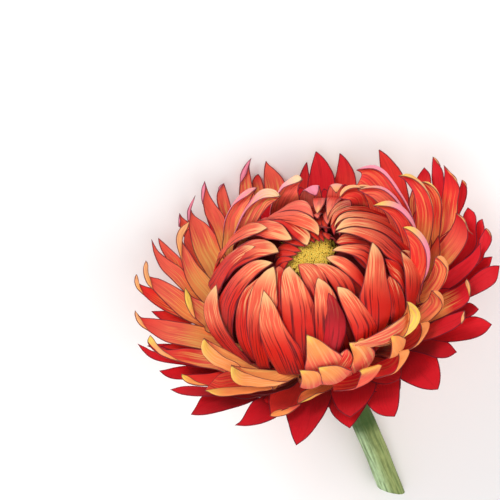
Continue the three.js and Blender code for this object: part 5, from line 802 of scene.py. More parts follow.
# Bracts of the dome, and below them spreading bracts, by left margin, mid-line and right
# margin, in mm in the head frame: name, shell, points of hidden base, tones, three rails.
DOME = [
    ('E1', 'E', 2, 'MNO',
     [(-11.41, -5.74, -1.98), (-14.63, -7.32, -0.11), (-17.34, -9.16, 1.28), (-18.31, -7.17, 1.87), (-19.37, -5.28, 2.86), (-20.10, -3.38, 3.76), (-20.35, -1.27, 4.21), (-20.27, 0.66, 4.33), (-19.82, 2.27, 4.90), (-18.98, 3.03, 5.91), (-17.79, 3.17, 7.30), (-16.36, 2.98, 8.83)],
     [(-10.86, -7.06, -1.98), (-13.84, -9.00, -0.11), (-15.97, -10.38, 1.65), (-16.83, -9.19, 3.03), (-17.82, -7.35, 4.08), (-18.51, -5.09, 4.71), (-18.83, -2.93, 5.07), (-18.84, -1.11, 5.50), (-18.56, 0.31, 6.26), (-17.98, 1.30, 7.19), (-17.21, 2.11, 8.05), (-16.36, 2.98, 8.83)],
     [(-9.88, -8.10, -1.98), (-12.63, -10.40, -0.11), (-14.60, -12.36, 2.94), (-15.36, -11.18, 4.17), (-16.27, -9.39, 5.29), (-16.93, -7.14, 6.09), (-17.31, -5.00, 6.43), (-17.40, -3.00, 6.80), (-17.30, -1.42, 7.34), (-16.99, -0.04, 8.02), (-16.64, 1.33, 8.46), (-16.36, 2.98, 8.83)]),
    ('E2', 'E', 2, 'MNO',
     [(-6.96, -10.76, -2.00), (-8.96, -13.77, -0.20), (-10.60, -15.66, 1.79), (-11.33, -15.11, 4.56), (-11.73, -14.51, 6.48), (-11.85, -13.35, 8.00), (-11.76, -12.11, 9.17), (-11.49, -10.84, 10.23), (-10.96, -9.49, 11.28), (-10.22, -8.18, 12.27), (-9.48, -6.99, 13.17), (-8.67, -5.93, 13.98)],
     [(-5.51, -11.72, -2.00), (-7.03, -14.96, -0.20), (-8.33, -17.73, 3.33), (-8.50, -17.17, 5.86), (-8.63, -16.50, 7.69), (-8.83, -15.37, 9.10), (-9.09, -14.13, 10.12), (-9.20, -12.65, 11.12), (-9.10, -11.13, 12.03), (-8.82, -9.55, 12.81), (-8.65, -7.84, 13.43), (-8.67, -5.93, 13.98)],
     [(-3.84, -12.23, -2.00), (-4.88, -15.69, -0.20), (-6.06, -18.50, 3.33), (-5.68, -18.01, 5.71), (-5.53, -17.33, 7.52), (-5.80, -16.27, 8.87), (-6.41, -15.11, 9.83), (-6.92, -13.52, 10.88), (-7.24, -11.92, 11.76), (-7.41, -10.22, 12.52), (-7.82, -8.28, 13.20), (-8.67, -5.93, 13.98)]),
    ('E3', 'E', 4, 'MNO',
     [(-5.60, -11.24, -2.01), (-6.99, -14.55, -0.21), (-7.91, -16.46, 1.88), (-8.20, -16.76, 4.81), (-8.45, -15.87, 6.80), (-7.99, -13.98, 8.82), (-7.32, -11.99, 10.61), (-6.88, -10.47, 11.74), (-6.39, -8.90, 12.77), (-5.93, -7.50, 13.57), (-5.47, -6.15, 14.21), (-4.84, -4.77, 14.72), (-4.10, -3.68, 14.76), (-2.95, -2.84, 14.39)],
     [(-4.00, -12.03, -2.01), (-5.13, -15.43, -0.21), (-5.80, -17.43, 1.88), (-5.83, -17.81, 4.81), (-5.74, -17.25, 7.53), (-5.09, -15.43, 9.53), (-4.33, -13.48, 11.33), (-3.92, -12.07, 12.37), (-3.63, -10.67, 13.26), (-3.47, -9.20, 14.08), (-3.36, -7.77, 14.68), (-3.26, -6.16, 15.08), (-3.20, -4.52, 14.94), (-2.95, -2.84, 14.39)],
     [(-2.25, -12.35, -2.01), (-3.12, -15.83, -0.21), (-3.53, -17.92, 1.88), (-3.31, -18.39, 4.81), (-3.04, -17.65, 7.09), (-2.19, -15.86, 9.03), (-1.34, -13.94, 10.81), (-0.96, -12.65, 11.79), (-0.87, -11.44, 12.56), (-1.01, -9.94, 13.45), (-1.26, -8.49, 14.10), (-1.68, -6.82, 14.57), (-2.30, -4.94, 14.62), (-2.95, -2.84, 14.39)]),
    ('E4', 'E', 4, 'MNO',
     [(-1.92, -12.52, -2.01), (-2.31, -16.08, -0.22), (-2.62, -18.18, 1.87), (-2.70, -18.60, 4.80), (-2.91, -17.90, 7.32), (-2.52, -16.62, 8.75), (-2.08, -15.04, 10.25), (-1.50, -13.39, 11.60), (-0.96, -11.88, 12.68), (-0.45, -10.55, 13.53), (0.18, -9.34, 14.25), (0.70, -8.44, 14.72), (1.17, -7.90, 14.95)],
     [(-0.78, -12.84, -2.01), (-1.00, -16.41, -0.22), (-1.13, -18.53, 1.87), (-1.03, -18.95, 4.80), (-1.14, -18.76, 7.45), (-0.54, -17.44, 8.96), (0.06, -15.81, 10.53), (0.66, -14.17, 11.88), (1.13, -12.75, 12.88), (1.40, -11.51, 13.63), (1.60, -10.27, 14.26), (1.56, -9.04, 14.71), (1.17, -7.90, 14.95)],
     [(0.39, -12.66, -2.01), (0.34, -16.24, -0.22), (0.39, -18.37, 1.87), (0.66, -18.81, 4.80), (0.63, -18.70, 6.48), (1.44, -17.35, 8.08), (2.20, -15.68, 9.75), (2.83, -14.06, 11.11), (3.21, -12.74, 12.04), (3.25, -11.65, 12.74), (3.02, -10.51, 13.45), (2.42, -9.23, 14.21), (1.17, -7.90, 14.95)]),
    ('E5', 'E', 4, 'BAB',
     [(-1.32, -12.67, -2.01), (-1.57, -16.24, -0.22), (-1.78, -18.36, 1.87), (-1.82, -18.79, 4.80), (-1.99, -18.44, 7.50), (-1.48, -17.44, 8.75), (-0.73, -16.20, 10.05), (-0.05, -14.96, 11.16), (0.66, -13.66, 12.17), (1.26, -12.51, 12.97), (1.72, -11.78, 13.45), (2.16, -11.18, 13.87)],
     [(-0.34, -12.95, -2.01), (-0.44, -16.52, -0.22), (-0.49, -18.64, 1.87), (-0.38, -19.07, 4.80), (-0.51, -19.25, 7.61), (0.33, -18.15, 8.91), (1.10, -17.08, 10.07), (1.70, -15.93, 11.09), (2.14, -14.65, 12.04), (2.32, -13.37, 12.83), (2.35, -12.16, 13.47), (2.16, -11.18, 13.87)],
     [(0.65, -12.72, -2.01), (0.71, -16.30, -0.22), (0.81, -18.43, 1.87), (1.07, -18.86, 4.80), (0.98, -19.06, 6.52), (2.14, -17.96, 8.00), (2.92, -17.11, 9.07), (3.44, -16.09, 10.06), (3.62, -14.90, 11.03), (3.38, -13.65, 12.00), (2.99, -12.21, 13.10), (2.16, -11.18, 13.87)]),
    ('E6', 'E', 3, 'MNO',
     [(2.36, -12.50, -2.01), (3.08, -16.01, -0.22), (3.44, -18.10, 1.88), (3.72, -19.04, 5.78), (4.06, -18.06, 7.59), (4.00, -16.80, 9.28), (3.89, -15.67, 10.47), (3.84, -14.55, 11.41), (3.70, -13.46, 12.21), (3.64, -12.37, 12.95), (3.67, -11.40, 13.59), (3.90, -10.57, 14.15)],
     [(3.15, -12.56, -2.01), (4.02, -16.03, -0.22), (4.53, -18.08, 1.88), (4.81, -19.19, 5.63), (5.67, -18.24, 7.45), (6.27, -17.19, 9.00), (6.16, -16.19, 10.16), (5.86, -15.04, 11.25), (5.50, -13.83, 12.22), (5.07, -12.62, 13.05), (4.65, -11.52, 13.69), (3.90, -10.57, 14.15)],
     [(3.82, -12.13, -2.01), (4.84, -15.57, -0.22), (5.51, -17.58, 1.88), (5.90, -18.71, 4.74), (7.29, -17.64, 6.36), (8.55, -16.68, 7.64), (8.42, -15.78, 8.75), (7.88, -14.63, 10.04), (7.29, -13.40, 11.30), (6.51, -12.23, 12.38), (5.64, -11.26, 13.32), (3.90, -10.57, 14.15)]),
    ('E7', 'E', 3, 'MNO',
     [(4.21, -12.02, -2.00), (5.46, -15.37, -0.20), (6.13, -17.37, 1.89), (6.37, -17.80, 6.57), (6.39, -16.31, 8.38), (6.59, -14.82, 9.89), (6.83, -13.53, 10.92), (7.11, -12.45, 11.53), (7.81, -11.37, 11.91), (8.74, -9.87, 12.36), (9.70, -8.03, 12.83), (10.66, -6.08, 13.17), (11.58, -4.12, 13.30), (12.44, -2.40, 13.16)],
     [(5.15, -11.88, -2.00), (6.57, -15.16, -0.20), (7.41, -17.09, 1.89), (7.67, -17.70, 6.46), (8.36, -16.64, 7.78), (9.03, -15.35, 9.05), (9.52, -14.04, 10.07), (9.82, -12.81, 10.81), (10.26, -11.50, 11.39), (10.83, -9.88, 11.99), (11.47, -8.03, 12.50), (12.04, -6.07, 12.85), (12.35, -4.12, 13.09), (12.44, -2.40, 13.16)],
     [(5.89, -11.29, -2.00), (7.48, -14.50, -0.20), (8.49, -16.35, 1.89), (8.98, -16.90, 5.53), (10.32, -16.04, 6.08), (11.47, -14.81, 6.95), (12.21, -13.46, 7.90), (12.54, -12.10, 8.82), (12.71, -10.65, 9.70), (12.92, -8.98, 10.53), (13.24, -7.21, 11.19), (13.43, -5.46, 11.80), (13.12, -3.79, 12.49), (12.44, -2.40, 13.16)]),
    ('E9', 'E', 3, 'MMN',
     [(7.13, -10.18, -1.99), (9.24, -13.07, -0.17), (10.41, -14.79, 1.93), (11.06, -15.24, 5.20), (11.35, -14.48, 6.40), (11.60, -13.34, 7.61), (11.85, -12.03, 8.63), (12.06, -10.70, 9.42), (12.44, -9.53, 9.85), (13.40, -8.48, 10.01)],
     [(7.97, -9.82, -1.99), (10.23, -12.59, -0.17), (11.53, -14.20, 1.93), (12.08, -14.88, 4.81), (12.73, -14.11, 5.83), (13.14, -13.08, 6.98), (13.37, -11.92, 8.06), (13.42, -10.68, 8.99), (13.34, -9.51, 9.64), (13.40, -8.48, 10.01)],
     [(8.50, -9.07, -1.99), (10.90, -11.72, -0.17), (12.34, -13.22, 1.93), (13.10, -13.92, 3.72), (14.11, -12.96, 4.32), (14.68, -11.93, 5.28), (14.88, -10.94, 6.47), (14.79, -9.94, 7.72), (14.24, -9.07, 8.93), (13.40, -8.48, 10.01)]),
    ('E8', 'E', 2, 'MNO',
     [(9.59, -8.37, -1.98), (12.27, -10.73, -0.13), (14.66, -12.27, 4.34), (14.90, -11.50, 5.55), (15.27, -10.65, 6.60), (15.69, -9.57, 7.60), (16.08, -8.44, 8.51), (16.32, -7.29, 9.28), (16.51, -5.98, 9.87), (16.65, -4.95, 10.15), (16.73, -4.20, 10.35)],
     [(10.33, -7.81, -1.98), (13.17, -9.96, -0.13), (15.46, -11.70, 3.70), (15.84, -11.10, 4.72), (16.44, -10.30, 5.60), (17.02, -9.28, 6.46), (17.42, -8.20, 7.33), (17.57, -7.14, 8.21), (17.48, -5.94, 9.05), (17.14, -4.99, 9.70), (16.73, -4.20, 10.35)],
     [(10.66, -6.96, -1.98), (13.67, -8.89, -0.13), (16.27, -10.71, 2.57), (16.78, -10.21, 3.30), (17.60, -9.41, 3.94), (18.34, -8.37, 4.59), (18.77, -7.35, 5.41), (18.81, -6.41, 6.43), (18.44, -5.42, 7.64), (17.63, -4.74, 8.91), (16.73, -4.20, 10.35)]),
    ('E10', 'E', 2, 'NNO',
     [(10.80, -6.17, -1.97), (13.89, -7.94, -0.09), (15.92, -8.95, 1.55), (16.95, -7.91, 2.50), (17.59, -7.00, 3.78), (17.97, -5.91, 4.99), (18.00, -4.84, 5.95), (17.86, -4.06, 7.13), (17.64, -3.62, 8.28), (17.27, -3.53, 9.17), (16.79, -3.79, 9.82)],
     [(11.26, -5.83, -1.97), (14.42, -7.46, -0.09), (16.61, -8.60, 1.01), (17.54, -7.76, 2.02), (18.26, -6.97, 3.30), (18.71, -5.91, 4.39), (18.79, -4.79, 5.27), (18.67, -3.94, 6.47), (18.36, -3.46, 7.77), (17.62, -3.35, 8.94), (16.79, -3.79, 9.82)],
     [(11.27, -5.26, -1.97), (14.50, -6.76, -0.09), (17.31, -8.52, 0.78), (18.13, -7.82, 1.79), (18.94, -7.13, 3.03), (19.46, -6.06, 3.96), (19.57, -4.72, 4.56), (19.47, -3.58, 5.52), (19.09, -2.98, 6.88), (17.98, -2.98, 8.47), (16.79, -3.79, 9.82)]),
    ('Fd15', 'Fo', 3, 'NNO',
     [(-10.58, 6.91, -1.10), (-13.25, 8.59, 0.86), (-14.52, 9.53, 2.60), (-14.52, 10.53, 7.23), (-13.35, 11.62, 7.38), (-12.28, 12.60, 7.46), (-11.01, 13.56, 7.70), (-9.62, 14.00, 8.27), (-8.08, 13.58, 9.49), (-6.65, 12.09, 11.16), (-5.42, 9.65, 13.05), (-4.56, 6.59, 15.00)],
     [(-11.34, 6.00, -1.10), (-14.12, 7.48, 0.86), (-15.51, 8.21, 2.60), (-15.53, 8.23, 7.56), (-14.43, 9.44, 7.70), (-13.14, 10.74, 7.86), (-11.71, 11.86, 8.23), (-10.20, 11.96, 9.09), (-8.61, 11.04, 10.68), (-7.08, 9.62, 12.42), (-5.72, 8.08, 13.81), (-4.56, 6.59, 15.00)],
     [(-11.66, 4.87, -1.10), (-14.54, 6.13, 0.86), (-16.04, 6.66, 2.60), (-16.54, 7.97, 5.45), (-15.52, 8.47, 6.59), (-13.99, 9.53, 7.49), (-12.41, 10.44, 8.43), (-10.79, 10.08, 9.71), (-9.13, 8.87, 11.45), (-7.51, 7.70, 13.00), (-6.03, 6.93, 14.08), (-4.56, 6.59, 15.00)]),
    ('Fd1', 'Fo', 2, 'MMO',
     [(-11.76, 4.65, -1.11), (-14.69, 5.88, 0.82), (-17.79, 6.66, 4.50), (-16.89, 7.61, 5.60), (-15.81, 8.10, 6.73), (-14.34, 8.39, 7.89), (-12.91, 8.49, 9.07), (-11.62, 8.08, 10.17), (-10.23, 7.36, 11.45), (-8.96, 6.11, 12.80), (-7.65, 4.17, 14.04)],
     [(-12.34, 3.50, -1.11), (-15.38, 4.37, 0.82), (-17.57, 4.99, 4.79), (-16.60, 4.72, 6.65), (-15.56, 4.95, 8.22), (-14.18, 5.37, 9.49), (-12.80, 5.64, 10.57), (-11.40, 5.61, 11.54), (-9.93, 5.38, 12.47), (-8.70, 4.94, 13.36), (-7.65, 4.17, 14.04)],
     [(-12.45, 2.23, -1.11), (-15.58, 2.72, 0.82), (-17.34, 2.81, 5.70), (-16.30, 2.13, 7.33), (-15.31, 2.48, 8.89), (-14.01, 3.21, 10.07), (-12.69, 3.69, 11.00), (-11.18, 3.94, 11.95), (-9.64, 4.00, 12.77), (-8.44, 4.12, 13.51), (-7.65, 4.17, 14.04)]),
    ('Fd16', 'Fo', 5, 'MNO',
     [(-11.18, 5.95, -1.11), (-14.08, 7.21, 0.83), (-15.51, 7.96, 2.57), (-15.34, 8.30, 5.04), (-14.05, 8.28, 7.49), (-14.08, 8.52, 7.60), (-12.30, 8.55, 9.14), (-10.61, 8.41, 10.48), (-9.22, 7.84, 11.59), (-7.74, 6.97, 12.77), (-6.27, 5.71, 13.67), (-5.07, 4.36, 14.08), (-4.26, 3.01, 14.06), (-3.98, 1.37, 13.72)],
     [(-12.05, 4.22, -1.11), (-15.02, 5.27, 0.83), (-16.53, 5.80, 2.57), (-16.44, 5.92, 5.04), (-15.23, 5.67, 7.49), (-13.98, 4.90, 9.61), (-12.35, 5.13, 10.88), (-10.72, 4.91, 12.01), (-9.28, 4.34, 13.04), (-7.79, 3.71, 13.96), (-6.42, 3.02, 14.45), (-5.25, 2.47, 14.47), (-4.39, 1.99, 14.16), (-3.98, 1.37, 13.72)],
     [(-12.45, 2.34, -1.11), (-15.50, 3.16, 0.83), (-17.09, 3.47, 2.57), (-17.07, 3.37, 5.04), (-15.94, 2.90, 7.49), (-13.88, 2.78, 9.84), (-12.41, 3.00, 11.08), (-10.84, 2.64, 12.07), (-9.34, 2.10, 13.00), (-7.85, 1.62, 13.76), (-6.56, 1.26, 14.12), (-5.42, 1.20, 14.11), (-4.52, 1.27, 13.89), (-3.98, 1.37, 13.72)]),
    ('Fd2', 'Fo', 4, 'MNO',
     [(-12.49, -1.37, -1.14), (-15.64, -1.88, 0.70), (-17.37, -2.05, 2.43), (-17.51, -1.76, 4.92), (-17.62, -1.09, 5.54), (-17.07, 0.53, 6.93), (-16.12, 1.19, 7.91), (-14.84, 1.66, 9.09), (-13.30, 2.08, 10.38), (-11.57, 2.23, 11.58), (-9.93, 2.05, 12.72), (-8.36, 1.43, 13.61), (-6.91, 0.39, 14.16), (-5.57, -0.98, 14.35)],
     [(-12.35, -3.02, -1.14), (-15.43, -3.78, 0.70), (-17.10, -4.19, 2.43), (-17.18, -4.14, 4.92), (-16.74, -4.10, 7.10), (-15.96, -2.58, 8.49), (-14.90, -1.65, 9.55), (-13.69, -0.98, 10.58), (-12.34, -0.48, 11.60), (-10.75, -0.16, 12.61), (-9.18, -0.05, 13.52), (-7.72, -0.22, 14.14), (-6.52, -0.55, 14.39), (-5.57, -0.98, 14.35)],
     [(-11.71, -4.55, -1.14), (-14.74, -5.55, 0.70), (-16.35, -6.20, 2.43), (-16.37, -6.40, 4.92), (-15.86, -5.81, 7.12), (-14.84, -4.49, 8.64), (-13.67, -3.39, 9.88), (-12.55, -2.61, 10.86), (-11.38, -2.11, 11.71), (-9.92, -1.70, 12.63), (-8.44, -1.42, 13.45), (-7.09, -1.29, 13.96), (-6.13, -1.16, 14.22), (-5.57, -0.98, 14.35)]),
    ('Fd2b', 'Fo', 2, 'MMN',
     [(-10.08, -7.10, -1.17), (-12.71, -8.91, 0.61), (-14.76, -10.41, 1.23), (-15.47, -9.49, 2.98), (-15.84, -8.53, 4.49), (-15.80, -7.41, 5.84), (-15.39, -6.08, 7.20), (-14.72, -4.76, 8.44), (-13.94, -3.67, 9.45), (-12.98, -2.84, 10.45), (-11.60, -2.40, 11.71), (-8.12, -2.13, 13.45)],
     [(-9.87, -7.77, -1.17), (-12.38, -9.74, 0.61), (-14.08, -11.08, 1.47), (-14.66, -10.77, 3.53), (-14.86, -9.88, 5.38), (-14.78, -8.69, 6.85), (-14.37, -7.19, 8.23), (-13.68, -5.73, 9.41), (-12.92, -4.50, 10.37), (-11.96, -3.50, 11.28), (-10.70, -2.77, 12.26), (-8.12, -2.13, 13.45)],
     [(-9.27, -8.13, -1.17), (-11.65, -10.26, 0.61), (-13.41, -11.90, 1.88), (-13.85, -11.66, 3.61), (-13.89, -10.60, 5.52), (-13.76, -9.30, 7.06), (-13.34, -7.67, 8.51), (-12.65, -6.11, 9.69), (-11.89, -4.79, 10.65), (-10.93, -3.68, 11.55), (-9.81, -2.84, 12.46), (-8.12, -2.13, 13.45)]),
    ('Fd3', 'Fo', 1, 'MNO',
     [(-9.13, -8.60, -1.18), (-13.53, -12.58, 1.40), (-13.99, -11.83, 3.44), (-13.99, -10.65, 5.63), (-13.80, -9.36, 7.38), (-13.39, -7.85, 8.75), (-12.66, -6.18, 9.99), (-11.86, -4.73, 11.02), (-10.90, -3.61, 11.90), (-9.85, -2.82, 12.67), (-8.55, -2.28, 13.40), (-7.16, -1.91, 14.06), (-5.57, -1.88, 14.43)],
     [(-8.79, -9.27, -1.18), (-12.55, -13.23, 1.68), (-12.83, -13.13, 4.18), (-12.62, -12.24, 6.61), (-12.18, -11.03, 8.44), (-11.51, -9.63, 9.92), (-10.45, -8.29, 11.17), (-9.44, -7.20, 12.06), (-8.75, -5.96, 12.93), (-8.02, -4.79, 13.65), (-7.18, -3.70, 14.17), (-6.38, -2.68, 14.47), (-5.57, -1.88, 14.43)],
     [(-8.10, -9.57, -1.18), (-11.57, -13.70, 1.74), (-11.67, -13.78, 4.14), (-11.25, -12.97, 6.57), (-10.57, -11.83, 8.46), (-9.62, -10.51, 10.01), (-8.24, -9.43, 11.19), (-7.03, -8.66, 11.90), (-6.60, -7.32, 12.79), (-6.20, -5.84, 13.53), (-5.81, -4.37, 14.05), (-5.61, -3.01, 14.36), (-5.57, -1.88, 14.43)]),
    ('G15', 'Fi', 6, 'MMN',
     [(-7.66, -9.84, -0.38), (-9.34, -12.12, 1.27), (-10.32, -13.40, 2.65), (-10.44, -13.55, 4.76), (-9.83, -12.69, 7.02), (-8.73, -11.11, 8.98), (-8.24, -9.81, 10.28), (-7.56, -8.00, 11.38), (-6.88, -6.14, 12.43), (-6.33, -4.40, 13.23), (-5.92, -2.88, 13.68), (-5.56, -1.81, 13.58), (-4.74, -1.02, 13.08)],
     [(-7.31, -10.40, -0.38), (-8.94, -12.71, 1.27), (-9.86, -14.02, 2.65), (-9.94, -14.21, 4.76), (-9.28, -13.39, 7.02), (-8.12, -11.84, 8.98), (-7.39, -10.50, 10.68), (-6.77, -8.68, 11.79), (-6.12, -6.80, 12.83), (-5.59, -4.99, 13.56), (-5.11, -3.36, 13.84), (-4.84, -2.11, 13.57), (-4.74, -1.02, 13.08)],
     [(-6.67, -10.54, -0.38), (-8.25, -12.89, 1.27), (-9.12, -14.24, 2.65), (-9.14, -14.46, 4.76), (-8.44, -13.67, 7.02), (-7.23, -12.16, 8.98), (-6.54, -10.74, 10.53), (-5.99, -8.87, 11.63), (-5.36, -6.98, 12.66), (-4.84, -5.13, 13.34), (-4.29, -3.43, 13.52), (-4.12, -2.15, 13.25), (-4.74, -1.02, 13.08)]),
    ('Fd5', 'Fi', 5, 'MNN',
     [(-0.05, -12.50, -0.39), (0.04, -15.34, 1.23), (0.05, -16.99, 2.60), (0.07, -17.30, 4.72), (0.04, -16.35, 7.00), (-0.55, -13.75, 10.20), (-0.65, -12.16, 11.27), (-0.82, -10.67, 12.19), (-1.09, -9.24, 12.92), (-1.38, -7.69, 13.43), (-1.59, -5.90, 13.61), (-1.60, -4.05, 13.58), (-1.50, -2.84, 13.44), (-1.45, -2.30, 13.31)],
     [(1.00, -12.67, -0.39), (1.22, -15.50, 1.23), (1.35, -17.14, 2.60), (1.50, -17.44, 4.72), (1.59, -16.48, 7.00), (1.10, -13.99, 10.77), (1.09, -12.34, 11.85), (0.91, -10.71, 12.87), (0.77, -9.23, 13.57), (0.64, -7.56, 13.88), (0.35, -5.72, 13.84), (-0.12, -4.00, 13.75), (-0.75, -2.87, 13.59), (-1.45, -2.30, 13.31)],
     [(2.01, -12.34, -0.39), (2.35, -15.16, 1.23), (2.61, -16.79, 2.60), (2.89, -17.08, 4.72), (3.11, -16.11, 7.00), (2.75, -13.39, 10.35), (2.82, -11.70, 11.45), (2.63, -9.92, 12.57), (2.63, -8.40, 13.25), (2.66, -6.76, 13.53), (2.30, -5.04, 13.46), (1.37, -3.50, 13.40), (-0.01, -2.61, 13.39), (-1.45, -2.30, 13.31)]),
    ('Fd6', 'Fi', 5, 'MNO',
     [(3.43, -12.01, -0.39), (4.30, -14.71, 1.24), (4.75, -16.28, 2.61), (4.90, -16.58, 4.73), (4.68, -15.70, 7.01), (3.81, -14.13, 9.34), (3.66, -11.96, 10.88), (3.50, -10.33, 11.95), (3.17, -9.01, 12.67), (2.74, -7.51, 13.25), (2.23, -5.88, 13.46), (1.64, -4.36, 13.38), (1.33, -3.46, 13.19), (1.14, -3.01, 13.11)],
     [(4.30, -11.96, -0.39), (5.26, -14.63, 1.24), (5.81, -16.16, 2.61), (6.06, -16.43, 4.73), (5.93, -15.51, 7.01), (5.11, -14.23, 9.48), (5.05, -12.61, 10.73), (5.09, -11.13, 11.77), (5.08, -9.86, 12.55), (4.77, -8.47, 13.25), (4.11, -6.94, 13.68), (3.25, -5.32, 13.72), (2.28, -3.96, 13.48), (1.14, -3.01, 13.11)],
     [(4.99, -11.45, -0.39), (6.05, -14.08, 1.24), (6.70, -15.58, 2.61), (7.04, -15.81, 4.73), (7.01, -14.86, 7.01), (6.42, -13.74, 8.90), (6.45, -12.54, 9.71), (6.67, -11.12, 10.61), (6.98, -9.80, 11.35), (6.81, -8.50, 12.15), (5.99, -7.15, 12.89), (4.86, -5.65, 13.30), (3.23, -4.11, 13.37), (1.14, -3.01, 13.11)]),
    ('Fd7', 'Fi', 5, 'MNO',
     [(7.15, -10.15, -0.38), (8.84, -12.43, 1.28), (9.76, -13.73, 2.65), (10.02, -13.95, 4.76), (9.57, -13.21, 7.02), (8.32, -12.05, 9.09), (8.18, -10.60, 10.13), (7.89, -9.51, 10.91), (7.33, -8.73, 11.48), (6.61, -7.79, 12.16), (5.73, -6.47, 12.89), (4.80, -5.03, 13.22), (4.07, -3.68, 13.10), (3.70, -2.43, 12.92)],
     [(7.83, -9.94, -0.38), (9.58, -12.16, 1.28), (10.57, -13.41, 2.65), (10.89, -13.59, 4.76), (10.51, -12.79, 7.02), (9.10, -11.56, 9.45), (8.81, -10.13, 10.50), (8.50, -9.01, 11.30), (8.05, -8.04, 11.99), (7.34, -6.95, 12.73), (6.40, -5.64, 13.39), (5.35, -4.37, 13.55), (4.40, -3.26, 13.31), (3.70, -2.43, 12.92)],
     [(8.20, -9.33, -0.38), (10.01, -11.50, 1.28), (11.06, -12.70, 2.65), (11.46, -12.83, 4.76), (11.14, -11.97, 7.02), (9.88, -10.57, 9.24), (9.43, -9.17, 10.27), (9.11, -7.99, 11.05), (8.76, -6.77, 11.81), (8.08, -5.51, 12.59), (7.07, -4.26, 13.22), (5.90, -3.27, 13.35), (4.74, -2.58, 13.21), (3.70, -2.43, 12.92)]),
    ('Fd8', 'Fi', 5, 'MNO',
     [(9.61, -8.01, -0.37), (11.85, -9.73, 1.32), (13.05, -10.72, 2.71), (13.32, -10.89, 4.81), (12.66, -10.38, 7.04), (10.04, -8.65, 10.48), (10.11, -7.16, 11.13), (9.84, -5.54, 12.05), (9.00, -4.48, 12.73), (7.82, -3.61, 13.24), (6.42, -2.67, 13.46), (5.48, -1.98, 13.29), (5.06, -1.54, 13.08)],
     [(10.44, -7.25, -0.37), (12.75, -8.86, 1.32), (14.03, -9.75, 2.71), (14.37, -9.81, 4.81), (13.79, -9.18, 7.04), (11.29, -7.85, 10.68), (11.37, -6.10, 11.37), (10.94, -4.30, 12.37), (9.86, -3.44, 12.97), (8.49, -2.85, 13.46), (6.98, -2.20, 13.65), (5.83, -1.72, 13.45), (5.06, -1.54, 13.08)],
     [(10.86, -6.21, -0.37), (13.25, -7.71, 1.32), (14.60, -8.48, 2.71), (15.02, -8.44, 4.81), (14.52, -7.70, 7.04), (12.55, -6.24, 9.93), (12.62, -4.19, 10.60), (12.04, -2.23, 11.71), (10.72, -1.69, 12.37), (9.16, -1.53, 13.02), (7.54, -1.33, 13.37), (6.18, -1.22, 13.34), (5.06, -1.54, 13.08)]),
    ('Fd9', 'Fi', 6, 'LMM',
     [(11.72, -3.41, -0.35), (14.45, -4.06, 1.40), (15.87, -4.46, 2.80), (16.13, -4.50, 4.89), (15.34, -4.31, 7.07), (13.73, -3.98, 9.02), (11.40, -3.54, 10.90), (11.39, -1.94, 11.70), (10.18, -1.38, 12.19), (8.64, -1.05, 12.74), (7.00, -0.67, 12.76), (6.15, 0.45, 12.62)],
     [(12.17, -2.41, -0.35), (14.92, -2.96, 1.40), (16.37, -3.24, 2.80), (16.65, -3.18, 4.89), (15.88, -2.89, 7.07), (14.29, -2.45, 9.02), (12.26, -2.43, 10.94), (11.97, -1.24, 11.58), (10.63, -0.72, 12.18), (9.14, -0.31, 12.88), (7.51, 0.18, 13.16), (6.15, 0.45, 12.62)],
     [(12.14, -1.32, -0.35), (14.91, -1.75, 1.40), (16.37, -1.93, 2.80), (16.68, -1.76, 4.89), (15.93, -1.36, 7.07), (14.36, -0.82, 9.02), (13.13, -0.65, 10.18), (12.55, -0.03, 10.85), (11.08, 0.40, 11.63), (9.64, 0.85, 12.49), (8.02, 1.33, 13.20), (6.15, 0.45, 12.62)]),
    ('Fd10', 'Fo', 3, 'MNO',
     [(11.06, -6.04, -1.16), (13.88, -7.54, 0.65), (15.40, -8.43, 2.38), (16.24, -8.70, 5.60), (16.45, -7.30, 6.97), (16.23, -6.39, 8.02), (15.67, -5.73, 9.00), (14.70, -5.15, 9.93), (13.89, -4.44, 10.72), (13.26, -3.17, 11.76), (12.23, -2.20, 12.57), (10.93, -1.22, 13.50), (9.42, -0.37, 14.29), (8.07, 0.28, 14.64), (6.69, 0.91, 14.65)],
     [(11.64, -5.40, -1.16), (14.53, -6.74, 0.65), (16.12, -7.48, 2.38), (16.94, -7.86, 5.14), (17.14, -6.43, 6.49), (16.96, -5.36, 7.67), (16.48, -4.58, 8.74), (15.66, -3.80, 9.79), (14.86, -2.89, 10.74), (14.04, -1.77, 11.73), (12.78, -0.88, 12.64), (11.28, -0.17, 13.60), (9.69, 0.33, 14.40), (8.18, 0.66, 14.75), (6.69, 0.91, 14.65)],
     [(11.76, -4.55, -1.16), (14.72, -5.74, 0.65), (16.38, -6.32, 2.38), (17.63, -6.78, 4.40), (17.83, -5.09, 5.44), (17.69, -3.69, 6.55), (17.29, -2.68, 7.57), (16.62, -1.60, 8.65), (15.83, -0.45, 9.70), (14.81, 0.47, 10.69), (13.34, 1.15, 11.85), (11.64, 1.45, 13.02), (9.96, 1.45, 14.01), (8.30, 1.26, 14.58), (6.69, 0.91, 14.65)]),
    ('Fd10b', 'Fo', 2, 'MMM',
     [(9.75, -7.96, -1.17), (12.21, -10.00, 0.61), (14.53, -11.56, 3.57), (14.86, -10.65, 5.46), (14.89, -9.65, 7.19), (14.34, -8.82, 8.41), (13.65, -8.02, 9.02), (13.63, -5.02, 10.86)],
     [(10.25, -7.71, -1.17), (12.80, -9.63, 0.61), (14.96, -11.26, 3.89), (15.34, -10.11, 5.70), (15.49, -8.85, 7.39), (15.19, -7.71, 8.72), (14.54, -6.90, 9.49), (13.63, -5.02, 10.86)],
     [(10.35, -7.17, -1.17), (12.99, -8.97, 0.61), (15.39, -10.43, 3.58), (15.81, -9.07, 5.35), (16.10, -7.52, 6.96), (16.04, -6.04, 8.37), (15.42, -5.38, 9.48), (13.63, -5.02, 10.86)]),
    ('Fd11', 'Fo', 2, 'MNO',
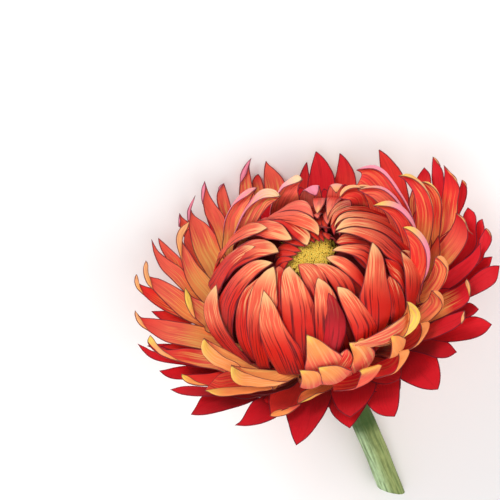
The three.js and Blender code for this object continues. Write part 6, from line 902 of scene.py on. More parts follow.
     [(11.92, -4.07, -1.15), (14.92, -5.13, 0.69), (17.80, -5.84, 4.10), (17.83, -3.88, 5.35), (17.33, -2.33, 6.68), (16.75, -1.10, 7.99), (15.87, 0.09, 9.27), (14.75, 1.02, 10.44), (13.25, 1.59, 11.60), (11.53, 1.83, 12.76), (9.86, 1.84, 13.73), (8.17, 1.66, 14.21), (6.62, 1.57, 14.34)],
     [(12.32, -3.60, -1.15), (15.37, -4.49, 0.69), (18.41, -5.38, 4.37), (18.52, -3.19, 5.08), (18.05, -1.62, 6.15), (17.43, -0.52, 7.40), (16.61, 0.65, 8.68), (15.47, 1.73, 9.90), (13.96, 2.49, 11.13), (12.16, 2.88, 12.43), (10.30, 2.88, 13.60), (8.49, 2.51, 14.35), (6.62, 1.57, 14.34)],
     [(12.23, -2.99, -1.15), (15.33, -3.71, 0.69), (19.01, -4.49, 4.12), (19.21, -2.31, 4.58), (18.77, -0.69, 5.36), (18.10, 0.42, 6.39), (17.35, 1.62, 7.59), (16.19, 2.91, 8.81), (14.67, 3.91, 10.05), (12.79, 4.48, 11.44), (10.75, 4.43, 12.85), (8.80, 3.70, 14.08), (6.62, 1.57, 14.34)]),
    ('Fd12', 'Fo', 2, 'MNO',
     [(11.93, -3.53, -1.14), (14.97, -4.46, 0.70), (18.49, -5.16, 3.84), (18.78, -2.32, 3.92), (18.55, 0.44, 4.34), (17.92, 2.25, 4.75), (17.13, 3.42, 5.78), (16.07, 4.12, 7.51), (14.55, 4.56, 9.42), (12.65, 4.85, 11.07), (10.89, 4.77, 12.42), (9.12, 4.30, 13.52), (7.56, 3.38, 14.05), (6.51, 2.27, 14.10)],
     [(12.29, -3.11, -1.14), (15.37, -3.90, 0.70), (18.99, -4.81, 4.07), (19.34, -2.14, 4.08), (19.15, 0.61, 4.29), (18.60, 2.62, 4.42), (17.83, 4.06, 5.27), (16.74, 4.95, 6.97), (15.17, 5.47, 8.88), (13.22, 5.79, 10.56), (11.33, 5.69, 12.02), (9.36, 5.11, 13.34), (7.73, 3.93, 14.09), (6.51, 2.27, 14.10)],
     [(12.17, -2.57, -1.14), (15.29, -3.21, 0.70), (19.49, -4.09, 3.86), (19.90, -1.62, 3.86), (19.76, 0.95, 4.02), (19.27, 2.98, 4.10), (18.54, 4.64, 4.83), (17.42, 5.87, 6.32), (15.79, 6.65, 8.01), (13.78, 7.10, 9.62), (11.76, 7.00, 11.17), (9.60, 6.31, 12.73), (7.91, 4.75, 13.82), (6.51, 2.27, 14.10)]),
    ('Fd13', 'Fo', 2, 'MMN',
     [(11.95, -2.74, -1.14), (15.04, -3.48, 0.71), (19.10, -3.75, 3.65), (19.43, -1.19, 3.59), (19.32, 1.62, 3.89), (18.75, 3.70, 4.18), (17.86, 5.31, 4.96), (16.72, 6.71, 6.13), (15.20, 7.68, 7.40), (13.43, 8.07, 8.87), (11.66, 7.76, 10.45), (9.76, 6.95, 12.05), (8.24, 5.66, 13.24), (7.00, 4.15, 13.63), (6.19, 3.28, 13.87)],
     [(12.29, -2.30, -1.14), (15.41, -2.89, 0.71), (19.44, -3.64, 3.80), (19.82, -0.99, 3.83), (19.74, 1.70, 4.05), (19.31, 3.77, 4.38), (18.45, 5.45, 5.17), (17.22, 6.96, 6.19), (15.70, 8.13, 7.20), (13.94, 8.68, 8.49), (12.06, 8.52, 10.08), (10.11, 7.73, 11.74), (8.40, 6.40, 13.11), (7.11, 4.85, 13.83), (6.19, 3.28, 13.87)],
     [(12.13, -1.77, -1.14), (15.28, -2.20, 0.71), (19.79, -3.29, 3.66), (20.21, -0.50, 3.72), (20.15, 2.07, 3.84), (19.87, 4.17, 4.18), (19.03, 5.92, 4.99), (17.73, 7.46, 5.93), (16.20, 8.76, 6.78), (14.45, 9.52, 7.85), (12.46, 9.59, 9.34), (10.46, 8.88, 10.98), (8.56, 7.56, 12.48), (7.22, 5.86, 13.65), (6.19, 3.28, 13.87)]),
    ('Fd14', 'Fo', 2, 'MMN',
     [(11.97, -1.60, -1.13), (15.12, -2.05, 0.73), (19.70, -2.29, 3.42), (19.99, 0.59, 3.44), (19.75, 3.43, 3.77), (18.95, 5.55, 4.35), (17.63, 7.49, 5.41), (15.92, 9.27, 6.18), (14.05, 10.62, 6.73), (12.33, 10.92, 7.83), (10.46, 9.96, 9.69), (8.83, 8.21, 11.62), (7.53, 6.48, 12.98), (6.37, 4.95, 13.45), (6.02, 4.12, 13.72)],
     [(12.27, -1.13, -1.13), (15.42, -1.42, 0.73), (20.00, -1.85, 3.63), (20.35, 1.00, 3.67), (20.18, 3.79, 4.03), (19.38, 5.88, 4.64), (18.00, 7.87, 5.68), (16.25, 9.65, 6.28), (14.43, 11.08, 6.58), (12.68, 11.70, 7.51), (10.71, 11.04, 9.27), (9.06, 9.44, 11.25), (7.69, 7.51, 12.78), (6.58, 5.76, 13.61), (6.02, 4.12, 13.72)],
     [(12.06, -0.61, -1.13), (15.23, -0.75, 0.73), (20.30, -1.05, 3.43), (20.72, 1.74, 3.50), (20.61, 4.42, 3.96), (19.82, 6.45, 4.65), (18.36, 8.49, 5.65), (16.58, 10.25, 6.12), (14.80, 11.66, 6.29), (13.02, 12.58, 7.08), (10.96, 12.36, 8.56), (9.29, 11.09, 10.38), (7.86, 9.06, 11.95), (6.79, 6.98, 13.30), (6.02, 4.12, 13.72)]),
    ('Fd23', 'Fo', 4, 'DEF',
     [(5.98, 10.91, -1.07), (7.57, 13.61, 0.95), (8.27, 14.94, 2.69), (8.23, 15.06, 5.15), (7.38, 14.35, 8.72), (6.98, 11.83, 10.80), (6.58, 9.22, 12.54), (6.25, 6.72, 13.66), (6.03, 4.51, 14.28)],
     [(6.99, 10.55, -1.07), (8.71, 13.15, 0.95), (9.54, 14.40, 2.69), (9.64, 14.43, 5.15), (8.83, 13.33, 9.12), (8.00, 11.14, 11.00), (7.21, 8.79, 12.61), (6.52, 6.55, 13.71), (6.03, 4.51, 14.28)],
     [(7.72, 9.76, -1.07), (9.58, 12.28, 0.95), (10.54, 13.44, 2.69), (10.77, 13.38, 5.15), (10.28, 14.39, 7.02), (9.01, 11.53, 9.91), (7.85, 8.83, 12.13), (6.80, 6.57, 13.55), (6.03, 4.51, 14.28)]),
    ('Fd22', 'Fo', 5, 'DEF',
     [(4.24, 11.87, -1.07), (5.39, 14.78, 0.97), (5.89, 16.17, 2.71), (5.90, 16.21, 5.17), (5.50, 15.29, 7.55), (4.86, 14.94, 9.11), (4.57, 11.99, 11.37), (4.49, 9.63, 13.10), (4.51, 7.75, 14.07), (4.62, 6.28, 14.69)],
     [(5.10, 11.77, -1.07), (6.34, 14.64, 0.97), (6.93, 15.99, 2.71), (7.03, 15.99, 5.17), (6.73, 15.03, 7.55), (5.99, 13.82, 9.83), (5.59, 11.17, 11.84), (5.24, 9.06, 13.37), (4.90, 7.47, 14.21), (4.62, 6.28, 14.69)],
     [(5.76, 11.21, -1.07), (7.10, 14.04, 0.97), (7.78, 15.36, 2.71), (7.97, 15.31, 5.17), (7.76, 14.31, 7.55), (7.12, 13.58, 9.50), (6.61, 11.06, 11.46), (5.99, 8.99, 13.03), (5.30, 7.45, 14.04), (4.62, 6.28, 14.69)]),
    ('Fd21', 'Fo', 6, 'DEE',
     [(-5.02, 11.35, -1.06), (-6.22, 14.24, 0.97), (-6.80, 15.59, 2.72), (-6.65, 15.56, 5.17), (-6.10, 14.56, 7.55), (-5.29, 12.87, 9.69), (-4.27, 10.34, 12.19), (-2.88, 11.33, 12.10), (-1.07, 11.58, 12.15), (0.44, 10.96, 12.52), (1.82, 9.58, 13.16), (2.85, 7.98, 13.74), (3.50, 6.83, 14.10), (3.82, 6.03, 14.22)],
     [(-4.65, 11.76, -1.06), (-5.80, 14.67, 0.97), (-6.34, 16.04, 2.72), (-6.14, 16.03, 5.17), (-5.54, 15.05, 7.55), (-4.69, 13.38, 9.69), (-4.32, 10.92, 11.97), (-2.97, 11.78, 11.84), (-1.29, 12.20, 11.75), (0.35, 12.19, 12.03), (1.93, 11.36, 12.61), (3.12, 9.78, 13.37), (3.71, 7.99, 14.04), (3.82, 6.03, 14.22)],
     [(-4.10, 11.71, -1.06), (-5.20, 14.64, 0.97), (-5.69, 16.03, 2.72), (-5.45, 16.04, 5.17), (-4.80, 15.08, 7.55), (-3.90, 13.42, 9.69), (-4.36, 11.70, 11.51), (-3.06, 12.42, 11.35), (-1.51, 13.05, 11.07), (0.27, 13.78, 11.10), (2.04, 13.67, 11.42), (3.39, 12.26, 12.19), (3.91, 9.70, 13.31), (3.82, 6.03, 14.22)]),
    ('Fd20', 'Fo', 6, 'NNO',
     [(-5.76, 11.19, -1.07), (-7.13, 14.01, 0.96), (-7.80, 15.32, 2.71), (-7.64, 15.31, 5.17), (-7.02, 14.34, 7.55), (-6.11, 12.69, 9.69), (-5.01, 10.44, 11.99), (-3.92, 9.96, 12.91), (-2.35, 8.69, 13.63), (-0.93, 7.14, 13.99), (0.46, 5.81, 13.93), (1.73, 4.67, 13.75), (2.75, 3.61, 13.63), (3.28, 2.83, 13.63), (3.55, 2.36, 13.69), (3.45, 2.08, 13.80)],
     [(-5.42, 11.63, -1.07), (-6.74, 14.46, 0.96), (-7.36, 15.80, 2.71), (-7.16, 15.81, 5.17), (-6.50, 14.86, 7.55), (-5.54, 13.23, 9.69), (-5.08, 10.90, 11.81), (-3.91, 10.60, 12.59), (-2.44, 9.68, 13.44), (-0.87, 8.35, 14.20), (0.71, 7.10, 14.59), (2.06, 5.95, 14.49), (3.11, 4.85, 14.21), (3.74, 3.79, 13.98), (3.87, 2.90, 13.89), (3.45, 2.08, 13.80)],
     [(-4.86, 11.61, -1.07), (-6.13, 14.47, 0.96), (-6.71, 15.83, 2.71), (-6.47, 15.85, 5.17), (-5.76, 14.93, 7.55), (-4.75, 13.32, 9.69), (-5.15, 11.52, 11.44), (-3.89, 11.53, 11.92), (-2.52, 11.31, 12.48), (-0.81, 10.69, 13.08), (0.95, 9.66, 13.73), (2.39, 8.14, 14.14), (3.46, 6.54, 14.24), (4.19, 5.02, 14.02), (4.19, 3.63, 13.87), (3.45, 2.08, 13.80)]),
    ('Fd19', 'Fo', 6, 'MMO',
     [(-5.21, 11.23, -1.07), (-6.46, 14.10, 0.97), (-7.07, 15.44, 2.72), (-6.92, 15.41, 5.17), (-6.35, 14.42, 7.55), (-5.52, 12.74, 9.69), (-4.36, 9.64, 12.62), (-3.01, 8.48, 13.54), (-2.04, 7.32, 13.98), (-1.38, 6.01, 13.85), (-0.94, 4.55, 13.58), (-0.07, 2.98, 13.34), (0.52, 1.82, 13.39), (1.20, 0.96, 13.53)],
     [(-4.83, 11.66, -1.07), (-6.02, 14.55, 0.97), (-6.58, 15.91, 2.72), (-6.39, 15.91, 5.17), (-5.77, 14.93, 7.55), (-4.89, 13.27, 9.69), (-4.25, 10.27, 12.37), (-2.91, 8.94, 13.46), (-1.78, 7.67, 14.11), (-0.75, 6.29, 14.11), (0.09, 4.92, 13.90), (0.97, 3.52, 13.74), (1.43, 2.23, 13.68), (1.20, 0.96, 13.53)],
     [(-4.25, 11.63, -1.07), (-5.39, 14.54, 0.97), (-5.91, 15.92, 2.72), (-5.66, 15.94, 5.17), (-4.99, 14.99, 7.55), (-4.06, 13.34, 9.69), (-4.14, 11.13, 11.86), (-2.81, 9.71, 13.01), (-1.53, 8.40, 13.79), (-0.13, 7.01, 13.83), (1.12, 5.79, 13.62), (2.01, 4.56, 13.55), (2.35, 2.97, 13.57), (1.20, 0.96, 13.53)]),
    ('Fd18', 'Fo', 5, 'MNO',
     [(-8.68, 9.19, -1.07), (-10.72, 11.58, 0.94), (-11.76, 12.67, 2.68), (-11.68, 12.62, 5.14), (-10.93, 11.72, 7.54), (-8.79, 9.64, 10.80), (-7.54, 8.13, 12.32), (-6.49, 6.63, 13.58), (-5.47, 5.07, 14.12), (-3.84, 4.02, 14.18), (-2.58, 3.42, 13.99), (-1.64, 3.15, 13.93), (-0.98, 3.05, 14.03)],
     [(-7.82, 10.17, -1.07), (-9.72, 12.65, 0.94), (-10.64, 13.85, 2.68), (-10.44, 13.89, 5.14), (-9.56, 13.09, 7.54), (-8.66, 11.27, 10.14), (-7.34, 10.10, 11.62), (-6.09, 8.70, 13.05), (-4.88, 7.13, 14.16), (-3.39, 5.73, 14.65), (-2.21, 4.71, 14.56), (-1.51, 3.88, 14.27), (-0.98, 3.05, 14.03)],
     [(-6.65, 10.76, -1.07), (-8.43, 13.34, 0.94), (-9.22, 14.62, 2.68), (-8.89, 14.76, 5.14), (-7.89, 14.05, 7.54), (-8.54, 13.35, 8.96), (-7.15, 12.72, 10.12), (-5.69, 11.82, 11.27), (-4.28, 10.52, 12.60), (-2.94, 8.62, 13.69), (-1.84, 6.74, 14.26), (-1.37, 4.93, 14.23), (-0.98, 3.05, 14.03)]),
]
OUTLINED = [
    ('R16', 'S2', 5, 'EDC',
     [(10.62, 5.49, -7.15), (12.98, 6.59, -5.80), (15.25, 7.65, -4.45), (17.51, 8.71, -3.10), (19.51, 10.31, -1.71), (20.62, 11.61, -0.71), (21.05, 13.88, 0.77), (22.00, 15.10, 1.76), (23.10, 16.01, 2.94), (24.40, 16.65, 4.21), (25.71, 16.95, 5.34)],
     [(11.04, 4.45, -7.35), (13.45, 5.42, -6.00), (15.77, 6.35, -4.65), (18.09, 7.29, -3.30), (20.17, 8.78, -1.91), (21.99, 10.75, -0.62), (22.81, 12.98, 0.95), (23.82, 14.41, 2.15), (24.62, 15.43, 3.28), (25.35, 16.26, 4.36), (25.71, 16.95, 5.34)],
     [(11.46, 3.41, -7.15), (13.92, 4.25, -5.80), (16.29, 5.06, -4.45), (18.66, 5.86, -3.10), (20.84, 7.24, -1.71), (23.36, 9.39, 0.07), (24.56, 11.56, 1.75), (25.64, 13.24, 3.11), (26.15, 14.48, 4.06), (26.31, 15.67, 4.76), (25.71, 16.95, 5.34)]),
    ('R15', 'S1', 5, 'DCC',
     [(11.43, 3.35, -7.90), (13.94, 4.03, -6.59), (16.36, 4.68, -5.27), (18.77, 5.34, -3.96), (21.06, 6.43, -2.78), (22.91, 7.80, -1.70), (24.86, 10.36, 0.10), (25.65, 12.02, 1.14), (26.01, 13.79, 2.27), (26.33, 15.39, 3.37), (26.86, 16.60, 4.34), (27.33, 17.52, 5.20), (27.79, 18.23, 5.93)],
     [(11.57, 2.80, -8.10), (14.09, 3.41, -6.79), (16.52, 4.00, -5.47), (18.95, 4.59, -4.16), (21.27, 5.62, -2.98), (23.62, 7.40, -1.59), (25.50, 10.12, 0.31), (26.31, 11.76, 1.37), (26.96, 13.28, 2.39), (27.36, 14.72, 3.41), (27.78, 16.01, 4.34), (27.90, 17.09, 5.11), (27.79, 18.23, 5.93)],
     [(11.70, 2.26, -7.90), (14.24, 2.80, -6.59), (16.69, 3.33, -5.27), (19.13, 3.85, -3.96), (21.48, 4.82, -2.78), (24.32, 6.79, -1.22), (26.15, 9.68, 0.75), (26.96, 11.28, 1.85), (27.91, 12.53, 2.81), (28.39, 13.78, 3.76), (28.70, 15.16, 4.64), (28.46, 16.49, 5.22), (27.79, 18.23, 5.93)]),
    ('R14', 'S3', 5, 'EDC',
     [(11.94, 0.35, -6.40), (14.54, 0.52, -5.10), (17.04, 0.69, -3.79), (19.54, 0.85, -2.49), (22.02, 1.30, -1.06), (23.02, 3.38, -0.40), (24.18, 5.17, 0.78), (25.12, 6.96, 2.08), (26.25, 8.59, 3.46), (27.33, 10.15, 4.96), (28.20, 11.48, 6.35), (28.82, 12.55, 7.44), (29.10, 13.52, 8.34)],
     [(11.82, 1.40, -6.60), (14.40, 1.71, -5.30), (16.88, 2.00, -3.99), (19.36, 2.30, -2.69), (21.81, 2.86, -1.26), (24.38, 3.84, 0.32), (25.86, 4.75, 1.41), (26.87, 6.22, 2.81), (27.87, 7.84, 4.28), (28.90, 9.33, 5.64), (29.33, 10.58, 6.66), (29.37, 12.01, 7.57), (29.10, 13.52, 8.34)],
     [(11.69, 2.46, -6.40), (14.26, 2.89, -5.10), (16.73, 3.31, -3.79), (19.19, 3.74, -2.49), (21.61, 4.43, -1.06), (25.74, 3.79, 1.63), (27.53, 3.81, 2.66), (28.63, 4.96, 4.14), (29.48, 6.61, 5.66), (30.46, 8.10, 6.80), (30.45, 9.36, 7.35), (29.92, 11.29, 7.90), (29.10, 13.52, 8.34)]),
    ('R13', 'S1', 5, 'CCC',
     [(11.64, 2.52, -7.90), (14.19, 3.03, -6.60), (16.64, 3.52, -5.30), (19.09, 4.02, -4.00), (21.54, 4.51, -2.88), (26.96, 6.20, 0.10), (28.03, 7.37, 1.09), (28.86, 8.61, 2.12), (29.77, 9.70, 3.05), (30.48, 10.68, 3.95), (31.04, 11.26, 4.59), (31.39, 11.61, 5.08)],
     [(11.71, 2.09, -8.10), (14.27, 2.55, -6.80), (16.73, 2.99, -5.50), (19.20, 3.43, -4.20), (21.66, 3.87, -3.08), (27.48, 6.18, 0.35), (28.64, 7.28, 1.38), (29.59, 8.25, 2.31), (30.58, 9.35, 3.30), (31.14, 10.35, 4.14), (31.37, 11.10, 4.72), (31.39, 11.61, 5.08)],
     [(11.79, 1.67, -7.90), (14.36, 2.07, -6.60), (16.83, 2.46, -5.30), (19.30, 2.85, -4.00), (21.77, 3.23, -2.88), (28.00, 6.02, 0.77), (29.26, 7.02, 1.86), (30.33, 7.71, 2.70), (31.39, 8.81, 3.78), (31.80, 9.86, 4.52), (31.70, 10.85, 4.95), (31.39, 11.61, 5.08)]),
    ('R11', 'S1', 5, 'CCC',
     [(11.90, -0.58, -7.90), (14.49, -0.76, -6.66), (16.99, -0.93, -5.42), (19.48, -1.10, -4.19), (22.00, -0.88, -3.19), (24.18, -0.39, -2.35), (25.68, 1.04, -1.39), (27.22, 2.21, -0.64), (28.29, 3.76, 0.38), (29.13, 5.14, 1.24), (29.56, 6.07, 1.87), (30.07, 6.49, 2.32), (30.89, 6.86, 2.94)],
     [(11.85, -1.13, -8.10), (14.43, -1.38, -6.86), (16.92, -1.62, -5.62), (19.41, -1.85, -4.39), (21.93, -1.71, -3.39), (24.66, -1.03, -2.31), (26.53, -0.02, -1.30), (28.32, 0.83, -0.53), (29.41, 2.22, 0.43), (30.08, 3.81, 1.37), (30.60, 5.07, 2.04), (30.90, 5.93, 2.46), (30.89, 6.86, 2.94)],
     [(11.79, -1.68, -7.90), (14.38, -2.00, -6.66), (16.86, -2.30, -5.42), (19.34, -2.61, -4.19), (21.87, -2.53, -3.19), (25.13, -1.87, -2.04), (27.39, -1.38, -0.84), (29.41, -0.92, 0.03), (30.53, 0.28, 0.96), (31.03, 2.12, 1.93), (31.64, 3.79, 2.55), (31.73, 5.21, 2.78), (30.89, 6.86, 2.94)]),
    ('R10', 'S0', 5, 'CCC',
     [(11.74, -2.03, -8.65), (14.31, -2.42, -7.43), (16.79, -2.79, -6.21), (19.26, -3.16, -4.98), (21.73, -3.54, -4.17), (28.05, -1.56, -1.94), (29.36, 0.38, -1.01), (30.31, 1.89, -0.36), (31.03, 3.36, 0.45), (31.62, 4.33, 1.19), (32.77, 4.38, 1.57)],
     [(11.82, -1.42, -8.85), (14.40, -1.73, -7.63), (16.88, -2.03, -6.41), (19.36, -2.32, -5.18), (21.84, -2.62, -4.37), (28.95, -1.37, -1.64), (30.08, 0.30, -0.78), (30.85, 1.54, -0.21), (31.75, 2.88, 0.53), (32.14, 3.85, 1.13), (32.77, 4.38, 1.57)],
     [(11.89, -0.80, -8.65), (14.48, -1.04, -7.43), (16.97, -1.26, -6.21), (19.46, -1.48, -4.98), (21.95, -1.71, -4.17), (29.84, -1.42, -1.06), (30.79, 0.02, -0.32), (31.39, 1.01, 0.14), (32.46, 2.23, 0.83), (32.67, 3.25, 1.22), (32.77, 4.38, 1.57)]),
    ('R9', 'S1', 5, 'CCC',
     [(11.76, -1.88, -7.90), (14.32, -2.34, -6.69), (16.78, -2.78, -5.47), (19.24, -3.21, -4.26), (21.71, -3.65, -3.34), (28.44, -3.83, -0.40), (29.56, -2.44, 0.31), (30.30, -1.21, 0.90), (30.96, -0.04, 1.61), (31.93, 0.66, 2.24), (32.69, 1.02, 2.79)],
     [(11.67, -2.35, -8.10), (14.21, -2.87, -6.89), (16.66, -3.36, -5.67), (19.12, -3.86, -4.46), (21.57, -4.35, -3.54), (29.10, -3.88, -0.18), (30.24, -2.76, 0.59), (31.13, -1.88, 1.15), (31.98, -0.84, 1.81), (32.61, 0.15, 2.38), (32.69, 1.02, 2.79)],
     [(11.57, -2.82, -7.90), (14.11, -3.39, -6.69), (16.55, -3.94, -5.47), (18.99, -4.50, -4.26), (21.42, -5.05, -3.34), (29.76, -4.18, 0.32), (30.93, -3.30, 1.13), (31.96, -2.77, 1.68), (33.00, -1.88, 2.29), (33.30, -0.53, 2.72), (32.69, 1.02, 2.79)]),
    ('R8', 'S2', 4, 'CCC',
     [(11.66, -2.45, -7.15), (14.20, -3.02, -5.94), (16.64, -3.57, -4.73), (19.18, -3.64, -3.50), (21.09, -3.58, -2.84), (23.53, -2.41, -1.56), (24.99, -2.27, -0.76), (27.06, -2.33, 0.22), (28.84, -2.34, 1.27), (30.12, -2.08, 2.27), (30.95, -1.96, 2.94)],
     [(11.50, -3.05, -7.35), (14.02, -3.71, -6.14), (16.43, -4.35, -4.93), (18.97, -4.52, -3.70), (21.00, -4.47, -2.96), (22.86, -4.01, -2.12), (24.60, -4.00, -1.31), (26.89, -3.93, -0.16), (28.80, -3.66, 0.99), (30.17, -3.00, 2.00), (30.95, -1.96, 2.94)],
     [(11.34, -3.65, -7.15), (13.83, -4.41, -5.94), (16.23, -5.14, -4.73), (18.76, -5.40, -3.50), (20.91, -5.57, -2.81), (22.19, -6.00, -2.21), (24.21, -6.18, -1.32), (26.73, -5.91, -0.08), (28.76, -5.29, 1.07), (30.21, -4.10, 1.95), (30.95, -1.96, 2.94)]),
    ('R7', 'S0', 5, 'BBC',
     [(11.77, -1.94, -8.65), (14.33, -2.45, -7.46), (16.78, -2.93, -6.26), (19.24, -3.42, -5.07), (21.69, -3.90, -4.32), (25.06, -3.64, -3.31), (26.65, -2.86, -2.60), (28.29, -2.09, -1.68), (29.84, -2.10, -1.02), (31.20, -2.69, -0.53), (32.29, -3.39, -0.04)],
     [(11.56, -2.81, -8.85), (14.09, -3.43, -7.66), (16.52, -4.02, -6.46), (18.95, -4.61, -5.27), (21.38, -5.20, -4.52), (25.53, -4.86, -3.32), (27.41, -4.19, -2.63), (28.96, -3.43, -1.75), (30.18, -3.37, -1.24), (31.23, -3.60, -0.81), (32.29, -3.39, -0.04)],
     [(11.35, -3.68, -8.65), (13.85, -4.40, -7.46), (16.26, -5.10, -6.26), (18.66, -5.80, -5.07), (21.06, -6.49, -4.32), (26.01, -6.35, -3.00), (28.18, -5.84, -2.26), (29.63, -5.12, -1.42), (30.52, -4.96, -1.09), (31.26, -4.71, -0.87), (32.29, -3.39, -0.04)]),
    ('R6', 'S1', 5, 'BCC',
     [(11.12, -4.30, -7.90), (13.52, -5.31, -6.74), (15.83, -6.27, -5.57), (18.14, -7.24, -4.41), (20.59, -7.84, -3.60), (23.19, -7.75, -2.84), (25.63, -6.48, -1.67), (27.88, -5.87, -0.61), (30.00, -5.87, 0.50), (31.73, -6.60, 1.38), (32.92, -7.70, 2.09)],
     [(10.79, -5.01, -8.10), (13.15, -6.10, -6.94), (15.42, -7.15, -5.77), (17.69, -8.21, -4.61), (20.12, -8.90, -3.80), (23.39, -8.87, -2.82), (25.54, -7.97, -1.81), (27.83, -7.74, -0.93), (29.89, -7.84, 0.06), (31.63, -8.05, 0.94), (32.92, -7.70, 2.09)],
     [(10.47, -5.72, -7.90), (12.78, -6.90, -6.74), (15.01, -8.04, -5.57), (17.24, -9.18, -4.41), (19.65, -9.97, -3.60), (23.58, -10.22, -2.53), (25.46, -9.80, -1.53), (27.77, -10.02, -0.73), (29.77, -10.22, 0.10), (31.54, -9.76, 0.81), (32.92, -7.70, 2.09)]),
    ('R5', 'S3', 3, 'FCC',
     [(10.71, -5.30, -6.40), (13.05, -6.48, -5.24), (15.32, -7.53, -4.07), (18.76, -8.12, -2.60), (20.59, -7.29, -1.58), (22.50, -7.27, -0.71), (24.28, -7.75, 0.13), (25.65, -8.01, 1.01), (26.50, -8.04, 1.79)],
     [(10.11, -6.28, -6.60), (12.32, -7.65, -5.44), (14.48, -8.91, -4.27), (18.34, -9.72, -2.68), (20.22, -9.55, -1.75), (22.33, -9.77, -0.77), (24.40, -10.11, 0.15), (25.87, -9.71, 0.90), (26.50, -8.04, 1.79)],
     [(9.51, -7.25, -6.40), (11.59, -8.82, -5.24), (13.64, -10.28, -4.07), (17.93, -11.70, -2.30), (19.86, -12.35, -1.28), (22.17, -12.90, -0.09), (24.52, -13.05, 0.86), (26.08, -11.78, 1.23), (26.50, -8.04, 1.79)]),
    ('R4', 'S4', 3, 'DCC',
     [(9.33, -7.48, -5.65), (11.35, -9.13, -4.51), (13.33, -10.68, -3.37), (15.58, -12.45, -2.16), (17.55, -13.11, -0.92), (19.55, -13.98, 0.67), (21.79, -15.28, 2.46), (23.37, -16.66, 4.14), (24.26, -17.87, 5.51)],
     [(8.52, -8.30, -5.85), (10.39, -10.12, -4.71), (12.20, -11.84, -3.57), (15.23, -14.06, -1.90), (17.29, -15.16, -0.48), (19.57, -16.24, 1.23), (21.78, -17.33, 2.95), (23.41, -17.95, 4.38), (24.26, -17.87, 5.51)],
     [(7.72, -9.13, -5.65), (9.42, -11.11, -4.51), (11.07, -13.01, -3.37), (14.88, -15.99, -1.26), (17.03, -17.61, 0.42), (19.60, -18.86, 2.22), (21.77, -19.67, 3.79), (23.46, -19.42, 4.83), (24.26, -17.87, 5.51)]),
    ('R3', 'S1', 5, 'ABB',
     [(11.00, -4.64, -7.90), (13.36, -5.74, -6.75), (15.63, -6.79, -5.59), (17.90, -7.84, -4.44), (20.18, -8.88, -3.67), (23.58, -10.22, -2.53), (25.42, -10.51, -1.65), (26.32, -11.68, -1.20), (26.93, -13.38, -0.90)],
     [(10.56, -5.48, -8.10), (12.87, -6.68, -6.95), (15.09, -7.83, -5.79), (17.31, -8.98, -4.64), (19.53, -10.13, -3.87), (23.54, -11.57, -2.61), (25.17, -11.91, -1.92), (26.12, -12.60, -1.42), (26.93, -13.38, -0.90)],
     [(10.13, -6.31, -7.90), (12.39, -7.61, -6.75), (14.55, -8.87, -5.59), (16.72, -10.12, -4.44), (18.88, -11.37, -3.67), (23.50, -13.25, -2.30), (24.92, -13.62, -1.84), (25.92, -13.71, -1.41), (26.93, -13.38, -0.90)]),
    ('R2', 'S0', 3, 'BCC',
     [(9.77, -6.84, -8.65), (11.89, -8.35, -7.55), (13.98, -9.74, -6.44), (17.38, -11.55, -5.12), (20.54, -11.95, -4.54), (23.17, -12.13, -3.70), (25.37, -12.79, -2.90), (27.09, -14.48, -2.39), (28.30, -16.79, -1.97)],
     [(9.28, -7.45, -8.85), (11.31, -9.08, -7.75), (13.29, -10.60, -6.64), (16.51, -12.31, -5.36), (19.81, -13.33, -4.85), (22.45, -14.06, -4.14), (24.90, -14.87, -3.43), (26.83, -15.87, -2.75), (28.30, -16.79, -1.97)],
     [(8.79, -8.06, -8.65), (10.72, -9.81, -7.55), (12.61, -11.46, -6.44), (15.64, -13.37, -5.25), (19.09, -15.10, -4.68), (21.72, -16.46, -4.01), (24.43, -17.41, -3.41), (26.57, -17.54, -2.78), (28.30, -16.79, -1.97)]),
    ('R1', 'S2', 4, 'ABB',
     [(9.49, -7.30, -7.15), (11.50, -8.96, -6.04), (13.44, -10.55, -4.92), (15.33, -12.20, -3.81), (16.25, -13.79, -3.34), (18.10, -16.01, -2.37), (19.82, -18.36, -1.07), (20.74, -21.82, -0.19)],
     [(8.56, -8.26, -7.35), (10.43, -10.07, -6.24), (12.23, -11.81, -5.12), (13.98, -13.60, -4.01), (15.79, -15.63, -3.36), (17.47, -17.81, -2.46), (19.33, -19.78, -1.33), (20.74, -21.82, -0.19)],
     [(7.64, -9.22, -7.15), (9.37, -11.18, -6.04), (11.02, -13.06, -4.92), (12.62, -14.99, -3.81), (15.33, -17.96, -2.79), (16.84, -20.06, -2.03), (18.85, -21.49, -1.25), (20.74, -21.82, -0.19)]),
    ('R12', 'S3', 3, 'FEC',
     [(11.82, -1.52, -6.40), (14.40, -1.86, -5.16), (16.92, -1.90, -3.92), (19.15, -1.86, -2.94), (20.96, 1.08, -1.50), (22.46, 2.51, -0.55), (24.43, 3.18, 0.59), (26.45, 3.81, 1.99), (27.85, 4.58, 3.29), (28.30, 5.05, 3.97), (28.46, 5.31, 4.31)],
     [(11.70, -2.16, -6.60), (14.26, -2.64, -5.36), (16.76, -2.82, -4.12), (19.97, -2.23, -2.67), (21.89, -0.55, -1.49), (23.67, 0.37, -0.44), (25.86, 1.09, 0.89), (27.68, 1.92, 2.28), (28.69, 3.01, 3.40), (28.89, 4.24, 4.07), (28.46, 5.31, 4.31)],
     [(11.58, -2.81, -6.40), (14.11, -3.42, -5.16), (16.61, -3.74, -3.92), (20.80, -2.88, -2.06), (22.82, -2.64, -0.93), (24.89, -2.34, 0.35), (27.28, -1.60, 1.91), (28.92, -0.51, 3.20), (29.53, 1.03, 3.99), (29.48, 3.21, 4.44), (28.46, 5.31, 4.31)]),
    ('R15s', 'S1', 0, 'III',
     [(28.56, 16.27, 5.34), (28.49, 16.89, 5.62), (28.26, 17.51, 5.91), (27.76, 18.07, 6.14)],
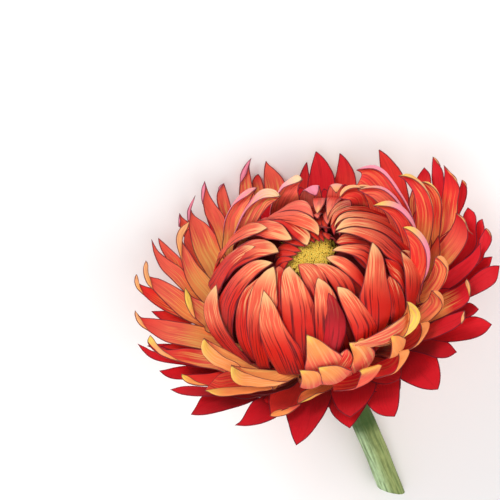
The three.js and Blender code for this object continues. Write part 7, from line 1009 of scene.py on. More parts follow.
     [(28.57, 16.17, 5.36), (28.34, 16.75, 5.61), (28.13, 17.38, 5.90), (27.76, 18.02, 6.20)],
     [(28.58, 16.15, 5.28), (28.19, 16.72, 5.47), (28.00, 17.35, 5.75), (27.76, 18.07, 6.14)]),
    ('R14s', 'S3', 0, 'IFI',
     [(30.38, 9.07, 7.34), (30.52, 9.96, 7.68), (30.25, 10.83, 7.95), (29.83, 11.64, 8.12), (29.48, 12.53, 8.35), (29.07, 13.36, 8.55)],
     [(30.47, 8.91, 7.44), (30.36, 9.83, 7.71), (30.09, 10.73, 7.95), (29.70, 11.54, 8.11), (29.39, 12.44, 8.36), (29.07, 13.31, 8.61)],
     [(30.56, 8.92, 7.34), (30.21, 9.86, 7.56), (29.93, 10.79, 7.77), (29.56, 11.60, 7.91), (29.31, 12.49, 8.19), (29.07, 13.36, 8.55)]),
    ('R13s', 'S1', 0, 'IFI',
     [(31.77, 9.81, 4.69), (31.95, 10.50, 5.04), (31.73, 11.07, 5.25), (31.37, 11.47, 5.30)],
     [(31.82, 9.68, 4.71), (31.79, 10.38, 5.05), (31.59, 10.96, 5.26), (31.37, 11.42, 5.37)],
     [(31.87, 9.65, 4.63), (31.64, 10.38, 4.90), (31.46, 10.97, 5.11), (31.37, 11.47, 5.30)]),
    ('R12s', 'S3', 0, 'III',
     [(30.16, -0.23, 3.56), (29.71, 0.71, 3.89), (29.71, 1.99, 4.32), (29.57, 3.32, 4.60), (29.03, 4.38, 4.64), (28.48, 5.11, 4.48)],
     [(30.14, -0.14, 3.65), (29.63, 0.80, 3.99), (29.58, 1.99, 4.35), (29.38, 3.22, 4.57), (28.90, 4.27, 4.62), (28.48, 5.06, 4.55)],
     [(30.12, 0.02, 3.67), (29.55, 0.98, 3.99), (29.45, 2.11, 4.26), (29.19, 3.26, 4.37), (28.77, 4.29, 4.44), (28.48, 5.11, 4.48)]),
    ('R9s', 'S1', 0, 'III',
     [(33.21, -1.46, 2.65), (33.29, -0.47, 2.90), (33.05, 0.34, 3.04), (32.68, 0.90, 3.03)],
     [(33.15, -1.39, 2.73), (33.13, -0.54, 2.89), (32.91, 0.25, 3.04), (32.68, 0.85, 3.09)],
     [(33.08, -1.22, 2.68), (32.97, -0.48, 2.73), (32.78, 0.28, 2.89), (32.68, 0.90, 3.03)]),
    ('R5s', 'S3', 0, 'FII',
     [(26.10, -11.89, 1.31), (26.56, -10.60, 1.54), (26.82, -9.34, 1.86), (26.69, -8.57, 1.98), (26.52, -8.16, 2.03)],
     [(26.06, -11.82, 1.40), (26.31, -10.64, 1.59), (26.42, -9.48, 1.86), (26.43, -8.70, 2.00), (26.52, -8.22, 2.09)],
     [(26.01, -11.60, 1.30), (26.06, -10.41, 1.33), (26.03, -9.30, 1.49), (26.16, -8.57, 1.72), (26.52, -8.16, 2.03)]),
    ('R4s', 'S4', 0, 'III',
     [(23.06, -19.84, 4.47), (23.76, -19.39, 4.90), (24.09, -18.71, 5.38), (24.28, -18.07, 5.69)],
     [(23.00, -19.77, 4.59), (23.47, -19.29, 4.92), (23.83, -18.67, 5.34), (24.28, -18.12, 5.75)],
     [(22.95, -19.64, 4.62), (23.19, -18.98, 4.69), (23.56, -18.42, 5.06), (24.28, -18.07, 5.69)]),
    ('B8', 'S1', 1, 'BCC',
     [(7.39, -9.64, -7.90), (8.07, -13.87, -6.38), (8.66, -17.86, -5.16), (10.27, -21.30, -4.22), (12.33, -24.15, -3.64), (14.10, -25.92, -3.00), (15.46, -26.90, -2.32)],
     [(9.00, -7.78, -8.10), (11.27, -10.94, -6.78), (12.71, -15.16, -5.28), (13.70, -19.48, -4.45), (14.60, -23.00, -3.80), (15.16, -25.34, -3.06), (15.46, -26.90, -2.32)],
     [(10.61, -5.93, -7.90), (14.47, -9.24, -5.72), (16.76, -13.46, -4.20), (17.13, -18.47, -3.71), (16.86, -22.46, -3.24), (16.22, -25.08, -2.73), (15.46, -26.90, -2.32)]),
    ('B7', 'S1', 2, 'CCC',
     [(2.57, -11.92, -7.90), (2.70, -14.67, -6.85), (2.18, -17.60, -5.72), (2.42, -21.01, -5.02), (2.66, -23.69, -4.30), (3.47, -26.07, -3.93), (4.80, -27.90, -3.54), (6.57, -29.20, -3.03)],
     [(5.00, -10.80, -8.10), (5.89, -13.25, -7.05), (6.41, -16.26, -6.08), (5.99, -20.29, -5.32), (5.63, -23.55, -4.64), (5.65, -26.08, -4.13), (5.96, -27.91, -3.62), (6.57, -29.20, -3.03)],
     [(7.42, -9.68, -7.90), (9.08, -11.83, -6.85), (10.64, -16.13, -4.98), (9.55, -20.49, -4.53), (8.60, -24.14, -4.11), (7.82, -26.65, -3.67), (7.12, -28.23, -3.35), (6.57, -29.20, -3.03)]),
    ('B6', 'S2', 2, 'BCC',
     [(-1.51, -12.10, -7.15), (-2.11, -14.77, -6.10), (-3.00, -17.97, -4.72), (-2.84, -22.05, -4.06), (-2.20, -24.43, -3.16), (-1.51, -25.88, -2.67), (-0.95, -26.80, -2.29)],
     [(1.16, -11.84, -7.35), (1.38, -14.43, -6.30), (1.24, -18.21, -4.97), (0.48, -22.01, -4.31), (-0.27, -24.40, -3.44), (-0.68, -25.82, -2.79), (-0.95, -26.80, -2.29)],
     [(3.83, -11.58, -7.15), (4.88, -14.10, -6.10), (5.48, -19.54, -3.91), (3.79, -22.79, -3.58), (1.67, -24.92, -3.07), (0.16, -26.04, -2.59), (-0.95, -26.80, -2.29)]),
    ('B5', 'S0', 1, 'BBC',
     [(-2.76, -12.04, -8.65), (-3.70, -11.94, -8.03), (-3.96, -17.67, -6.94), (-3.94, -21.56, -5.85), (-3.05, -24.43, -5.39), (-1.71, -26.85, -5.15)],
     [(0.54, -11.89, -8.85), (0.44, -14.15, -8.21), (-0.45, -19.11, -7.01), (-1.38, -22.49, -6.04), (-1.68, -24.87, -5.55), (-1.71, -26.85, -5.15)],
     [(3.85, -11.74, -8.65), (4.57, -18.37, -6.01), (3.05, -21.60, -5.81), (1.19, -23.99, -5.55), (-0.31, -25.63, -5.34), (-1.71, -26.85, -5.15)]),
    ('B3', 'S0', 2, 'BBC',
     [(-7.42, -9.67, -8.65), (-9.17, -11.74, -7.61), (-10.69, -13.98, -6.48), (-11.72, -18.31, -5.80), (-11.88, -21.75, -5.15), (-11.95, -24.83, -4.97), (-11.74, -27.20, -4.61)],
     [(-5.05, -10.77, -8.85), (-6.07, -13.17, -7.81), (-6.73, -14.80, -7.34), (-8.13, -18.94, -6.42), (-9.31, -22.24, -5.63), (-10.61, -25.10, -5.25), (-11.74, -27.20, -4.61)],
     [(-2.69, -11.88, -8.65), (-2.97, -14.60, -7.61), (-2.77, -16.83, -6.78), (-4.54, -20.45, -5.99), (-6.75, -23.35, -5.39), (-9.27, -25.71, -5.13), (-11.74, -27.20, -4.61)]),
    ('B1', 'S1', 1, 'ABC',
     [(-9.59, -7.27, -7.90), (-13.22, -11.03, -5.77), (-15.03, -13.60, -5.03), (-16.64, -15.00, -3.87), (-18.14, -16.92, -3.33), (-19.75, -19.11, -2.98), (-21.08, -20.45, -2.13)],
     [(-8.31, -8.52, -8.10), (-10.48, -11.21, -6.94), (-12.80, -14.99, -5.82), (-15.02, -17.09, -4.48), (-17.24, -18.67, -3.67), (-19.39, -19.91, -3.02), (-21.08, -20.45, -2.13)],
     [(-7.03, -9.76, -7.90), (-7.74, -12.29, -7.03), (-10.57, -17.18, -5.67), (-13.40, -19.84, -4.30), (-16.33, -20.91, -3.46), (-19.03, -20.95, -2.78), (-21.08, -20.45, -2.13)]),
    ('L26', 'S1', 1, 'AAB',
     [(-9.51, -7.25, -7.90), (-10.44, -7.79, -7.20), (-14.65, -9.22, -5.73), (-18.92, -10.21, -4.16), (-23.13, -10.94, -2.64), (-25.12, -12.26, -1.53), (-26.70, -14.55, -0.94), (-27.99, -16.66, -0.06)],
     [(-8.69, -8.12, -8.10), (-10.38, -9.26, -7.41), (-13.82, -10.72, -5.83), (-18.08, -12.24, -4.52), (-22.26, -13.18, -3.05), (-25.01, -14.21, -1.84), (-26.77, -15.54, -0.97), (-27.99, -16.66, -0.06)],
     [(-7.88, -9.00, -7.90), (-10.31, -11.60, -6.56), (-12.98, -12.91, -5.12), (-17.24, -14.87, -4.16), (-21.39, -15.98, -2.80), (-24.90, -16.61, -1.63), (-26.83, -16.77, -0.73), (-27.99, -16.66, -0.06)]),
    ('B2', 'S2', 2, 'DDD',
     [(-8.69, -8.44, -7.15), (-10.71, -10.21, -6.06), (-12.79, -12.96, -4.57), (-13.97, -16.14, -3.72), (-14.29, -18.79, -3.04), (-14.54, -20.74, -2.35)],
     [(-6.84, -9.74, -7.35), (-8.29, -11.90, -6.26), (-9.32, -13.50, -5.68), (-11.38, -16.97, -4.62), (-12.95, -19.07, -3.31), (-14.54, -20.74, -2.35)],
     [(-4.99, -11.04, -7.15), (-5.86, -13.59, -6.06), (-5.86, -15.01, -5.63), (-8.80, -18.50, -4.69), (-11.62, -19.72, -3.14), (-14.54, -20.74, -2.35)]),
    ('B2s', 'S2', 0, 'EFF',
     [(-8.88, -18.46, -4.49), (-10.06, -18.86, -3.98), (-11.48, -19.26, -3.49), (-12.93, -19.48, -2.90), (-14.03, -20.07, -2.53), (-14.62, -20.85, -2.13)],
     [(-8.88, -18.69, -4.47), (-9.99, -19.38, -3.92), (-11.52, -20.10, -3.38), (-13.16, -20.43, -2.69), (-14.14, -20.71, -2.30), (-14.62, -20.90, -2.07)],
     [(-8.87, -18.77, -4.63), (-9.92, -19.63, -4.19), (-11.57, -20.54, -3.74), (-13.40, -20.90, -3.04), (-14.26, -20.97, -2.51), (-14.62, -20.85, -2.13)]),
    ('L1', 'S4', 3, 'FEE',
     [(-8.57, 8.28, -5.65), (-10.44, 10.09, -4.21), (-12.14, 11.93, -2.77), (-13.83, 15.61, -0.50), (-13.95, 17.65, 1.19), (-13.98, 20.17, 3.51), (-14.53, 22.00, 5.41), (-14.33, 23.29, 6.82), (-14.18, 24.40, 7.96), (-13.60, 25.39, 8.91), (-12.71, 26.21, 9.71)],
     [(-8.13, 8.69, -5.85), (-9.90, 10.59, -4.41), (-11.51, 12.51, -2.97), (-12.93, 15.99, -0.89), (-12.92, 17.83, 0.45), (-12.84, 20.13, 2.36), (-12.89, 22.04, 4.23), (-13.22, 23.53, 5.97), (-13.39, 24.60, 7.44), (-13.16, 25.43, 8.64), (-12.71, 26.21, 9.71)],
     [(-7.69, 9.11, -5.65), (-9.37, 11.09, -4.21), (-10.88, 13.09, -2.77), (-12.02, 16.13, -1.02), (-11.89, 17.70, 0.09), (-11.71, 19.67, 1.70), (-11.25, 21.63, 3.59), (-12.10, 23.38, 5.58), (-12.60, 24.58, 7.19), (-12.72, 25.40, 8.45), (-12.71, 26.21, 9.71)]),
    ('L1s', 'S4', 0, 'HHH',
     [(-14.39, 23.31, 7.13), (-14.26, 24.17, 8.01), (-13.66, 25.27, 9.09), (-12.71, 26.05, 9.91)],
     [(-14.32, 23.34, 7.22), (-13.99, 24.14, 7.99), (-13.31, 25.17, 9.03), (-12.71, 25.99, 9.97)],
     [(-14.25, 23.45, 7.20), (-13.73, 24.23, 7.83), (-12.95, 25.19, 8.82), (-12.71, 26.05, 9.91)]),
    ('L2', 'S2', 5, 'EEE',
     [(-6.28, 10.14, -7.15), (-7.59, 12.39, -5.69), (-8.85, 14.55, -4.22), (-10.10, 16.71, -2.76), (-11.15, 19.00, -1.13), (-11.97, 22.31, 1.22), (-11.89, 24.42, 2.97), (-11.75, 25.78, 4.06), (-11.23, 26.82, 4.84), (-10.50, 27.47, 5.22), (-9.53, 27.97, 5.39)],
     [(-5.58, 10.51, -7.35), (-6.80, 12.81, -5.89), (-7.97, 15.02, -4.42), (-9.14, 17.23, -2.96), (-10.09, 19.55, -1.33), (-10.74, 22.51, 0.61), (-10.74, 24.64, 2.38), (-10.65, 25.84, 3.43), (-10.37, 26.91, 4.43), (-10.01, 27.53, 5.02), (-9.53, 27.97, 5.39)],
     [(-4.87, 10.89, -7.15), (-6.00, 13.23, -5.69), (-7.09, 15.48, -4.22), (-8.17, 17.74, -2.76), (-9.03, 20.10, -1.13), (-9.52, 22.37, 0.42), (-9.59, 24.50, 2.22), (-9.54, 25.58, 3.19), (-9.50, 26.78, 4.27), (-9.51, 27.50, 4.94), (-9.53, 27.97, 5.39)]),
    ('L2s', 'S2', 0, 'HHH',
     [(-11.01, 26.78, 5.03), (-10.68, 27.37, 5.43), (-10.04, 27.68, 5.60), (-9.46, 27.81, 5.60)],
     [(-10.93, 26.78, 5.09), (-10.55, 27.25, 5.41), (-9.97, 27.53, 5.56), (-9.46, 27.76, 5.66)],
     [(-10.85, 26.88, 5.04), (-10.42, 27.24, 5.25), (-9.91, 27.50, 5.39), (-9.46, 27.81, 5.60)]),
    ('L6', 'S3', 3, 'FEE',
     [(-10.21, 6.28, -6.40), (-12.42, 7.66, -4.99), (-14.50, 9.09, -3.57), (-17.19, 12.56, -1.24), (-17.89, 14.50, 0.10), (-18.49, 17.16, 2.03), (-18.33, 19.51, 3.72), (-17.92, 21.52, 5.17), (-17.82, 22.45, 5.79), (-17.30, 23.54, 6.50), (-16.40, 24.54, 6.98), (-15.13, 25.61, 7.39)],
     [(-9.34, 7.37, -6.60), (-11.38, 8.98, -5.19), (-13.27, 10.62, -3.77), (-15.24, 13.92, -2.07), (-15.50, 16.03, -0.79), (-15.97, 18.16, 0.72), (-16.13, 20.25, 2.49), (-16.39, 21.86, 4.12), (-17.04, 22.79, 5.24), (-16.97, 23.75, 6.21), (-16.13, 24.68, 6.88), (-15.13, 25.61, 7.39)],
     [(-8.48, 8.47, -6.40), (-10.34, 10.30, -4.99), (-12.05, 12.15, -3.57), (-13.28, 14.61, -2.11), (-13.10, 16.83, -0.80), (-13.46, 18.42, 0.28), (-13.92, 20.35, 2.01), (-14.87, 21.76, 3.59), (-16.25, 22.85, 5.02), (-16.64, 23.81, 6.10), (-15.85, 24.75, 6.86), (-15.13, 25.61, 7.39)]),
    ('L6s', 'S3', 0, 'HHH',
     [(-17.88, 22.09, 5.79), (-17.38, 23.41, 6.60), (-16.40, 24.43, 7.12), (-15.12, 25.47, 7.61)],
     [(-17.68, 22.00, 5.69), (-17.06, 23.39, 6.51), (-16.11, 24.47, 7.13), (-15.12, 25.42, 7.67)],
     [(-17.47, 22.06, 5.42), (-16.74, 23.47, 6.30), (-15.82, 24.59, 7.03), (-15.12, 25.47, 7.61)]),
    ('L7', 'S1', 5, 'EEE',
     [(-8.66, 8.19, -7.90), (-10.50, 10.03, -6.47), (-12.28, 11.79, -5.05), (-14.06, 13.55, -3.62), (-15.83, 15.31, -2.20), (-19.11, 20.51, 1.91), (-19.42, 22.08, 3.24), (-19.65, 23.03, 3.99), (-19.37, 23.90, 4.58), (-18.86, 24.74, 5.10)],
     [(-8.18, 8.64, -8.10), (-9.97, 10.53, -6.67), (-11.69, 12.34, -5.25), (-13.41, 14.16, -3.82), (-15.13, 15.97, -2.40), (-18.13, 20.90, 1.46), (-18.44, 22.46, 2.79), (-18.76, 23.35, 3.66), (-18.95, 24.05, 4.40), (-18.86, 24.74, 5.10)],
     [(-7.71, 9.09, -7.90), (-9.44, 11.03, -6.47), (-11.10, 12.90, -5.05), (-12.76, 14.77, -3.62), (-14.42, 16.64, -2.20), (-17.15, 21.01, 1.33), (-17.46, 22.55, 2.70), (-17.87, 23.45, 3.60), (-18.53, 24.09, 4.34), (-18.86, 24.74, 5.10)]),
    ('L7s', 'S1', 0, 'HHH',
     [(-19.79, 22.69, 4.02), (-19.42, 23.64, 4.67), (-18.85, 24.60, 5.32)],
     [(-19.68, 22.56, 4.01), (-19.23, 23.60, 4.70), (-18.85, 24.55, 5.38)],
     [(-19.57, 22.54, 3.88), (-19.04, 23.65, 4.61), (-18.85, 24.60, 5.32)]),
    ('L8', 'S3', 3, 'FEE',
     [(-11.36, 3.83, -6.40), (-13.84, 4.69, -5.03), (-16.19, 5.59, -3.65), (-19.36, 7.57, -1.80), (-19.74, 8.33, -1.40), (-20.77, 10.18, -0.24), (-21.41, 12.80, 1.37), (-21.20, 15.44, 2.93), (-21.09, 18.07, 4.56), (-20.65, 19.63, 5.25), (-19.55, 20.98, 5.52), (-17.54, 22.02, 5.30)],
     [(-10.72, 5.17, -6.60), (-13.06, 6.30, -5.23), (-15.27, 7.47, -3.85), (-18.05, 9.87, -2.16), (-18.43, 10.84, -1.61), (-19.18, 12.21, -0.67), (-19.99, 14.30, 0.89), (-20.23, 16.56, 2.61), (-20.50, 18.68, 4.16), (-19.94, 19.92, 4.80), (-18.86, 21.07, 5.17), (-17.54, 22.02, 5.30)],
     [(-10.07, 6.52, -6.40), (-12.28, 7.92, -5.03), (-14.35, 9.36, -3.65), (-16.74, 11.60, -1.84), (-17.11, 12.75, -1.10), (-17.59, 13.66, -0.42), (-18.58, 15.31, 0.99), (-19.25, 17.33, 2.73), (-19.91, 19.04, 4.07), (-19.23, 20.03, 4.57), (-18.18, 21.05, 4.95), (-17.54, 22.02, 5.30)]),
    ('L8s', 'S3', 0, 'FII',
     [(-21.21, 15.45, 3.07), (-21.15, 18.00, 4.66), (-20.68, 19.58, 5.34), (-19.55, 20.88, 5.63), (-17.50, 21.86, 5.51)],
     [(-21.13, 15.49, 3.16), (-20.55, 18.26, 4.56), (-19.96, 19.71, 5.06), (-18.85, 20.87, 5.40), (-17.50, 21.81, 5.57)],
     [(-21.05, 15.65, 3.11), (-19.96, 18.53, 4.44), (-19.23, 19.84, 4.79), (-18.15, 20.87, 5.14), (-17.50, 21.86, 5.51)]),
    ('L9', 'S2', 4, 'FEE',
     [(-9.82, 6.86, -7.15), (-11.90, 8.43, -5.73), (-13.92, 9.93, -4.32), (-15.81, 11.59, -2.90), (-17.88, 13.79, -1.34), (-18.58, 15.27, -0.23), (-19.28, 16.76, 0.89), (-19.65, 18.43, 2.13), (-19.70, 19.84, 3.00), (-18.77, 21.35, 3.78)],
     [(-8.91, 7.89, -7.35), (-10.86, 9.61, -5.93), (-12.73, 11.27, -4.52), (-14.47, 13.07, -3.10), (-16.23, 15.50, -1.68), (-16.93, 16.97, -0.55), (-17.73, 18.56, 0.75), (-18.26, 20.02, 2.06), (-18.72, 20.95, 3.09), (-18.77, 21.35, 3.78)],
     [(-8.01, 8.91, -7.15), (-9.81, 10.79, -5.73), (-11.55, 12.60, -4.32), (-13.13, 14.55, -2.90), (-14.57, 16.70, -1.42), (-15.27, 18.11, -0.22), (-16.17, 19.80, 1.27), (-16.87, 21.12, 2.58), (-17.75, 21.76, 3.53), (-18.77, 21.35, 3.78)]),
    ('L10', 'S0', 5, 'EEE',
     [(-10.46, 5.71, -8.65), (-12.71, 7.02, -7.28), (-14.88, 8.27, -5.90), (-17.04, 9.52, -4.53), (-19.21, 10.77, -3.34), (-22.49, 14.51, -0.88), (-23.00, 16.57, 0.46), (-23.55, 18.10, 1.46), (-24.02, 19.55, 2.49), (-24.09, 20.80, 3.32), (-23.91, 21.81, 3.90)],
     [(-10.10, 6.30, -8.85), (-12.30, 7.68, -7.48), (-14.42, 9.00, -6.10), (-16.54, 10.32, -4.73), (-18.66, 11.65, -3.54), (-21.57, 15.19, -1.16), (-22.12, 16.77, -0.22), (-22.30, 18.18, 0.72), (-23.21, 19.90, 2.12), (-23.68, 21.03, 3.14), (-23.91, 21.81, 3.90)],
     [(-9.73, 6.88, -8.65), (-11.89, 8.33, -7.28), (-13.97, 9.73, -5.90), (-16.04, 11.12, -4.53), (-18.12, 12.52, -3.34), (-20.64, 15.69, -1.20), (-21.23, 16.70, -0.58), (-21.05, 17.99, 0.31), (-22.40, 20.03, 2.02), (-23.27, 21.13, 3.12), (-23.91, 21.81, 3.90)]),
    ('L11', 'S2', 3, 'FEE',
     [(-11.53, 3.08, -7.15), (-14.05, 3.77, -5.81), (-16.45, 4.48, -4.46), (-20.09, 7.10, -2.38), (-20.89, 8.89, -1.33), (-22.30, 10.68, -0.07), (-23.80, 12.91, 1.78), (-25.12, 14.94, 3.48), (-25.48, 17.10, 5.14), (-25.35, 18.45, 6.00), (-25.10, 19.68, 6.69)],
     [(-11.23, 3.95, -7.35), (-13.68, 4.81, -6.01), (-16.02, 5.70, -4.66), (-19.07, 8.29, -2.80), (-19.99, 9.92, -1.75), (-21.58, 11.84, -0.37), (-22.60, 14.07, 1.46), (-24.12, 15.85, 3.15), (-24.98, 17.54, 4.82), (-25.13, 18.67, 5.88), (-25.10, 19.68, 6.69)],
     [(-10.92, 4.81, -7.15), (-13.31, 5.85, -5.81), (-15.58, 6.92, -4.46), (-18.04, 9.18, -2.86), (-19.09, 10.66, -1.82), (-20.87, 12.70, -0.31), (-21.40, 14.91, 1.54), (-23.11, 16.48, 3.16), (-24.48, 17.80, 4.71), (-24.90, 18.82, 5.84), (-25.10, 19.68, 6.69)]),
    ('L13', 'S2', 3, 'FED',
     [(-11.95, 0.67, -7.15), (-14.56, 0.84, -5.84), (-17.06, 1.19, -4.53), (-20.65, 2.58, -2.80), (-21.78, 3.88, -1.95), (-24.27, 5.75, -0.49), (-26.34, 8.58, 1.80), (-27.68, 10.84, 3.58), (-28.33, 12.10, 4.43), (-28.29, 13.80, 5.42), (-27.88, 15.01, 5.80), (-27.26, 15.85, 5.86)],
     [(-11.74, 1.96, -7.35), (-14.30, 2.39, -6.04), (-16.73, 3.01, -4.73), (-19.73, 4.72, -3.28), (-20.74, 5.92, -2.53), (-22.63, 7.68, -1.18), (-24.42, 9.89, 0.85), (-26.67, 12.04, 3.11), (-27.90, 12.88, 4.17), (-27.83, 14.10, 5.08), (-27.46, 15.19, 5.63), (-27.26, 15.85, 5.86)],
     [(-11.52, 3.25, -7.15), (-14.04, 3.95, -5.84), (-16.41, 4.82, -4.53), (-18.81, 6.37, -3.17), (-19.70, 7.45, -2.49), (-20.99, 9.08, -1.25), (-22.50, 10.76, 0.44), (-25.66, 12.93, 3.01), (-27.47, 13.47, 4.14), (-27.37, 14.27, 4.91), (-27.04, 15.29, 5.55), (-27.26, 15.85, 5.86)]),
    ('L13s', 'S2', 0, 'FII',
     [(-27.70, 10.72, 3.63), (-28.32, 11.81, 4.37), (-28.45, 13.20, 5.21), (-28.05, 14.56, 5.82), (-27.25, 15.71, 6.08)],
     [(-27.63, 10.74, 3.73), (-27.91, 12.19, 4.41), (-27.95, 13.56, 5.16), (-27.57, 14.71, 5.76), (-27.25, 15.65, 6.14)],
     [(-27.56, 10.86, 3.70), (-27.49, 12.65, 4.37), (-27.45, 13.98, 5.04), (-27.09, 14.92, 5.61), (-27.25, 15.71, 6.08)]),
    ('L14', 'S1', 4, 'EDD',
     [(-11.68, 2.43, -7.90), (-14.22, 3.01, -6.58), (-16.66, 3.57, -5.26), (-19.08, 4.23, -3.93), (-21.69, 5.04, -2.93), (-24.31, 6.29, -1.36), (-26.82, 7.82, 0.40), (-28.45, 9.18, 1.89), (-29.66, 10.70, 3.32), (-30.39, 11.86, 4.24), (-30.33, 12.99, 4.89), (-30.06, 13.70, 5.02), (-29.64, 14.25, 4.97)],
     [(-11.44, 3.26, -8.10), (-13.94, 3.97, -6.78), (-16.35, 4.66, -5.46), (-18.72, 5.45, -4.13), (-21.33, 6.53, -2.98), (-23.78, 7.85, -1.45), (-26.17, 9.29, 0.23), (-27.78, 10.60, 1.84), (-29.18, 11.62, 3.15), (-30.02, 12.42, 4.02), (-29.93, 13.34, 4.66), (-29.79, 13.86, 4.85), (-29.64, 14.25, 4.97)],
     [(-11.21, 4.10, -7.90), (-13.67, 4.94, -6.58), (-16.04, 5.75, -5.26), (-18.37, 6.67, -3.93), (-20.98, 7.75, -2.71), (-23.24, 9.10, -1.15), (-25.51, 10.42, 0.45), (-27.11, 11.72, 2.14), (-28.69, 12.33, 3.23), (-29.65, 12.82, 3.98), (-29.54, 13.54, 4.59), (-29.53, 13.93, 4.78), (-29.64, 14.25, 4.97)]),
    ('L14s', 'S1', 0, 'FII',
     [(-29.67, 10.59, 3.41), (-30.32, 11.56, 4.15), (-30.42, 12.65, 4.83), (-30.03, 13.54, 5.19), (-29.63, 14.10, 5.19)],
     [(-29.61, 10.62, 3.52), (-29.99, 11.87, 4.20), (-30.00, 12.86, 4.74), (-29.76, 13.58, 5.09), (-29.63, 14.05, 5.25)],
     [(-29.54, 10.82, 3.43), (-29.65, 12.25, 4.16), (-29.57, 13.11, 4.61), (-29.50, 13.66, 4.94), (-29.63, 14.10, 5.19)]),
    ('L16', 'S0', 5, 'DDC',
     [(-11.53, 3.06, -8.65), (-14.02, 3.80, -7.32), (-16.42, 4.51, -6.00), (-18.82, 5.22, -4.67), (-21.26, 5.78, -3.61), (-23.71, 6.02, -2.82), (-25.72, 6.31, -1.89), (-27.66, 6.88, -0.93), (-28.58, 7.71, -0.09), (-29.14, 8.61, 0.54)],
     [(-11.27, 3.82, -8.85), (-13.73, 4.65, -7.52), (-16.10, 5.45, -6.20), (-18.47, 6.26, -4.87), (-20.89, 6.91, -3.81), (-23.37, 7.42, -2.89), (-25.25, 7.61, -1.99), (-26.87, 7.89, -1.09), (-28.14, 8.27, -0.22), (-29.14, 8.61, 0.54)],
     [(-11.01, 4.58, -8.65), (-13.45, 5.50, -7.32), (-15.78, 6.40, -6.00), (-18.12, 7.29, -4.67), (-20.51, 8.04, -3.61), (-23.04, 8.50, -2.57), (-24.79, 8.64, -1.75), (-26.08, 8.68, -0.99), (-27.70, 8.70, -0.20), (-29.14, 8.61, 0.54)]),
    ('L17', 'S3', 3, 'FED',
     [(-11.75, -2.43, -6.40), (-14.32, -2.94, -5.14), (-16.88, -3.00, -3.86), (-19.20, -3.27, -2.89), (-22.76, -2.27, -0.87), (-25.79, -1.64, 1.02), (-28.49, -0.99, 2.88), (-30.75, 0.71, 5.19), (-31.71, 1.63, 6.21), (-32.12, 2.93, 6.89), (-31.80, 4.36, 7.20)],
     [(-11.87, -0.87, -6.60), (-14.46, -1.06, -5.34), (-16.98, -0.80, -4.06), (-18.65, -0.53, -3.52), (-21.71, 0.63, -1.63), (-24.73, 1.30, 0.26), (-27.48, 1.66, 2.26), (-30.02, 2.46, 4.51), (-31.36, 2.76, 5.77), (-31.79, 3.47, 6.64), (-31.80, 4.36, 7.20)],
     [(-11.98, 0.68, -6.40), (-14.60, 0.81, -5.14), (-17.08, 1.39, -3.86), (-18.10, 1.61, -3.44), (-20.66, 2.87, -1.62), (-23.67, 3.59, 0.26), (-26.46, 3.77, 2.27), (-29.28, 3.80, 4.32), (-31.00, 3.60, 5.67), (-31.47, 3.84, 6.59), (-31.80, 4.36, 7.20)]),
    ('L17s', 'S3', 0, 'EII',
     [(-30.70, 0.64, 5.20), (-31.54, 1.28, 5.88), (-32.05, 2.27, 6.62), (-32.12, 3.34, 7.16), (-31.79, 4.22, 7.42)],
     [(-30.66, 0.66, 5.26), (-31.30, 1.59, 5.89), (-31.68, 2.54, 6.50), (-31.81, 3.42, 7.03), (-31.79, 4.16, 7.48)],
     [(-30.63, 0.78, 5.21), (-31.05, 2.05, 5.72), (-31.31, 2.96, 6.20), (-31.49, 3.62, 6.76), (-31.79, 4.22, 7.42)]),
    ('L18', 'S3', 3, 'EDD',
     [(-10.33, -6.15, -6.40), (-12.60, -7.47, -5.20), (-15.08, -8.22, -3.99), (-18.58, -8.94, -2.53), (-21.24, -7.59, -1.27), (-24.02, -6.78, 0.03), (-26.97, -5.80, 1.87), (-29.60, -4.72, 3.59), (-30.94, -3.30, 4.85), (-31.33, -1.76, 5.34), (-30.57, -0.46, 5.08)],
     [(-11.00, -4.54, -6.60), (-13.40, -5.54, -5.40), (-15.94, -5.92, -4.19), (-18.03, -5.97, -3.44), (-20.46, -5.04, -2.17), (-23.39, -4.37, -0.63), (-26.16, -3.94, 1.22), (-29.07, -3.61, 2.88), (-30.43, -2.48, 4.37), (-30.85, -1.33, 5.04), (-30.57, -0.46, 5.08)],
     [(-11.66, -2.93, -6.40), (-14.20, -3.60, -5.20), (-16.79, -3.62, -3.99), (-17.48, -3.56, -3.67), (-19.69, -2.98, -2.48), (-22.77, -2.36, -0.81), (-25.34, -2.38, 0.92), (-28.53, -2.70, 2.41), (-29.92, -1.81, 4.08), (-30.36, -0.98, 4.84), (-30.57, -0.46, 5.08)]),
    ('L18s', 'S3', 0, 'FIG',
     [(-26.92, -5.86, 1.87), (-29.50, -4.75, 3.32), (-30.99, -3.31, 4.64), (-31.40, -1.86, 5.29), (-30.56, -0.60, 5.30)],
     [(-26.88, -5.88, 1.94), (-29.07, -4.43, 3.23), (-30.37, -2.98, 4.37), (-30.76, -1.65, 5.12), (-30.56, -0.65, 5.36)],
     [(-26.84, -5.79, 1.89), (-28.63, -3.96, 2.95), (-29.76, -2.52, 3.93), (-30.13, -1.33, 4.83), (-30.56, -0.60, 5.30)]),
    ('L19', 'S2', 4, 'CCC',
     [(-11.47, -3.33, -7.15), (-13.98, -4.00, -5.93), (-16.40, -4.64, -4.70), (-18.82, -5.29, -3.48), (-23.47, -5.74, -1.70), (-26.29, -5.36, -0.06), (-29.94, -4.58, 1.82), (-31.76, -3.85, 3.13), (-32.70, -2.59, 4.14), (-33.18, -1.18, 4.82)],
     [(-11.66, -2.37, -7.35), (-14.21, -2.88, -6.13), (-16.66, -3.38, -4.90), (-19.11, -3.88, -3.68), (-23.12, -4.04, -2.07), (-25.81, -3.72, -0.51), (-29.18, -3.14, 1.37), (-31.29, -2.91, 2.71), (-32.41, -2.09, 3.94), (-33.18, -1.18, 4.82)],
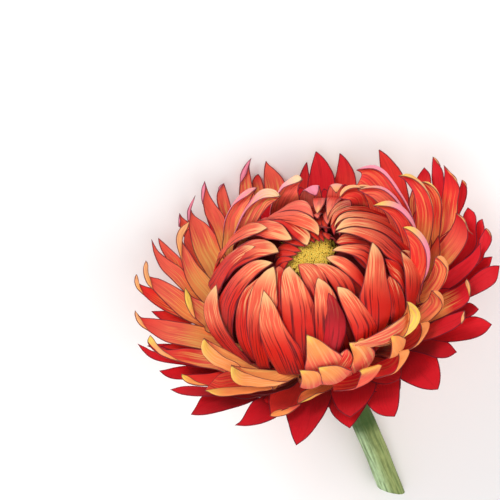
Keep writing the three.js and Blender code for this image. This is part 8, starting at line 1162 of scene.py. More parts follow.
     [(-11.86, -1.40, -7.15), (-14.44, -1.77, -5.93), (-16.92, -2.12, -4.70), (-19.40, -2.46, -3.48), (-22.78, -2.65, -2.07), (-25.33, -2.39, -0.59), (-28.43, -1.98, 1.25), (-30.82, -2.14, 2.50), (-32.11, -1.66, 3.84), (-33.18, -1.18, 4.82)]),
    ('L20', 'S0', 5, 'DCC',
     [(-11.91, -0.28, -8.65), (-14.51, -0.29, -7.39), (-17.01, -0.30, -6.14), (-19.51, -0.31, -4.88), (-22.01, -0.32, -3.99), (-26.17, -0.12, -2.62), (-28.97, 0.58, -1.28), (-30.94, 1.03, -0.31), (-31.80, 1.34, 0.37)],
     [(-11.90, 0.27, -8.85), (-14.50, 0.33, -7.59), (-17.00, 0.39, -6.34), (-19.49, 0.44, -5.08), (-21.99, 0.50, -4.19), (-25.95, 0.86, -2.75), (-28.66, 1.29, -1.40), (-30.69, 1.44, -0.36), (-31.80, 1.34, 0.37)],
     [(-11.88, 0.82, -8.65), (-14.48, 0.95, -7.39), (-16.98, 1.07, -6.14), (-19.48, 1.19, -4.88), (-21.98, 1.32, -3.99), (-25.74, 1.60, -2.61), (-28.34, 1.86, -1.35), (-30.43, 1.78, -0.34), (-31.80, 1.34, 0.37)]),
    ('L21', 'S2', 5, 'DDC',
     [(-11.76, -1.87, -7.15), (-14.34, -2.23, -5.91), (-16.82, -2.58, -4.66), (-19.29, -2.93, -3.42), (-21.84, -2.78, -2.29), (-23.96, -2.65, -1.48), (-26.07, -1.82, -0.13), (-28.09, -1.57, 0.84), (-29.53, -1.02, 2.02)],
     [(-11.82, -1.34, -7.35), (-14.41, -1.64, -6.11), (-16.89, -1.92, -4.86), (-19.38, -2.20, -3.62), (-21.91, -1.99, -2.49), (-23.77, -1.71, -1.68), (-25.88, -0.94, -0.27), (-27.77, -0.92, 0.80), (-29.53, -1.02, 2.02)],
     [(-11.88, -0.81, -7.15), (-14.47, -1.04, -5.91), (-16.97, -1.26, -4.66), (-19.46, -1.48, -3.42), (-21.98, -1.20, -2.29), (-23.57, -0.98, -1.64), (-25.69, -0.20, -0.23), (-27.46, -0.37, 0.87), (-29.53, -1.02, 2.02)]),
    ('L22', 'S1', 5, 'ACC',
     [(-11.16, -4.25, -7.90), (-13.63, -5.09, -6.70), (-16.00, -5.89, -5.51), (-18.37, -6.70, -4.31), (-20.83, -7.24, -3.42), (-23.82, -7.73, -2.58), (-27.08, -7.52, -1.29), (-29.11, -7.27, -0.36), (-30.26, -6.62, 0.36), (-31.00, -5.56, 1.00)],
     [(-11.44, -3.26, -8.10), (-13.94, -3.98, -6.90), (-16.35, -4.66, -5.71), (-18.75, -5.35, -4.51), (-21.23, -5.76, -3.62), (-23.47, -5.97, -2.97), (-26.55, -5.76, -1.63), (-28.72, -5.81, -0.63), (-29.93, -5.80, 0.17), (-31.00, -5.56, 1.00)],
     [(-11.73, -2.28, -7.90), (-14.26, -2.87, -6.70), (-16.70, -3.43, -5.51), (-19.14, -4.00, -4.31), (-21.63, -4.29, -3.42), (-23.11, -4.52, -2.97), (-26.02, -4.31, -1.59), (-28.33, -4.60, -0.59), (-29.60, -5.14, 0.19), (-31.00, -5.56, 1.00)]),
    ('L23', 'S2', 3, 'DDD',
     [(-9.72, -6.97, -7.15), (-11.85, -8.48, -5.99), (-13.91, -9.92, -4.83), (-19.20, -11.13, -2.90), (-21.58, -10.91, -2.06), (-23.62, -10.65, -1.24), (-25.47, -10.22, -0.47), (-26.81, -9.56, 0.09), (-27.49, -8.44, 0.52), (-27.35, -7.43, 0.46)],
     [(-10.30, -5.96, -7.35), (-12.55, -7.26, -6.19), (-14.73, -8.49, -5.03), (-18.82, -9.14, -3.43), (-20.84, -8.79, -2.63), (-22.96, -8.78, -1.89), (-24.94, -8.65, -1.00), (-26.44, -8.40, -0.27), (-27.25, -7.87, 0.28), (-27.35, -7.43, 0.46)],
     [(-10.89, -4.94, -7.15), (-13.26, -6.04, -5.99), (-15.55, -7.06, -4.83), (-18.43, -7.49, -3.57), (-20.11, -7.04, -2.76), (-22.31, -7.27, -2.13), (-24.42, -7.37, -1.19), (-26.06, -7.45, -0.38), (-27.01, -7.43, 0.19), (-27.35, -7.43, 0.46)]),
    ('L23s', 'S2', 0, 'FFG',
     [(-23.56, -10.69, -1.22), (-25.49, -10.27, -0.54), (-26.83, -9.60, 0.05), (-27.49, -8.57, 0.53), (-27.34, -7.58, 0.68)],
     [(-23.50, -10.65, -1.14), (-25.25, -9.93, -0.53), (-26.45, -9.04, 0.05), (-27.18, -8.23, 0.49), (-27.34, -7.63, 0.74)],
     [(-23.44, -10.52, -1.18), (-25.00, -9.44, -0.71), (-26.07, -8.35, -0.10), (-26.87, -7.78, 0.33), (-27.34, -7.58, 0.68)]),
    ('L24', 'S2', 5, 'ABC',
     [(-9.63, -7.02, -7.15), (-11.77, -8.50, -6.00), (-13.83, -9.92, -4.85), (-15.88, -11.35, -3.70), (-18.15, -12.48, -2.81), (-22.05, -13.28, -1.52), (-24.75, -13.33, -0.36), (-26.80, -13.24, 0.67), (-28.74, -12.72, 1.64), (-30.11, -11.80, 2.55)],
     [(-10.00, -6.45, -7.35), (-12.18, -7.86, -6.20), (-14.28, -9.22, -5.05), (-16.38, -10.57, -3.90), (-18.68, -11.62, -3.01), (-21.71, -12.21, -1.92), (-24.49, -11.93, -0.76), (-26.44, -11.84, 0.29), (-28.39, -11.77, 1.42), (-30.11, -11.80, 2.55)],
     [(-10.37, -5.88, -7.15), (-12.60, -7.22, -6.00), (-14.74, -8.51, -4.85), (-16.89, -9.80, -3.70), (-19.21, -10.76, -2.81), (-21.36, -11.30, -2.11), (-24.23, -10.77, -0.89), (-26.09, -10.66, 0.18), (-28.04, -10.96, 1.37), (-30.11, -11.80, 2.55)]),
    ('L15', 'S4', 3, 'FEE',
     [(-11.95, -0.15, -5.65), (-14.56, -0.17, -4.35), (-17.07, 0.07, -3.03), (-20.65, 1.21, -1.17), (-20.91, 2.44, -0.72), (-21.55, 3.42, -0.30), (-22.16, 4.61, 0.36), (-22.70, 6.15, 1.08), (-22.62, 8.36, 1.95), (-21.99, 10.06, 2.14)],
     [(-11.86, 0.98, -5.85), (-14.45, 1.19, -4.55), (-16.92, 1.66, -3.23), (-19.90, 3.10, -1.77), (-20.01, 4.54, -1.28), (-20.38, 5.59, -0.82), (-21.17, 6.54, -0.09), (-21.98, 7.57, 0.75), (-22.17, 9.01, 1.71), (-21.99, 10.06, 2.14)],
     [(-11.77, 2.11, -5.65), (-14.34, 2.55, -4.35), (-16.76, 3.25, -3.03), (-19.15, 4.49, -1.78), (-19.11, 6.17, -1.26), (-19.22, 7.27, -0.75), (-20.18, 8.03, -0.01), (-21.25, 8.65, 0.81), (-21.71, 9.49, 1.67), (-21.99, 10.06, 2.14)]),
    ('L15s', 'S4', 0, 'FGG',
     [(-22.04, 3.93, 0.19), (-22.56, 5.09, 0.65), (-22.81, 6.90, 1.51), (-22.57, 8.55, 2.10), (-21.98, 9.92, 2.35)],
     [(-21.98, 3.95, 0.27), (-22.14, 5.67, 0.76), (-22.19, 7.50, 1.49), (-22.14, 8.88, 2.05), (-21.98, 9.87, 2.42)],
     [(-21.93, 4.05, 0.25), (-21.71, 6.35, 0.75), (-21.58, 8.19, 1.37), (-21.71, 9.28, 1.92), (-21.98, 9.92, 2.35)]),
    ('T6', 'S1', 5, 'EEE',
     [(-4.48, 11.06, -7.90), (-5.37, 13.50, -6.42), (-6.24, 15.85, -4.95), (-7.11, 18.20, -3.47), (-7.94, 20.56, -1.92), (-8.07, 25.00, 1.10), (-7.73, 26.45, 2.25), (-7.19, 27.58, 3.17), (-6.72, 28.46, 3.91), (-5.96, 29.63, 4.90), (-4.87, 30.43, 5.58), (-3.40, 31.07, 6.11)],
     [(-3.65, 11.33, -8.10), (-4.44, 13.80, -6.62), (-5.21, 16.18, -5.15), (-5.97, 18.56, -3.67), (-6.71, 20.95, -2.12), (-6.74, 24.97, 0.47), (-6.29, 26.38, 1.60), (-5.98, 27.55, 2.59), (-5.64, 28.66, 3.62), (-5.14, 29.84, 4.76), (-4.44, 30.45, 5.44), (-3.40, 31.07, 6.11)],
     [(-2.82, 11.59, -7.90), (-3.51, 14.10, -6.42), (-4.17, 16.52, -4.95), (-4.84, 18.93, -3.47), (-5.47, 21.35, -1.92), (-5.42, 24.59, 0.26), (-4.84, 25.96, 1.38), (-4.78, 27.18, 2.42), (-4.56, 28.59, 3.66), (-4.32, 29.86, 4.82), (-4.01, 30.39, 5.40), (-3.40, 31.07, 6.11)]),
    ('T6s', 'S1', 0, 'HHH',
     [(-6.88, 27.94, 3.75), (-6.25, 29.20, 4.81), (-5.03, 30.13, 5.62), (-3.39, 30.92, 6.32)],
     [(-6.79, 27.96, 3.85), (-5.72, 29.07, 4.70), (-4.62, 30.07, 5.58), (-3.39, 30.87, 6.38)],
     [(-6.70, 28.09, 3.83), (-5.19, 29.01, 4.50), (-4.20, 30.09, 5.45), (-3.39, 30.92, 6.32)]),
    ('T5', 'S0', 5, 'EED',
     [(-3.02, 11.53, -8.65), (-3.61, 14.07, -7.17), (-4.18, 16.50, -5.69), (-4.75, 18.94, -4.21), (-5.32, 21.37, -2.76), (-5.38, 26.43, 0.58), (-4.89, 27.84, 1.69), (-4.57, 28.78, 2.44), (-3.84, 29.36, 2.89), (-3.11, 29.58, 3.02)],
     [(-2.31, 11.67, -8.85), (-2.81, 14.22, -7.37), (-3.30, 16.68, -5.89), (-3.78, 19.13, -4.41), (-4.26, 21.58, -2.96), (-4.28, 26.38, 0.08), (-3.89, 27.78, 1.25), (-3.69, 28.71, 2.07), (-3.35, 29.26, 2.63), (-3.11, 29.58, 3.02)],
     [(-1.60, 11.81, -8.65), (-2.01, 14.38, -7.17), (-2.41, 16.85, -5.69), (-2.81, 19.32, -4.21), (-3.21, 21.79, -2.76), (-3.17, 26.02, -0.05), (-2.89, 27.44, 1.15), (-2.80, 28.41, 1.99), (-2.86, 29.03, 2.54), (-3.11, 29.58, 3.02)]),
    ('T4', 'S1', 5, 'EEE',
     [(-2.15, 11.79, -7.90), (-2.49, 14.38, -6.41), (-2.81, 16.86, -4.93), (-3.14, 19.35, -3.44), (-3.33, 21.85, -1.87), (-3.35, 24.18, -0.30), (-3.02, 26.35, 1.51), (-2.53, 27.96, 2.89), (-1.87, 29.24, 4.06), (-1.43, 29.84, 4.65), (-1.05, 30.25, 5.08)],
     [(-0.72, 11.88, -8.10), (-0.87, 14.47, -6.61), (-1.02, 16.97, -5.13), (-1.17, 19.46, -3.64), (-1.19, 21.97, -2.07), (-1.15, 24.00, -1.20), (-0.97, 26.05, 0.58), (-0.78, 27.79, 2.20), (-0.91, 29.16, 3.62), (-1.09, 29.82, 4.46), (-1.05, 30.25, 5.08)],
     [(0.72, 11.97, -7.90), (0.74, 14.57, -6.41), (0.77, 17.08, -4.93), (0.79, 19.58, -3.44), (0.96, 22.08, -1.87), (1.06, 23.10, -1.24), (1.09, 25.13, 0.38), (0.98, 27.14, 2.09), (0.06, 28.76, 3.56), (-0.75, 29.64, 4.44), (-1.05, 30.25, 5.08)]),
]

# Tips of the short bracts that reach over the disc.
CRATER_FRONT = [(-2.96, -0.72, 12.95), (-1.91, -0.3, 12.95), (-1.0, 0.3, 12.95), (-0.18, 0.94, 12.95), (0.75, 1.28, 12.95), (1.66, 1.51, 12.95), (2.52, 1.52, 12.95), (3.43, 1.38, 12.95), (4.34, 1.24, 12.95), (5.28, 1.21, 12.95), (6.21, 1.19, 12.95)]
CRATER_BACK = [(1.45, 3.04, 13.3), (2.56, 3.68, 13.3), (3.58, 3.98, 13.3), (4.57, 4.18, 13.3), (5.49, 4.04, 13.3), (6.26, 3.34, 13.3)]
CURTAIN = [(5.2, 2.9, 12.95, 5.7, .75, "LPD"), (6.4, 1.9, 13.0, 7.4, .75, "LPD"), (4.3, 4.0, 12.8, 4.4, .8, "LPD"), (7.3, 1.5, 12.8, 8.6, .8, "LLP"),
           (4.5, 6.2, 13.6, 4.7, 1.0, "DER"), (5.8, 4.3, 13.4, 6.6, .95, "DER")]

# Short dark bracts under the gaps of the lower whorls; their dark colour is painted shadow showing through the gaps.
SHADE_FILL_BRACTS = [
    ("S1", "U1", 4.6, [(16.5, -134.0), (20.2, -144.0), (24.5, -153.0)], 0.0, 0.0, 0, "QAA", "EFG"),
    ("S2", "U2", 4.0, [(16.5, -132.0), (19.5, -139.0), (22.5, -146.0)], 0.0, 0.0, 0, "QAA", "EFG"),
    ("S1", "U3", 3.4, [(20.0, -181.0), (25.0, -184.0), (29.0, -184.0)], 0.0, 0.0, 0, "QAB", "EFG"),
    ("S1", "U4", 3.6, [(20.0, 2.0), (24.0, 4.0), (28.0, 8.0)], 0.0, 0.0, 0, "QBB", "EFG"),
]


# ---- materials ------------------------------------------------------------------
def new_material(name):
    m = bpy.data.materials.new(name)
    m.use_nodes = True
    nt = m.node_tree
    nt.nodes.clear()
    out = nt.nodes.new("ShaderNodeOutputMaterial")
    bs = nt.nodes.new("ShaderNodeBsdfPrincipled")
    nt.links.new(bs.outputs["BSDF"], out.inputs["Surface"])
    return m, nt, bs


def node(nt, kind, **kw):
    n = nt.nodes.new(kind)
    for k, v in kw.items():
        setattr(n, k, v)
    return n


def math_node(nt, op, a, b=None, clamp=False):
    n = node(nt, "ShaderNodeMath", operation=op, use_clamp=clamp)
    for i, v in enumerate((a, b)):
        if v is None:
            continue
        if isinstance(v, (int, float)):
            n.inputs[i].default_value = v
        else:
            nt.links.new(v, n.inputs[i])
    return n.outputs[0]


def mix_color(nt, fac, a, b, blend="MIX"):
    n = node(nt, "ShaderNodeMix", data_type="RGBA", blend_type=blend)
    for i, v in ((0, fac), (6, a), (7, b)):
        if isinstance(v, (int, float)):
            n.inputs[i].default_value = v
        elif isinstance(v, (tuple, list, np.ndarray)):
            n.inputs[i].default_value = (*[float(x) for x in v[:3]], 1)
        else:
            nt.links.new(v, n.inputs[i])
    return n.outputs[2]


def ramp(nt, fac, stops):
    n = node(nt, "ShaderNodeMapRange", interpolation_type="SMOOTHSTEP")
    nt.links.new(fac, n.inputs[0])
    for i, v in zip((1, 2, 3, 4), stops):
        n.inputs[i].default_value = v
    return n.outputs[0]


def papery(name, edge_color=(96, 16, 40), edge_mm=.17, edge_mix=.75, rough=.5, vein=.35, sheen=.06):
    m, nt, bs = new_material(name)
    base = node(nt, "ShaderNodeAttribute", attribute_name="base").outputs["Color"]
    streak = node(nt, "ShaderNodeAttribute", attribute_name="streak").outputs["Color"]
    par = node(nt, "ShaderNodeSeparateXYZ")
    nt.links.new(node(nt, "ShaderNodeAttribute", attribute_name="par").outputs["Vector"], par.inputs[0])
    mx = node(nt, "ShaderNodeSeparateXYZ")
    nt.links.new(node(nt, "ShaderNodeAttribute", attribute_name="mixes").outputs["Vector"], mx.inputs[0])
    lng, lat, edge = par.outputs
    amt, dark, rnd = mx.outputs
    off = math_node(nt, "MULTIPLY", rnd, 37.0)

    def stripes(across, along, detail, seed):
        c = node(nt, "ShaderNodeCombineXYZ")
        nt.links.new(math_node(nt, "MULTIPLY", lat, across), c.inputs[0])
        nt.links.new(math_node(nt, "MULTIPLY", lng, along), c.inputs[1])
        nt.links.new(math_node(nt, "ADD", off, seed), c.inputs[2])
        t = node(nt, "ShaderNodeTexNoise", noise_dimensions="3D")
        nt.links.new(c.outputs[0], t.inputs["Vector"])
        t.inputs["Scale"].default_value = 1
        t.inputs["Detail"].default_value = detail
        t.inputs["Roughness"].default_value = .55
        return t.outputs["Fac"] if "Fac" in t.outputs else t.outputs[0]
    fine = stripes(3.6, .10, 3, 0.0)
    broad = stripes(3.0, .09, 2, 11.0)
    veins = stripes(8.5, .22, 2, 23.0)
    blot = stripes(.5, .45, 3, 31.0)
    s = math_node(nt, "MULTIPLY", ramp(nt, fine, (.49, .60, 0, 1)), amt, True)
    col = mix_color(nt, s, base, streak)
    d = math_node(nt, "MULTIPLY", ramp(nt, broad, (.53, .62, 0, 1)), dark, True)
    col = mix_color(nt, d, col, tuple(STREAK_DARK))
    v = math_node(nt, "MULTIPLY", ramp(nt, veins, (.3, .7, 0, 1)), .16)
    col = mix_color(nt, v, col, (1.0, .84, .80), "MULTIPLY")
    b = math_node(nt, "MULTIPLY", ramp(nt, blot, (.35, .7, 0, 1)), .14)
    col = mix_color(nt, b, col, (.80, .62, .62), "MULTIPLY")
    e = math_node(nt, "MULTIPLY", ramp(nt, edge, (edge_mm * .5, edge_mm * 1.25, 1, 0)), edge_mix)
    col = mix_color(nt, e, col, tuple(lin(edge_color)))
    nt.links.new(col, bs.inputs["Base Color"])
    r = math_node(nt, "ADD", math_node(nt, "MULTIPLY", blot, .25), rough - .12)
    nt.links.new(r, bs.inputs["Roughness"])
    bs.inputs["Specular IOR Level"].default_value = .22
    bs.inputs["Sheen Weight"].default_value = sheen
    bs.inputs["Sheen Roughness"].default_value = .5
    bump = node(nt, "ShaderNodeBump")
    bump.inputs["Strength"].default_value = vein
    bump.inputs["Distance"].default_value = .00012
    hsum = math_node(nt, "ADD", math_node(nt, "MULTIPLY", veins, 1.0), math_node(nt, "MULTIPLY", fine, .8))
    nt.links.new(hsum, bump.inputs["Height"])
    nt.links.new(bump.outputs["Normal"], bs.inputs["Normal"])
    return m


def rough_plant(name, use_scale=900, vary=.35, rough=.7, bump_mm=.10):
    """Plant tissue coloured by its 'base' attribute, darkened towards 'streak' by fibre noise."""
    m, nt, bs = new_material(name)
    base = node(nt, "ShaderNodeAttribute", attribute_name="base").outputs["Color"]
    streak = node(nt, "ShaderNodeAttribute", attribute_name="streak").outputs["Color"]
    par = node(nt, "ShaderNodeSeparateXYZ")
    nt.links.new(node(nt, "ShaderNodeAttribute", attribute_name="par").outputs["Vector"], par.inputs[0])
    mx = node(nt, "ShaderNodeSeparateXYZ")
    nt.links.new(node(nt, "ShaderNodeAttribute", attribute_name="mixes").outputs["Vector"], mx.inputs[0])
    c = node(nt, "ShaderNodeCombineXYZ")
    nt.links.new(math_node(nt, "MULTIPLY", par.outputs[1], 2.2), c.inputs[0])
    nt.links.new(math_node(nt, "MULTIPLY", par.outputs[0], .25), c.inputs[1])
    nt.links.new(math_node(nt, "MULTIPLY", mx.outputs[2], 29.0), c.inputs[2])
    t = node(nt, "ShaderNodeTexNoise", noise_dimensions="3D")
    nt.links.new(c.outputs[0], t.inputs["Vector"])
    t.inputs["Scale"].default_value = 1
    t.inputs["Detail"].default_value = 4
    f = t.outputs["Fac"] if "Fac" in t.outputs else t.outputs[0]
    s = math_node(nt, "MULTIPLY", ramp(nt, f, (.4, .66, 0, 1)), mx.outputs[0], True)
    col = mix_color(nt, s, base, streak)
    g = node(nt, "ShaderNodeTexNoise")
    tc = node(nt, "ShaderNodeTexCoord")
    nt.links.new(tc.outputs["Object"], g.inputs["Vector"])
    g.inputs["Scale"].default_value = use_scale
    g.inputs["Detail"].default_value = 3
    gf = g.outputs["Fac"] if "Fac" in g.outputs else g.outputs[0]
    k = math_node(nt, "MULTIPLY", ramp(nt, gf, (.3, .7, 0, 1)), vary)
    col = mix_color(nt, k, col, (.62, .58, .50), "MULTIPLY")
    nt.links.new(col, bs.inputs["Base Color"])
    nt.links.new(math_node(nt, "ADD", math_node(nt, "MULTIPLY", gf, .3), rough - .15), bs.inputs["Roughness"])
    bs.inputs["Specular IOR Level"].default_value = .25
    bump = node(nt, "ShaderNodeBump")
    bump.inputs["Strength"].default_value = .5
    bump.inputs["Distance"].default_value = bump_mm * MM
    nt.links.new(math_node(nt, "ADD", f, gf), bump.inputs["Height"])
    nt.links.new(bump.outputs["Normal"], bs.inputs["Normal"])
    return m


MAT = {
    "incurved_bracts": papery("incurved_bract_paper", edge_color=(104, 14, 34), edge_mm=.20, edge_mix=.9, rough=.5),
    "collar_bracts": papery("collar_bract_paper", edge_color=(112, 26, 48), edge_mm=.19, edge_mix=.88, rough=.52),
    "spreading_bracts": papery("spreading_bract_paper", edge_color=(100, 16, 42), edge_mm=.20, edge_mix=.88, rough=.52),
    "underside_scales": papery("underside_scale_paper", edge_color=(120, 70, 40), edge_mm=.2, edge_mix=.5, rough=.6),
    "receptacle": rough_plant("receptacle_pith", use_scale=1400),
    "disc_florets": rough_plant("disc_floret_tissue", use_scale=2500, vary=.2, bump_mm=.05),
    "stem": rough_plant("stem_skin", use_scale=1200, vary=.25),
}


LONG_CURLS = ("L8", "L15", "L18", "L23", "L1", "L6", "B4")
UNDER_DOME = .9


# ---- the bracts -------------------------------------------------------------------
def spreading(sheets, row, k_in_row, stagger):
    shell, name, w, pts, cl, cr, cupped, inner, back = row
    end = pts[2][0]
    u = stations(28)
    r = 11.7 + (end - 11.7) * u
    phi = mid_angle(pts, r, True)
    # the mid-line stays on its side of the head near the base
    mid = shell_point(shell, r, phi)
    ref = shell_normal(shell, r, phi)
    ref = ref * np.sign(ref[:, 2:3] + 1e-9)
    lift = stagger * smooth(u * 1.5) + (.55 if cupped else .35) * u ** 4
    mid = mid + ref * lift[:, None]
    half = w / 2 * 1.14 * pchip(WIDE["S"], u)
    base = .50 if cupped else .34
    cup = base * (1 - .45 * u) * (1 + rng.uniform(-.2, .2)) * np.ones_like(u)
    long_curl = name in LONG_CURLS
    on = smooth((u - .60) / .18) if long_curl else smooth((u - .74) / .10)
    curl = np.stack([cl * 1.45 * on, cr * 1.45 * on], 1)
    curl = np.maximum(curl, .08 * rng.uniform(0, 1, 2)[None, :])
    cf = [(.22 if long_curl else .42) if c > 1.5 else (.40 if long_curl else .5) if c else .55 for c in (cl, cr)]
    half = half * (1 + .10 * on * (cl + cr > 0))
    has = "F" in inner[:1]
    if not long_curl and back == "EFG":
        back = "EFI"
    bract(sheets, mid, ref, half, u, cup, curl, cf, .22, inner, back,
          (.95 if cupped else .6 if has else .10, .25),
          dict(roll=rng.uniform(-.06, .06), ruffle=.05, pleat=.025, dark=(.14 if inner[1] in "DEF" else .2, .1)))


def curled_path(shell, P, phi0):
    """Base of a collar bract on its shell, then through its measured points."""
    P = np.asarray(P, float)
    b0 = shell_point(shell, 0.0, phi0)
    b1 = shell_point(shell, 1.0, phi0)
    b2 = shell_point(shell, 2.0, phi0)
    r0 = math.hypot(P[0][0], P[0][1])
    keep = [b0]
    if P[0][2] - b1[2] > 1.2:
        keep.append(b1 * np.array([min(1, r0 / math.hypot(b1[0], b1[1])), min(1, r0 / math.hypot(b1[0], b1[1])), 1]))
    if P[0][2] - b2[2] > 2.2:
        f = min(1, (r0 + .6) / math.hypot(b2[0], b2[1]))
        keep.append(b2 * np.array([f, f, 1]))
    return np.concatenate([np.array(keep), P]), len(keep)


def resample(C, n, dense=1.2):
    fine = catmull(C, np.linspace(0, len(C) - 1, 240))
    d = np.r_[0, np.cumsum(np.linalg.norm(np.diff(fine, axis=0), axis=1))]
    u = stations(n, dense)
    out = np.stack([np.interp(u * d[-1], d, fine[:, k]) for k in range(3)], -1)
    return out, u, d[-1]


def collar(sheets, row, stagger):
    shell, name, w, P, cl, cr, cupped, inner, back = row
    P = np.array(P, float)
    phi0 = math.atan2(P[0][1], P[0][0])
    C, k = curled_path(shell, P, phi0)
    mid, u, L = resample(C, 32)
    rad_dir = unit(np.c_[mid[:, 0], mid[:, 1], np.zeros(len(mid))])
    z = np.array([0, 0, 1.0])
    front = phi0 < 0
    w1 = smooth(u / .45)[:, None]; w2 = smooth((u - .5) / .4)[:, None]
    ref = (-.3 * rad_dir + z) * (1 - w1) + (-rad_dir + .1 * z) * w1
    ref = ref * (1 - w2) + (-.75 * rad_dir - (.45 if front else .75) * z) * w2
    half = w / 2 * pchip(WIDE["C"], u)
    cup = (.62 * (1 - .3 * u)) * np.ones_like(u)
    on = smooth((u - .4) / .3)
    curl = np.stack([cl * .8 * on, cr * .8 * on], 1)
    bract(sheets, mid, ref, half, u, cup, curl, [.45, .45], .22, inner, back,
          (.6, .45), dict(roll=rng.uniform(-.08, .08), ruffle=.10, back_streak="G" if "G" in back or "I" in back else "I",
                          back_stops=(.30, .55, .62, .92), dark=(.3, .25)))


def dome(sheets, row, stagger):
    """Shorter bracts under the outer ones of the dome; they close the chinks between them, and their dark colour is
    painted shade.
    """
    shell, name, w, pts, cl, cr, cupped, inner, back = row
    s_end = min(pts[2][0], 8.4 if shell == "Fi" else 7.0)
    ss = np.linspace(0, s_end, 16)
    C = shell_point("Fi", ss, mid_angle(pts, ss, False))
    mid, u, L = resample(C, 30, 1.15)
    c = np.array([.07, .05]) * np.maximum(mid[:, 2:3] - 3, 0)
    rd = unit(np.c_[mid[:, :2] - c, np.zeros(len(mid))])
    T = unit(np.gradient(mid, axis=0))
    out = rd * .8 + np.array([0, 0, 1.0]) * smooth(u * 1.6)[:, None]
    nrm = unit(out - (out * T).sum(-1, keepdims=True) * T)
    mid = mid + nrm * ((stagger - UNDER_DOME - (0 if shell == "Fi" else .35)) * smooth(u * 2))[:, None]
    half = w / 2 * 1.5 * pchip(WIDE["D"], u)
    cup = (.50 + .2 * u) * np.ones_like(u)
    # the dark tones QQL and QLM are painted shade in the chinks
    bract(sheets, mid, -nrm, half, u, cup, np.zeros((30, 2)), [.6, .6], .2, "QQL", "QLM",
          (.1, .1), dict(roll=rng.uniform(-.08, .08), ruffle=.05, pleat=.025, back_streak="N", dome=True,
                         back_stops=(.28, .66, .70, .97), dark=(.3, .8)), nv=13)


def angle_key(row):
    shell, pts = row[0], row[3]
    if shell[0] == "C":
        a = math.atan2(pts[0][1], pts[0][0])
    else:
        a = float(mid_angle(pts, 20.0 if shell[0] == "S" else 4.0, shell[0] == "S"))
    return a % (2 * math.pi)


ROWS = {}
FOLDED_NAMES = {f_row[0] for f_row in FOLDED}
BY_OUTLINE = {o_row[0]: o_row for o_row in OUTLINED}
SPREAD_NAMES = {b_row[1] for b_row in BRACTS if b_row[0][0] == "S"}
for b_row in BRACTS:
    if b_row[0][0] == "C" and b_row[1] in FOLDED_NAMES:
        continue
    ROWS.setdefault(b_row[0], []).append(b_row)
for key in ROWS:
    ROWS[key].sort(key=angle_key)

pieces = []


def finish_piece(sheets, name, slot, nodes):
    ob = sheets.make(name, MAT[slot])
    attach(ob, "root")
    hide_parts(*nodes)
    pieces.append(ob)
    return ob


for key, label in (("S3", "upper"), ("S2", "middle"), ("S1", "lower")):
    for i, b_row in enumerate(ROWS[key]):
        sh = Sheets()
        if b_row[1] in FOLDED_NAMES:
            folded(sh, next(f_row for f_row in FOLDED if f_row[0] == b_row[1]))
        elif b_row[1] in BY_OUTLINE:
            outlined(sh, BY_OUTLINE[b_row[1]], False)
            if b_row[1] + "s" in BY_OUTLINE:
                outlined(sh, BY_OUTLINE[b_row[1] + "s"], False)
        else:
            spreading(sh, b_row, i, .18 * ((i * 2) % 3 - 1))
        finish_piece(sh, "bract_%s_%02d" % (label, i + 1), "spreading_bracts", ["spreading_bract_%s_%02d" % (label, i + 1)])
for key, nm, nd in (("S4", "top_whorl_bracts", "spreading_bracts_top_whorl"), ("S0", "bottom_whorl_bracts", "spreading_bracts_bottom_whorl")):
    sh = Sheets()
    for i, b_row in enumerate(ROWS[key]):
        if b_row[1] in BY_OUTLINE:
            outlined(sh, BY_OUTLINE[b_row[1]], False)
            if b_row[1] + "s" in BY_OUTLINE:
                outlined(sh, BY_OUTLINE[b_row[1] + "s"], False)
        else:
            spreading(sh, b_row, i, .16 * ((i * 2) % 3 - 1))
    if key == "S0":
        # dark filler bracts: painted shadow under the gaps
        for f_row in SHADE_FILL_BRACTS:
            spreading(sh, f_row, 0, 0)
    finish_piece(sh, nm, "spreading_bracts", [nd])
for key, nm, nd in (("C1", "collar_outer_bracts", "collar_bracts_outer"), ("C2", "collar_inner_bracts", "collar_bracts_inner")):
    sh = Sheets()
    for i, b_row in enumerate(ROWS.get(key, [])):
        collar(sh, b_row, .12 * ((i * 2) % 3 - 1))
    for f_row in FOLDED:
        if f_row[1] == key and f_row[0] not in SPREAD_NAMES:
            folded(sh, f_row)
    finish_piece(sh, nm, "collar_bracts", [nd])
